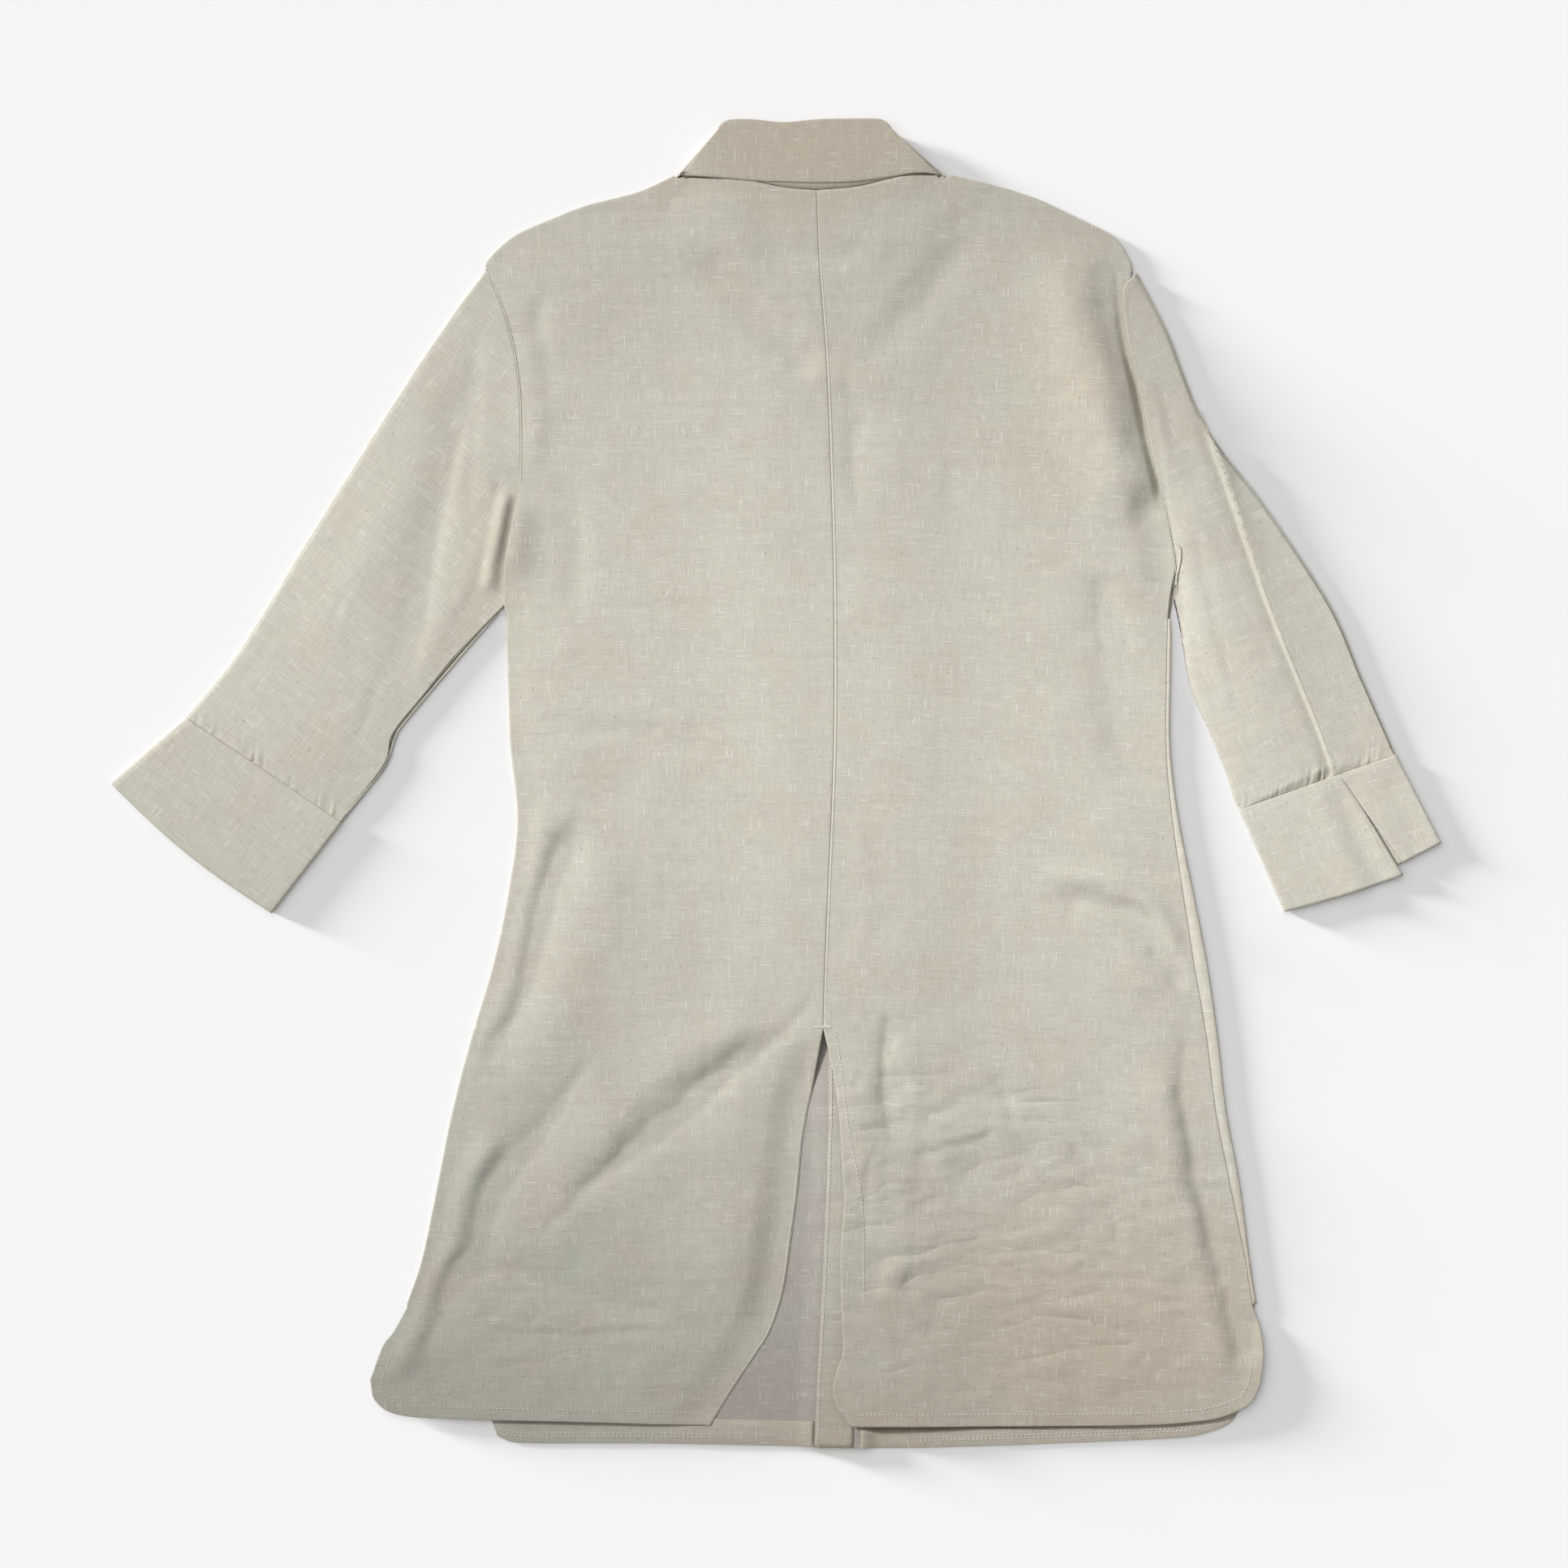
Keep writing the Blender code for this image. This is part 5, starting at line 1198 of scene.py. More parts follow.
def left_sleeve_sheet():
    shares = finer(SLEEVE_SHARES, DETAIL)
    mouth_back = back_plan("left")[(CORNER_STEPS + SIDE_STEPS) * DETAIL :, 0]
    mouth_back = mouth_back + outward_of(mouth_back, -1) * SEAM_GAP
    hidden = 6 * DETAIL
    start = [LEFT_SLEEVE[0].inner, *LEFT_HIDDEN_MOUTH, tuple(mouth_back[hidden])]
    mouth_back[: hidden + 1] = evenly(start, hidden)
    mouth_front = evenly(LEFT_ARMHOLE_FRONT, FRONT_ARM_STEPS * DETAIL)
    mouth_front = mouth_front + outward_of(mouth_front, -1) * SEAM_GAP
    outer, inner, top, under, rise = sleeve_grid("left", LEFT_SLEEVE, mouth_back, mouth_front, shares)
    flush = smoothstep((top[..., 1] - HIDDEN_BELOW) / HIDDEN_FADE)
    at_mouth = HIDDEN_HEIGHT + (back_height(top) - HIDDEN_HEIGHT) * flush
    blend = smoothstep(shares / MOUTH_FADE)[:, None]
    rise = at_mouth + (rise - at_mouth) * blend
    lip_edge = np.array(LEFT_ARMHOLE_BACK[:5])
    out_of_lip = np.interp(top[..., 1], lip_edge[:, 1], lip_edge[:, 0]) - top[..., 0]
    clear_of_lip = np.maximum(smoothstep((out_of_lip - LIP_CLEAR[0]) / LIP_CLEAR[1]), flush)
    rise = np.minimum(rise, HIDDEN_HEIGHT + clear_of_lip * rise)
    rise += clear_of_lip * (1 - flush) * fold_rise(top, [UNDERARM_BANK])
    rings = ring(outer, inner, top, under, rise)
    upper = slice(NOSE_STEPS, NOSE_STEPS + top.shape[1])
    rings = seamed(rings, upper, True, SEAM_WIDTH, SEAM_DEPTH)
    return seamed(rings, upper, False, SEAM_WIDTH, SEAM_DEPTH)


def right_sleeve_sheet():
    """The right sleeve, whose upper edge rolls over the back while the back runs in under it."""
    shares = np.concatenate([[0.0], finer(SLEEVE_SHARES[1:], DETAIL)])
    path = [RIGHT_SLEEVE[0].inner, *ROLL_PATH[::-1], RIGHT_SLEEVE[0].outer]
    mouth_back = evenly(path, (ARM_STEPS + 2) * DETAIL)
    mouth_front = evenly(RIGHT_ARMHOLE_FRONT, FRONT_ARM_STEPS * DETAIL)
    mouth_front = mouth_front + outward_of(mouth_front, 1) * SEAM_GAP
    outer, inner, top, under, rise = sleeve_grid("right", RIGHT_SLEEVE, mouth_back, mouth_front, shares)
    rolled = np.abs(np.sin(np.pi * shares_of(top[0]))) ** ROLL_CROWN
    crest = FOLD + (ROLL_HEIGHT - FOLD) * rolled
    blend = smoothstep(shares / MOUTH_FADE)[:, None]
    rings = ring(outer, inner, top, under, crest + (rise - crest) * blend)
    ahead = rings[1, :, :2] - rings[0, :, :2]
    ahead /= np.linalg.norm(ahead, axis=1)[:, None]
    upper = slice(NOSE_STEPS, NOSE_STEPS + top.shape[1])
    lift = np.zeros(rings.shape[1])
    lift[upper] = rolled
    turned_over = []
    for number, angle in enumerate(np.linspace(0, math.pi / 2, ROLL_LINES)):
        line = rings[0].copy()
        line[:, :2] += ahead * (number * ROLL_STEP / 3)
        line[:, :2] += ahead * (ROLL_REACH * (1 - math.cos(angle)) * lift)[:, None]
        height = ROLL_LOW + (ROLL_HEIGHT - ROLL_LOW) * math.sin(angle)
        line[upper, 2] = crest + (height - crest) * rolled
        turned_over.append(line)
    grid = np.concatenate([np.stack(turned_over), rings[1:]])
    return seamed(grid, upper, True, SEAM_WIDTH, SEAM_DEPTH)


@functools.cache
def cuff_sheet(side):
    """A flat band round the wrist end, open along its slit."""
    cuff = CUFFS[side]
    seam, hem = np.array(cuff.seam, float), np.array(cuff.hem, float)
    down = (hem - seam).mean(axis=0)
    long = np.linalg.norm(down)
    down /= long
    over = np.array([-CUFF_OVER, -0.75 * CUFF_OVER, -0.3 * CUFF_OVER]) / long
    shares = np.concatenate([over, finer(CUFF_SHARES, CUFF_DETAIL)])[:, None]
    outer = seam[0] + (hem[0] - seam[0]) * shares
    inner = seam[1] + (hem[1] - seam[1]) * shares
    turn = np.zeros(len(shares))
    turn[: len(over)] = CUFF_SEAM_TURN

    slit = cuff.slit + SLIT_LEAN * np.clip(shares, 0, 1) if cuff.slit else np.zeros_like(shares)

    def row(across, height):
        """A line of points from seam to hem, at one share of the way across or at one for each point."""
        across = np.broadcast_to(across, shares.shape)
        place = outer + (inner - outer) * across
        place = place + down * (np.sin(math.pi * across) * cuff.bulge * shares)
        if cuff.slit:
            past_slit = across - slit
            inside = np.clip((1 - across) / (1 - slit), 0, 1) * (past_slit > CUFF_LAYER_EDGE)
            if height == 0:
                inside = inside * smoothstep((past_slit - 0.03) / 0.12)
            place = place + down * (CUFF_TONGUE * inside * np.clip(shares, 0, 1) ** 2)
        line = lifted(place, height)
        if height == CUFF_HEIGHT:
            line[:, 2] += rumple(line[:, :2], SEEDS["cuff"]) * np.sin(math.pi * across[:, 0]) - CUFF_SINK - turn
            if cuff.slit:
                line[:, 2] += fold_rise(line[:, :2], CUFF_CREASES) * smoothstep(shares[:, 0] / 0.2)
        return line

    width = np.linalg.norm(inner - outer, axis=1).mean()
    nose = CUFF_NOSE / width
    opening = SLIT_OPENING[side] / width
    half = CUFF_HEIGHT / 2
    under_steps, top_steps = CUFF_UNDER_STEPS * CUFF_DETAIL, CUFF_TOP_STEPS * CUFF_DETAIL
    under = [row(share, 0.0) for share in np.linspace(1 - nose, nose, under_steps)]
    lines = []
    if side == "left":
        upper = [row(share, CUFF_HEIGHT) for share in np.linspace(nose, 1 - nose, top_steps)]
        near = row(0, half)
        opened = np.array([0, 0, CUFF_EDGE_GAP])
        lines += rounded(near + opened, (near + upper[0]) / 2, upper[0], 2)
        lines += upper
    else:
        across = np.linspace(0, 1, top_steps)
        upper = [row(slit + (1 - nose - slit) * share, CUFF_HEIGHT) for share in across]
        beside_slit = (inner - outer) / width * (opening * width / 2 * smoothstep((shares - 0.3) / 0.7))
        for number, fade in enumerate(np.linspace(1, 0, CUFF_DETAIL + 1)):
            upper[number][:, :2] += beside_slit * fade
        lines += upper
    lines += rounded(upper[-1], row(1, half), under[0])
    lines += under
    if side == "left":
        lines += rounded(under[-1], (near + under[-1]) / 2, near - opened, 2)
    else:
        across = np.linspace(0, 1, CUFF_EDGE_STEPS * CUFF_DETAIL)
        far = [row(nose + (slit - SLIT_GAP / width - nose) * share, CUFF_HEIGHT) for share in across]
        for number, fade in enumerate(np.linspace(0, 1, CUFF_DETAIL + 1)):
            far[number - CUFF_DETAIL - 1][:, :2] -= beside_slit * fade
        lines += rounded(under[-1], row(0, half), far[0])
        lines += far
    return np.stack(lines, axis=1)


def let_down(line, share, high):
    """A line of the collar with its ends at the sides of the neck let down onto the shoulders."""
    from_end = np.minimum(*(np.abs(line[:, 0] - x) for x in NECK_SIDES))
    raised = np.clip((line[:, 2] - FOLD) / (high - FOLD), 0, 1)
    line[:, 2] -= NECK_DROP * (1 - share) * raised * (1 - smoothstep(from_end / NECK_DROP_REACH))
    return line


@functools.cache
def collar_fall_sheet():
    """The part of the collar that folds down over the stand and ends in two points at the front."""
    roll = roll_parts(0.0)
    edge = [
        evenly(FALL_WING_EDGE["left"], WING_STEPS * COLLAR_DETAIL),
        evenly(FALL_BACK_EDGE, BACK_STEPS * COLLAR_DETAIL),
        evenly(FALL_WING_EDGE["right"][::-1], WING_STEPS * COLLAR_DETAIL),
    ]
    high = STAND_TOP + FALL_OVER_STAND
    lines = []
    edge_turn = dict(zip((0.0, EDGE_TURN_SHARE), COLLAR_EDGE_TURN))
    for share in (0.0, EDGE_TURN_SHARE, 2 * EDGE_TURN_SHARE, *finer(FALL_SHARES, COLLAR_DETAIL)[1:]):
        parts = [low + (top - low) * share for low, top in zip(edge, roll)]
        line = wrapped_line(*parts, 0.0, 0.0, high, COLLAR_NOSE_REACH)
        on_back = line[:, 2] > high - 0.01
        line[on_back, 2] -= edge_turn.get(share, 0.0)
        line = let_down(line, share, high)
        waves = 0.5 * rumple(line[on_back, :2], SEEDS["collar"])
        line[on_back, 2] += waves - COLLAR_SINK + COLLAR_SAG * math.sin(math.pi * share)
        lines.append(line)
    for angle in np.linspace(0, math.pi / 2, 5)[1:]:
        turn = ROLL_TURN * (1 - math.cos(angle))
        turned_roll = roll_parts(ROLL_LIP * math.sin(angle))
        lines.append(wrapped_line(*turned_roll, turn, turn, high - turn - COLLAR_SINK, COLLAR_NOSE_REACH))
    return np.stack(lines)


@functools.cache
def collar_stand_sheet():
    """The band that stands up from the neckline, inside the fall."""
    back = joined(
        evenly(LEFT_BACK_NECK, BACK_STEPS * COLLAR_DETAIL), evenly(RIGHT_BACK_NECK, BACK_STEPS * COLLAR_DETAIL)[::-1]
    )
    back = back[2:-2] + [0, STAND_BACK]
    fine_shares = finer(FRONT_NECK_SHARES, COLLAR_DETAIL)
    left = along(LEFT_FRONT_NECK, fine_shares)[::-1] + [0.3, STAND_BACK]
    right = along(RIGHT_FRONT_NECK, fine_shares) + [-0.3, STAND_BACK]
    low_left = np.maximum(front_height(left, "left"), WING_LIFT)
    low_right = np.maximum(front_height(right, "right"), WING_LIFT)
    left_roll, back_roll, right_roll = roll_parts(0.0)
    left_roll = along([(CENTRE_FRONT[-1][0] + LAP, left_roll[0, 1] - 1), *left_roll], shares_of(left))
    right_roll = along([*right_roll, (CENTRE_FRONT[-1][0] - LAP, right_roll[-1, 1] - 1)], shares_of(right))
    back_roll = along(back_roll, shares_of(back))
    lines = []
    for share in finer(STAND_SHARES, COLLAR_DETAIL):
        ends = zip((left, back, right), (left_roll, back_roll, right_roll))
        parts = [low + (top - low) * share for low, top in ends]
        shape = (low_left, low_right, STAND_TOP, STAND_NOSE_REACH, STAND_INSET)
        lines.append(let_down(wrapped_line(*parts, *shape), share, STAND_TOP))
    return np.stack(lines)


# ---------------------------------------------------------------- meshes


def new_object(name, mesh, *materials):
    obj = bpy.data.objects.new(name, mesh)
    for material in materials:
        mesh.materials.append(material)
    bpy.context.scene.collection.objects.link(obj)
    return obj


def cloth(
    name, grid, up=True, closed=False, wall=SHELL, probe=None, materials=("slubby_linen", "linen_inside_with_painted_shade"), piece=None
):
    """A thin shell of linen inward of a grid over its outer face. A point that is NaN has no cloth."""
    rows, columns = grid.shape[:2]
    place = np.arange(rows * columns).reshape(rows, columns)
    if closed:
        grid = np.concatenate([grid, grid[:, :1]], axis=1)
        place = np.concatenate([place, place[:, :1]], axis=1)
    corners = [place[:-1, :-1], place[:-1, 1:], place[1:, 1:], place[1:, :-1]]
    quads = np.stack(corners, axis=-1).reshape(-1, 4)
    points = grid[:, :columns].reshape(-1, 3)
    quads = quads[np.isfinite(points[quads]).all(axis=(1, 2))]
    used, index = np.unique(quads, return_inverse=True)
    quads = index.reshape(-1, 4)
    row, column = probe or (rows // 2, columns // 2)
    corner = grid[row, column]
    normal = np.cross(grid[row, column + 1] - corner, grid[row + 1, column] - corner)
    if (normal[2] > 0) != up:
        quads = quads[:, ::-1]
    points = points[used]
    mesh = bpy.data.meshes.new(name)
    mesh.from_pydata((points * MM).tolist(), [], quads.tolist())
    turn = math.radians(GRAIN[name])
    grain = np.array([[math.cos(turn), -math.sin(turn)], [math.sin(turn), math.cos(turn)]])
    layer = mesh.uv_layers.new(name="cloth")
    layer.data.foreach_set("uv", (points[quads.reshape(-1), :2] * MM @ grain).reshape(-1))
    # The first attribute makes the cloth warmer and darker, which at the crevices is painted shade.
    for attribute, values in (("warmth_and_painted_shade", warmth_and_painted_shade(points)), ("crumpled", 0.12 + crumpled(points))):
        mesh.attributes.new(attribute, "FLOAT", "POINT").data.foreach_set("value", values)
    mesh.shade_smooth()
    mesh.update()
    obj = new_object(piece or name + "_cloth", mesh, *(bpy.data.materials[material] for material in materials))
    thicken = obj.modifiers.new("wall", "SOLIDIFY")
    thicken.thickness = wall * MM
    thicken.offset = -1.0
    thicken.use_quality_normals = True
    # The inner face takes the last material, whose darker colours are partly painted shade.
    thicken.material_offset = len(materials) - 1
    finish(obj, None if piece else name)
    return obj


def warmth_and_painted_shade(points):
    """How warm and dark the cloth is drawn at each point, from 0 to 1; at the crevices this is painted shade."""
    total = np.zeros(len(points))
    for tone in WARM_TONES_AND_PAINTED_SHADE:
        away = ((points[:, 0] - tone.x) / tone.across) ** 2 + ((points[:, 1] - tone.y) / tone.along) ** 2
        total = np.maximum(total, tone.share * np.exp(-away))
    return total


def finish(obj, node):
    """Ties a finished piece to the frame in place of its solid."""
    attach(obj, "root")
    if node:
        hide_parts(node)


# ---------------------------------------------------------------- materials


def from_hex(text):
    """The linear colour of an sRGB hex value."""
    values = [int(text[at : at + 2], 16) / 255 for at in (0, 2, 4)]
    return tuple(v / 12.92 if v <= 0.04045 else ((v + 0.055) / 1.055) ** 2.4 for v in values)


def add(tree, kind, links=None, **settings):
    """A node with its settings; links gives each input a value or another node's output."""
    node = tree.nodes.new(kind)
    for name, value in settings.items():
        setattr(node, name, value)
    for socket, source in (links or {}).items():
        if isinstance(source, bpy.types.NodeSocket):
            tree.links.new(source, node.inputs[socket])
        else:
            node.inputs[socket].default_value = source
    return node


def new_material(name):
    material = bpy.data.materials.new(name)
    material.use_nodes = True
    tree = material.node_tree
    tree.nodes.clear()
    return material, tree


def scaled(tree, vector, scale, **links):
    return add(tree, "ShaderNodeMapping", {"Vector": vector, "Scale": scale, **links}).outputs[0]


def noise_on(tree, vector, detail, scale=1.0, **links):
    links = {"Vector": vector, "Scale": scale, "Detail": detail, **links}
    return add(tree, "ShaderNodeTexNoise", links).outputs["Fac"]


def maths(tree, operation, *values):
    return add(tree, "ShaderNodeMath", dict(enumerate(values)), operation=operation).outputs[0]


def mapped(tree, value, low, high, to_low, to_high):
    """A value's range carried over to another and kept within it."""
    links = {"Value": value, "From Min": low, "From Max": high, "To Min": to_low, "To Max": to_high}
    return add(tree, "ShaderNodeMapRange", links).outputs[0]


def blended(tree, factor, *colours):
    """The colour between two, each a linear colour or another node's output."""
    first, second = (c if isinstance(c, bpy.types.NodeSocket) else (*c, 1) for c in colours)
    links = {"Factor": factor, 6: first, 7: second}
    return add(tree, "ShaderNodeMix", links, data_type="RGBA").outputs[2]


def bumped(tree, strength, distance, height, **links):
    links = {"Strength": strength, "Distance": distance, "Height": height, **links}
    return add(tree, "ShaderNodeBump", links).outputs[0]


def surfaced(tree, links):
    shader = add(tree, "ShaderNodeBsdfPrincipled", links)
    add(tree, "ShaderNodeOutputMaterial", {"Surface": shader.outputs[0]})


# Threads of linen are 0.5 to 0.7 mm apart; they are drawn 1 mm apart so that they show.
WARP = ((1000, 88, 1), (88, 1000, 1))  # how often per metre the two sets of threads change, across and along
SLUBS = ((960, 78, 1), (70, 980, 1))  # thick places in a thread: 1 mm wide here, 13 mm long
STREAKS = ((190, 11, 1), (9, 180, 1))  # bands of slightly lighter or darker yarn
YARN_CHANGES = ((WARP[0], 0.11), (WARP[1], 0.13), (STREAKS[0], 0.04), (STREAKS[1], 0.055))


def linen_yarns(tree, uv, slub):
    """The yarn's brightness, the height of its threads and how thick they are at slubs."""
    level, threads, thick = 1.0, 0.0, 0.0
    for scale, amount in YARN_CHANGES:
        yarn = noise_on(tree, scaled(tree, uv, scale), 1.0)
        change = mapped(tree, yarn, 0.25, 0.75, -amount / 2, amount / 2)
        level = maths(tree, "ADD", level, change)
        if scale in WARP:
            threads = maths(tree, "ADD", threads, change)
    for number, scale in enumerate(SLUBS):
        yarn = noise_on(tree, scaled(tree, uv, scale, Location=(3.1 * number, 1.7, 0)), 0.0)
        thick = maths(tree, "MAXIMUM", thick, mapped(tree, yarn, 0.69, 0.8, 0.0, slub))
    return level, threads, thick


def make_linen(name, colours, slub=0.8):
    """Linen: plain-woven flax yarn of uneven thickness, washed and pressed. It is matt, with fine crossed
    threads, thick slubs that catch the light and short darker flecks. Its tone drifts between a cool
    greenish beige and a pinkish one, and is warmer and a little darker where the warmth attribute says so,
    which at the crevices is painted shade. The finest sharp creases are bump, as deep as the crumpled attribute."""
    tree = new_material(name)[1]
    green, pink, slub_colour, fleck_colour, warm_and_shade_colour = colours
    uv = add(tree, "ShaderNodeUVMap", uv_map="cloth").outputs["UV"]
    cloud = noise_on(tree, uv, 2.0, 19.0, Roughness=0.5)
    drift = maths(tree, "MULTIPLY_ADD", noise_on(tree, uv, 1.0, 110.0), 0.3, cloud)
    patched = blended(tree, mapped(tree, drift, 0.48, 0.82, 0.0, 1.0), green, pink)
    warm_and_shade = add(tree, "ShaderNodeAttribute", attribute_name="warmth_and_painted_shade").outputs["Fac"]
    level, threads, thick = linen_yarns(tree, uv, slub)
    links = {0: blended(tree, warm_and_shade, patched, warm_and_shade_colour), "Scale": level}
    shaded = add(tree, "ShaderNodeVectorMath", links, operation="SCALE").outputs[0]
    fleck = noise_on(tree, scaled(tree, uv, (520, 330, 1)), 0.0)
    lit = blended(tree, thick, shaded, slub_colour)
    flecked = blended(tree, mapped(tree, fleck, 0.75, 0.85, 0.0, 0.6), lit, fleck_colour)
    crumpled_share = add(tree, "ShaderNodeAttribute", attribute_name="crumpled").outputs["Fac"]
    place = scaled(tree, uv, (17, 38, 1), Rotation=(0, 0, 0.6))
    fold = noise_on(tree, place, 2.0, Roughness=0.35, Distortion=0.4)
    sharp = maths(tree, "ABSOLUTE", maths(tree, "SUBTRACT", fold, 0.5))
    creased = bumped(tree, 1.0, 0.006, maths(tree, "MULTIPLY", sharp, crumpled_share))
    relief = maths(tree, "MULTIPLY_ADD", thick, 0.3, threads)
    surfaced(tree, {
        "Base Color": flecked, "Roughness": 0.9, "IOR": 1.5, "Specular IOR Level": 0.25, "Sheen Weight": 0.06,
        "Sheen Roughness": 0.5, "Normal": bumped(tree, 0.6, 0.0003, relief, Normal=creased),
    })


def shades(colour, dark, light):
    """A darker and a lighter shade of a colour."""
    return [dark * c for c in colour], [min(1.0, light * c) for c in colour]


def make_thread(name, colour):
    """Sewing thread: spun polyester, a little smoother and lighter than the linen, with a fine twist."""
    tree = new_material(name)[1]
    spot = add(tree, "ShaderNodeTexCoord").outputs["Object"]
    ply = noise_on(tree, spot, 1.0, 2600.0)
    tone = blended(tree, ply, *shades(colour, 0.82, 1.12))
    surfaced(tree, {"Base Color": tone, "Roughness": 0.65, "Normal": bumped(tree, 0.5, 0.0001, ply)})


def make_horn(name, colour, dark):
    """Buttons of polyester cast to look like pale horn: satin, with soft cloudy streaks."""
    tree = new_material(name)[1]
    spot = add(tree, "ShaderNodeTexCoord").outputs["Object"]
    cloud = noise_on(tree, scaled(tree, spot, (160, 420, 200), Rotation=(0, 0, 0.5)), 3.0, Distortion=0.8)
    gloss = mapped(tree, cloud, 0.3, 0.7, 0.28, 0.42)
    surfaced(tree, {"Base Color": blended(tree, cloud, dark, colour), "Roughness": gloss, "IOR": 1.55})


def make_painted_seam_shadow(name, colour):
    """Painted shadow of a pressed seam: a dark strip that stands in for the shade in the seam's sunken line between
    the turnings.
    """
    tree = new_material(name)[1]
    uv = add(tree, "ShaderNodeUVMap", uv_map="cloth").outputs["UV"]
    tone = blended(tree, noise_on(tree, uv, 1.0, 700.0), *shades(colour, 0.7, 1.3))
    surfaced(tree, {"Base Color": tone, "Roughness": 1.0})


def make_floor(name, colour):
    """Matt white paper, as the photograph's plain ground."""
    material, tree = new_material(name)
    surfaced(tree, {"Base Color": (*colour, 1), "Roughness": 1.0, "Specular IOR Level": 0.0})
    return material
    return material


# ---------------------------------------------------------------- sewing and buttons


def pick_faces(obj, test):
    """In edit mode: selects only the faces that pass the test."""
    shape = bmesh.from_edit_mesh(obj.data)
    shape.normal_update()
    bpy.ops.mesh.select_all(action="DESELECT")
    for face in shape.faces:
        if test(face):
            face.select_set(True)
    bmesh.update_edit_mesh(obj.data)


def start_primitive(add_primitive, **settings):
    """Adds a primitive with nothing else selected and opens it in edit mode, face selection."""
    bpy.ops.object.select_all(action="DESELECT")
    add_primitive(**settings)
    obj = bpy.context.active_object
    bpy.ops.object.mode_set(mode="EDIT")
    bpy.context.tool_settings.mesh_select_mode = (False, False, True)
    return obj


def model_of(obj):
    """The points and faces of a modelled piece, which is then removed."""
    points = np.array([vertex.co[:] for vertex in obj.data.vertices])
    faces = [list(polygon.vertices) for polygon in obj.data.polygons]
    mesh = obj.data
    bpy.data.objects.remove(obj, do_unlink=True)
    bpy.data.meshes.remove(mesh)
    return points, faces


def stitch_model(length, radius):
    """One stitch: a short thread with rounded ends, along X."""
    obj = start_primitive(
        bpy.ops.mesh.primitive_cylinder_add, vertices=6, radius=radius * MM, depth=0.7 * length * MM,
        end_fill_type="NGON",
    )
    for sign in (-1, 1):
        pick_faces(obj, lambda face: face.normal.z * sign > 0.9)
        bpy.ops.mesh.inset(thickness=0.45 * radius * MM)
        bpy.ops.transform.translate(value=(0, 0, sign * 0.15 * length * MM))
    bpy.ops.object.mode_set(mode="OBJECT")
    points, faces = model_of(obj)
    return points[:, [2, 0, 1]], faces


def copies(name, model, places, directions, material, up=1.0):
    """Copies of a small model, each laid along its direction, joined into one mesh."""
    points, faces = model
    count = len(places)
    along_x = directions / np.linalg.norm(directions, axis=1)[:, None]
    vertical = np.broadcast_to([0.0, 0.0, up], along_x.shape)
    across = np.cross(vertical, along_x)
    across /= np.linalg.norm(across, axis=1)[:, None]
    top = np.cross(along_x, across)
    axes = np.stack([along_x, across, top], axis=1)
    verts = (points @ axes + places[:, None]).reshape(-1, 3)
    step = len(points)
    all_faces = [[index + number * step for index in face] for number in range(count) for face in faces]
    mesh = bpy.data.meshes.new(name)
    mesh.from_pydata(verts.tolist(), [], all_faces)
    mesh.shade_smooth()
    return new_object(name, mesh, material)


def laid_on(surface, plan, from_above):
    """Points of a plan line put down on a sheet, in metres; points beside it are left out."""
    sign = -1 if from_above else 1
    found = []
    for x, y in plan:
        hit = surface.ray_cast(Vector((x * MM, y * MM, -sign * 0.1)), Vector((0, 0, sign)))
        if hit[0] is not None:
            found.append(hit[0][:])
    return np.array(found)


def surface_of(obj):
    vertices = [vertex.co for vertex in obj.data.vertices]
    return BVHTree.FromPolygons(vertices, [polygon.vertices for polygon in obj.data.polygons])


def stitched(name, obj, paths, sizes, from_above=True, lift=0.1):
    """Rows of stitches along plan lines on a sheet, joined into one mesh."""
    surface = surface_of(obj)
    places, directions = [], []
    for path in paths:
        line = np.array(path, float)
        length = np.linalg.norm(np.diff(line, axis=0), axis=1).sum()
        count = int(length * MM / sizes.stitch_pitch)
        spots = laid_on(surface, evenly(line, count), from_above)
        ahead = np.gradient(spots, axis=0)
        places.append(spots + [0, 0, (lift if from_above else -lift) * MM])
        directions.append(ahead)
    model = stitch_model(sizes.stitch_length / MM, sizes.stitch_radius / MM)
    rows = copies(name, model, np.vstack(places), np.vstack(directions), bpy.data.materials["thread"])
    finish(rows, None)
    return rows


def beside(path, distance):
    """A plan line moved to one side."""
    line = evenly(path, 6 * len(path))
    return line + outward_of(line, 1) * distance


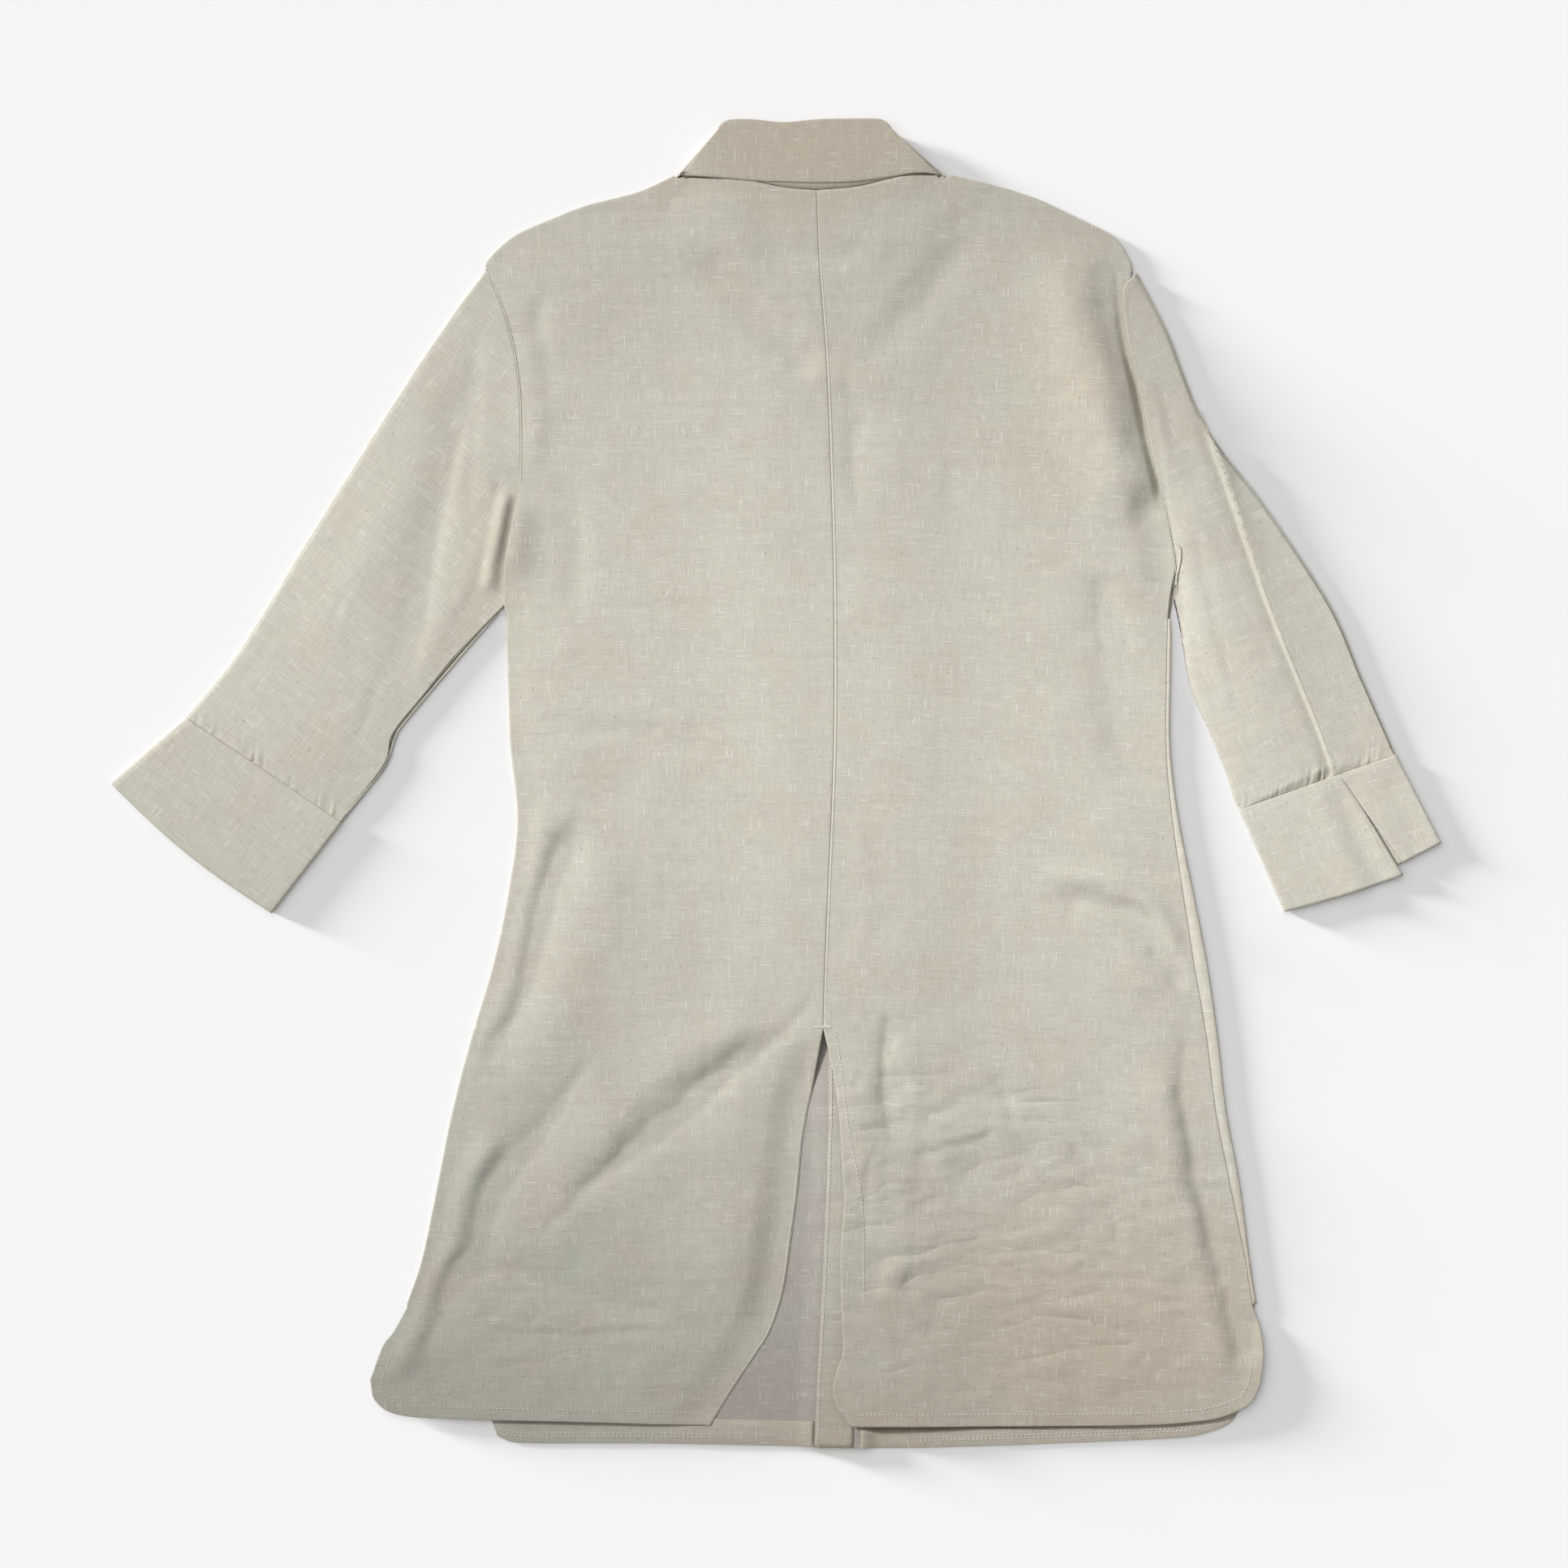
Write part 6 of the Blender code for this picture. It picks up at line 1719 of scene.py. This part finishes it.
Ridge = namedtuple("Ridge", "node path width height material")
UNDERARM_SEAM = [(-199, 123.5), (-223.9, 96), (-265.6, 46.8), (-273.8, 34), (-281.9, 12), (-308.5, -20.5)]
RIDGES = {
    "centre_back_seam_ridge": Ridge(
        "back_right", [(x + 1.3, y) for x, y in CENTRE_BACK[:-1]] + [(30.4, 420)], 1.7, 0.32, "slubby_linen",
    ),
    "vent_left_edge_ridge": Ridge("back_left", [(x - 1.6, y) for x, y in LEFT_FLAP[:-1]], 1.6, 0.35, "slubby_linen"),
    "underarm_seam_ridge": Ridge(
        "sleeve_left", [(x + 1.1, y - 0.9) for x, y in UNDERARM_SEAM], 1.8, 0.35, "slubby_linen",
    ),
    # Two thin dark strips of painted seam shadow, where the seams' sunken lines lie in shade.
    "underarm_seam_shadow": Ridge("sleeve_left", UNDERARM_SEAM, 0.5, 0.12, "painted_seam_shadow"),
    "armhole_left_seam_shadow": Ridge(
        "back_left", [(-203, 362), (-190.6, 328), (-183, 288), (-181.4, 240), (-182.2, 214)], 0.6, 0.14, "painted_seam_shadow",
    ),
    "pressed_crease_ridge": Ridge(
        "sleeve_right",
        [(304.5, 268), (311.5, 245), (321.3, 218.1), (332.9, 183.3), (348.6, 136.9), (361.9, 102.1), (376.4, 67.3),
         (390, 34), (398.5, 9)],
        1.7, 0.7, "slubby_linen",
    ),
    "slit_edge_ridge": Ridge(
        "cuff_right", [(403.2, 3.5), (412, -11), (421, -26), (430.5, -43), (440.5, -62)], 1.3, 0.35, "slubby_linen",
    ),
    "pleat_rim": Ridge(
        "sleeve_right", [(279.0, 174), (284.5, 172.5), (288.4, 168.5), (288.6, 160), (286.8, 150), (285.4, 141)],
        2.4, 1.4, "slubby_linen",
    ),
}


# Across a ridge, from one edge to the other: share of its width from the middle, share of its height
RIDGE_PROFILE = ((-0.5, -0.3), (-0.36, 0.6), (-0.15, 1.0), (0.15, 0.95), (0.36, 0.55), (0.5, -0.3))
RIDGE_STEP = 2.5
RIDGE_WALL = 0.2


def make_ridge(name, obj, ridge):
    """A narrow raised strip along a plan line on a sheet: a crease, a seam's turnings pressed to one side, or a dark
    strip of painted seam shadow.
    """
    surface = surface_of(obj)
    length = np.linalg.norm(np.diff(np.array(ridge.path), axis=0), axis=1).sum()
    line = evenly(ridge.path, int(length / RIDGE_STEP))
    taper = np.sin(np.linspace(0, math.pi, len(line))) ** 0.35
    columns = []
    for across, rise in RIDGE_PROFILE:
        place = line + outward_of(line, 1) * (across * ridge.width * taper)[:, None]
        hits = [surface.ray_cast(Vector((x * MM, y * MM, 0.1)), Vector((0, 0, -1)))[0] for x, y in place]
        found = [(number, hit.z / MM) for number, hit in enumerate(hits) if hit is not None]
        height = np.interp(np.arange(len(place)), *zip(*found))
        columns.append(lifted(place, height + rise * ridge.height * taper))
    grid = np.stack(columns, axis=1)
    return cloth(ridge.node, grid, wall=RIDGE_WALL, materials=(ridge.material,), piece=name)


def make_buttonhole(name, x, y, z, sizes):
    """A vertical buttonhole worked in close thread, on the table side of the cloth."""
    half = sizes.hole_length / MM / 2
    rows = np.arange(-half, half + HOLE_PITCH / 2, HOLE_PITCH)
    places, directions = [], []
    for side in (-1, 1):
        for row in rows:
            places.append((x + side * HOLE_WIDTH / 4, y + row, z - 0.06))
            directions.append((1.0, 0.12 * side, 0))
    for end in (-half - 0.3, half + 0.3):
        for shift in (-0.5, 0, 0.5):
            places.append((x + shift, y + end, z - 0.1))
            directions.append((0.1, 1.0, 0))
    model = stitch_model(HOLE_WIDTH / 2, 0.3)
    hole = copies(name, model, np.array(places) * MM, np.array(directions), bpy.data.materials["thread"])
    finish(hole, None)
    return hole


def make_bar_tacks(name, obj):
    """Close stitches across the head of the vent."""
    surface = surface_of(obj)
    places, directions = [], []
    for start, end in BAR_TACKS:
        line = evenly([start, end], int(math.dist(start, end) / TACK_PITCH))
        height = max(laid_on(surface, line, True)[:, 2])
        ahead = np.array(end) - start
        for x, y in line:
            places.append((x * MM, y * MM, height + 0.15 * MM))
            directions.append((-ahead[1], ahead[0], 0))
    tacks = copies(name, stitch_model(1.9, 0.3), np.array(places), np.array(directions), bpy.data.materials["thread"])
    finish(tacks, None)
    return tacks


def button_model():
    """A turned button with a raised rim and four holes, face down."""
    obj = start_primitive(
        bpy.ops.mesh.primitive_cylinder_add, vertices=40, radius=BUTTON_RADIUS * MM, depth=BUTTON_THICK * MM,
        location=(0, 0, BUTTON_THICK / 2 * MM), end_fill_type="NGON",
    )
    pick_faces(obj, lambda face: abs(face.normal.z) > 0.9)
    bpy.ops.mesh.bevel(offset=BUTTON_BEVEL * MM, segments=3, affect="EDGES", profile=0.6)
    pick_faces(obj, lambda face: face.normal.z < -0.99)
    bpy.ops.mesh.inset(thickness=(BUTTON_RIM - BUTTON_BEVEL) * MM)
    bpy.ops.mesh.inset(thickness=0.35 * MM)
    bpy.ops.transform.translate(value=(0, 0, 0.3 * MM))
    bpy.ops.mesh.inset(thickness=0.4 * MM)
    bpy.ops.transform.translate(value=(0, 0, 0.15 * MM))
    bpy.ops.object.mode_set(mode="OBJECT")
    bpy.ops.object.select_all(action="DESELECT")
    holes = []
    for dx, dy in ((-1, -1), (-1, 1), (1, -1), (1, 1)):
        bpy.ops.mesh.primitive_cylinder_add(
            vertices=14, radius=BUTTON_HOLE_RADIUS * MM, depth=6 * MM,
            location=(dx * BUTTON_HOLE_OFFSET * MM, dy * BUTTON_HOLE_OFFSET * MM, BUTTON_THICK / 2 * MM),
        )
        holes.append(bpy.context.active_object)
    for hole in holes:
        bpy.context.view_layer.objects.active = obj
        cut = obj.modifiers.new("hole", "BOOLEAN")
        cut.operation, cut.object, cut.solver = "DIFFERENCE", hole, "EXACT"
        bpy.ops.object.modifier_apply(modifier=cut.name)
    for hole in holes:
        bpy.data.objects.remove(hole, do_unlink=True)
    obj.data.transform(Matrix.Translation((0, 0, BUTTON_THICK / 2 * MM)))
    obj.location = (0, 0, 0)
    obj.data.materials.clear()
    obj.data.materials.append(bpy.data.materials["horn"])
    bpy.ops.object.select_all(action="DESELECT")
    obj.select_set(True)
    bpy.context.view_layer.objects.active = obj
    bpy.ops.object.shade_smooth_by_angle(angle=math.radians(35))
    return obj


def front_buttons():
    """Where the front's buttons lie, from the top one down."""
    heights = [TOP_BUTTON_Y - number * BUTTON_SPACING for number in range(BUTTONS_ON_FRONT)]
    return [(float(centre_front_x(y)), y) for y in heights]


def new_light(name, kind, toward, energy, receivers):
    """A light that shines from a direction on the objects that the receivers' collection names."""
    data = bpy.data.lights.new(name, kind)
    data.energy = energy
    light = bpy.data.objects.new(name, data)
    light.rotation_euler = toward.to_track_quat("Z", "Y").to_euler()
    light.light_linking.receiver_collection = receivers
    bpy.context.scene.collection.objects.link(light)
    return light


# ---------------------------------------------------------------- settings


def length_setting(name, description, size):
    return bpy.props.FloatProperty(
        name=name, description=description, default=size * MM, unit="LENGTH", subtype="DISTANCE"
    )


def colour_setting(name, description, colour):
    return bpy.props.FloatVectorProperty(
        name=name, description=description, subtype="COLOR", size=3, min=0, max=1, default=colour
    )


class ShirtSizes(bpy.types.PropertyGroup):
    """Sizes of the sewing."""

    stitch_length: length_setting("Stitch length", "Length of one stitch that shows", STITCH_LENGTH)
    stitch_pitch: length_setting("Stitch pitch", "Distance from one stitch to the next", STITCH_PITCH)
    stitch_radius: length_setting("Thread radius", "Half the thickness of the sewing thread", STITCH_RADIUS)
    hole_length: length_setting("Buttonhole length", "Length of a buttonhole", HOLE_LENGTH)


class ShirtColours(bpy.types.PropertyGroup):
    """Colours of the cloth, thread, buttons and ground."""

    linen_green: colour_setting("Linen, greenish", "Ground colour of the cooler patches", from_hex("CCCBBD"))
    linen_pink: colour_setting("Linen, pinkish", "Ground colour of the warmer patches", from_hex("CDC6B8"))
    slub: colour_setting("Slub", "Colour of thick places in the yarn", from_hex("E2DFD3"))
    # The warm colour is also the painted shade of the crevices beside the right sleeve and at the left underarm.
    linen_warm_and_painted_shade: colour_setting("Linen, warm", "Ground colour where the warmth attribute is 1", from_hex("CDC0AF"))
    fleck: colour_setting("Fleck", "Colour of short dark fibres", from_hex("A6A092"))
    # The inner face is drawn greyer and darker than the outer: partly the cloth's cooler inside, partly painted
    # shade, as inside the vent.
    inside_green_with_painted_shade: colour_setting("Inside, greenish", "Inner face of the linen, cooler patches", from_hex("BDB9AF"))
    inside_pink_with_painted_shade: colour_setting("Inside, pinkish", "Inner face of the linen, warmer patches", from_hex("BCB2AB"))
    # Painted shadow: this dark colour stands in for the shade in a pressed seam's sunken line.
    painted_seam_shadow: colour_setting("Seam line", "Colour of a pressed seam's sunken line", from_hex("8E887A"))
    thread: colour_setting("Thread", "Colour of the sewing thread", from_hex("E9E5DA"))
    button: colour_setting("Button", "Lighter colour of the buttons", from_hex("D8CDB4"))
    button_dark: colour_setting("Button streaks", "Darker colour of the buttons", from_hex("A8987C"))
    ground: colour_setting("Ground", "Colour of the floor", from_hex("F3F3F3"))


# ---------------------------------------------------------------- operators


class SHIRT_OT_materials(bpy.types.Operator):
    """Makes the linen, thread and button materials"""

    bl_idname = "shirt.materials"
    bl_label = "Materials"

    def execute(self, context):
        colours = context.scene.shirt_colours
        shared = (colours.slub, colours.fleck)
        outside = [tuple(c) for c in (colours.linen_green, colours.linen_pink, *shared, colours.linen_warm_and_painted_shade)]
        inside = [tuple(c) for c in (colours.inside_green_with_painted_shade, colours.inside_pink_with_painted_shade, *shared, colours.inside_pink_with_painted_shade)]
        make_linen("slubby_linen", outside)
        # The inner face's material: its darker colours are partly painted shade.
        make_linen("linen_inside_with_painted_shade", inside, slub=0.5)
        make_thread("thread", tuple(colours.thread))
        # The seam lines' material is painted shadow.
        make_painted_seam_shadow("painted_seam_shadow", tuple(colours.painted_seam_shadow))
        make_horn("horn", tuple(colours.button), tuple(colours.button_dark))
        return {"FINISHED"}


class SHIRT_OT_backs(bpy.types.Operator):
    """Lays the two halves of the back, with their folds, creases and vent"""

    bl_idname = "shirt.backs"
    bl_label = "Back"

    def execute(self, context):
        for side in ("left", "right"):
            cloth(f"back_{side}", back_sheet(side))
        return {"FINISHED"}


class SHIRT_OT_fronts(bpy.types.Operator):
    """Lays the two fronts with their facings and hems"""

    bl_idname = "shirt.fronts"
    bl_label = "Fronts"

    def execute(self, context):
        for side in ("left", "right"):
            cloth(f"front_{side}", front_sheet(side), up=False)
        return {"FINISHED"}


class SHIRT_OT_sleeves(bpy.types.Operator):
    """Lays the flattened sleeves, the right one rolled over the back"""

    bl_idname = "shirt.sleeves"
    bl_label = "Sleeves"

    def execute(self, context):
        for side in ("left", "right"):
            cloth(f"sleeve_{side}", sleeve_sheet(side), closed=True, probe=(60, NOSE_STEPS + 40))
        return {"FINISHED"}


class SHIRT_OT_cuffs(bpy.types.Operator):
    """Makes the two wide cuffs"""

    bl_idname = "shirt.cuffs"
    bl_label = "Cuffs"

    def execute(self, context):
        for side in ("left", "right"):
            cloth(f"cuff_{side}", cuff_sheet(side), wall=CUFF_WALL, probe=(3, 12), materials=("slubby_linen",))
        return {"FINISHED"}


class SHIRT_OT_collar(bpy.types.Operator):
    """Makes the collar's stand and its fall"""

    bl_idname = "shirt.collar"
    bl_label = "Collar"

    def execute(self, context):
        middle = (WING_STEPS + BACK_STEPS // 2) * COLLAR_DETAIL + len(NOSE_ANGLES) + 3
        cloth("collar_fall", collar_fall_sheet(), wall=WALL, probe=(3, middle), materials=("slubby_linen",))
        stand = collar_stand_sheet()
        cloth("collar_stand", stand, wall=WALL, probe=(3, stand.shape[1] // 2), materials=("slubby_linen",))
        return {"FINISHED"}


class SHIRT_OT_buttons(bpy.types.Operator):
    """Makes the seven buttons and the thread that ties each on"""

    bl_idname = "shirt.buttons"
    bl_label = "Buttons"

    def execute(self, context):
        places = [COLLAR_BUTTON, *front_buttons()]
        thread = stitch_model(2 * BUTTON_HOLE_OFFSET + 0.9, TIE_RADIUS)
        model = button_model()
        for number, (x, y) in enumerate(places, 1):
            name = f"button_{number}_horn"
            mesh = model.data.copy()
            mesh.name = name
            mesh.transform(Matrix.Translation((x * MM, y * MM, 0)))
            finish(new_object(name, mesh), f"button_{number}")
            ties = [(x * MM, (y + side * BUTTON_HOLE_OFFSET) * MM, TIE_HEIGHT * MM) for side in (-1, 1)]
            tie = copies(
                f"button_{number}_thread", thread, np.array(ties), np.array([(1.0, 0, 0)] * 2),
                bpy.data.materials["thread"],
            )
            finish(tie, None)
        model_of(model)
        return {"FINISHED"}


class SHIRT_OT_sewing(bpy.types.Operator):
    """Sews the hems, vent, facings, bar tacks and buttonholes, and lays the ridges and painted seam shadows along
    creases and seams
    """

    bl_idname = "shirt.sewing"
    bl_label = "Sewing"

    def execute(self, context):
        sizes = context.scene.shirt_sizes
        piece = {name: bpy.data.objects[name + "_cloth"] for name in CUTS}
        left_hem = [LEFT_BACK_CORNER[1], LEFT_BACK_CORNER[0], *LEFT_BACK_HEM[1:-1], (-52, -459)]
        right_hem = [RIGHT_BACK_CORNER[1], RIGHT_BACK_CORNER[0], *RIGHT_BACK_HEM[1:-1], (59, -459)]
        sewn = {name: [] for name in CUTS}
        sewn["back_left"].append(
            stitched("back_left_hem_stitches", piece["back_left"], [beside(left_hem, -HEM_STITCH)], sizes)
        )
        rows = [beside(right_hem, HEM_STITCH), VENT_STITCH]
        sewn["back_right"].append(stitched("back_right_hem_stitches", piece["back_right"], rows, sizes))
        sewn["back_right"].append(make_bar_tacks("bar_tacks", piece["back_right"]))
        for side, hem, sign in (("left", LEFT_FRONT_HEM, -1), ("right", RIGHT_FRONT_HEM, 1)):
            name = f"front_{side}"
            centre = [(x + (LAP if side == "left" else -LAP), y) for x, y in CENTRE_FRONT[:-1]]
            far = [(x + sign * FACING_STITCH, y) for x, y in centre]
            near = [(x + sign * EDGE_STITCH, y) for x, y in centre]
            band = beside(hem[:-1], sign * FRONT_HEM_STITCH)
            second = beside(hem[:-1], sign * (FRONT_HEM_STITCH - STITCH_ROWS_APART))
            sewn[name].append(stitched(f"{name}_stitches_inside", piece[name], [band, second, far, near], sizes))
            outside = f"{name}_stitches_outside"
            sewn[name].append(
                stitched(outside, piece[name], [band, far, near], sizes, from_above=False, lift=OUTSIDE_STITCH_LIFT)
            )
        for name, ridge in RIDGES.items():
            sewn[ridge.node].append(make_ridge(name, piece[ridge.node], ridge))
        for number, (x, y) in enumerate(front_buttons(), 2):
            sewn["front_left"].append(make_buttonhole(f"buttonhole_{number}", x, y, UNDER_LAP, sizes))
        return {"FINISHED"}


class SHIRT_OT_stage(bpy.types.Operator):
    """Sets the white ground, the soft light from the upper left and the camera overhead"""

    bl_idname = "shirt.stage"
    bl_label = "Stage"

    def execute(self, context):
        scene = context.scene
        bpy.ops.object.select_all(action="DESELECT")
        bpy.ops.mesh.primitive_plane_add(size=FLOOR_SIZE, location=(0, 0, FLOOR_LEVEL))
        floor = context.active_object
        floor.name = "floor"
        floor.data.materials.append(make_floor("white_paper", tuple(scene.shirt_colours.ground)))

        # The window lights the shirt, most in its middle; the white ground has a light of its own.
        ground_only = bpy.data.collections.new("ground_only")
        ground_only.objects.link(floor)
        all_but_ground = bpy.data.collections.new("all_but_ground")
        all_but_ground.objects.link(floor)
        all_but_ground.collection_objects[0].light_linking.link_state = "EXCLUDE"
        toward = Vector(LIGHT_FROM).normalized()
        for number, (middle, power, angle) in enumerate(WINDOW_LIGHTS, 1):
            window = new_light(f"window_light_{number}", "SPOT", toward, power, all_but_ground)
            window.location = Vector(middle) + WINDOW_DISTANCE * toward
            window.data.shadow_soft_size = WINDOW_RADIUS
            window.data.spot_size = math.radians(angle)
            window.data.spot_blend = 1.0
        for number, (place, strength, angle) in enumerate(GROUND_LIGHTS, 1):
            light = new_light(f"ground_light_{number}", "SUN", Vector(place), strength, ground_only)
            light.data.angle = math.radians(angle)

        world = bpy.data.worlds.new("studio")
        world.use_nodes = True
        background = world.node_tree.nodes["Background"]
        background.inputs["Color"].default_value = (*from_hex("FFFFFF"), 1)
        background.inputs["Strength"].default_value = WORLD_STRENGTH
        scene.world = world
        scene.view_settings.view_transform = "Standard"

        camera_data = bpy.data.cameras.new("overhead")
        camera_data.sensor_width = SENSOR
        camera_data.lens = SENSOR * (CAMERA_HEIGHT - FOCUS_HEIGHT) / FRAME_WIDTH
        camera = bpy.data.objects.new("overhead", camera_data)
        camera.location = (CAMERA_X, 0.0, CAMERA_HEIGHT)
        scene.collection.objects.link(camera)
        scene.camera = camera
        return {"FINISHED"}


class SHIRT_PT_panel(bpy.types.Panel):
    """Lists the shirt's sizes, colours and pieces"""

    bl_idname = "SHIRT_PT_panel"
    bl_label = "Laid shirt"
    bl_space_type = "VIEW_3D"
    bl_region_type = "UI"
    bl_category = "Shirt"

    def draw(self, context):
        for group in (context.scene.shirt_sizes, context.scene.shirt_colours):
            for name in group.__annotations__:
                self.layout.prop(group, name)
        for operator in STEPS:
            self.layout.operator(operator.bl_idname)


STEPS = (
    SHIRT_OT_stage, SHIRT_OT_materials, SHIRT_OT_backs, SHIRT_OT_fronts, SHIRT_OT_sleeves, SHIRT_OT_cuffs,
    SHIRT_OT_collar, SHIRT_OT_buttons, SHIRT_OT_sewing,
)
CLASSES = (ShirtSizes, ShirtColours, *STEPS, SHIRT_PT_panel)


def register():
    for item in CLASSES:
        bpy.utils.register_class(item)
    bpy.types.Scene.shirt_sizes = bpy.props.PointerProperty(type=ShirtSizes)
    bpy.types.Scene.shirt_colours = bpy.props.PointerProperty(type=ShirtColours)


def unregister():
    del bpy.types.Scene.shirt_sizes
    del bpy.types.Scene.shirt_colours
    for item in reversed(CLASSES):
        bpy.utils.unregister_class(item)


def main():
    register()
    for step in STEPS:
        group, name = step.bl_idname.split(".")
        getattr(getattr(bpy.ops, group), name)()


if __name__ == "__main__":
    main()
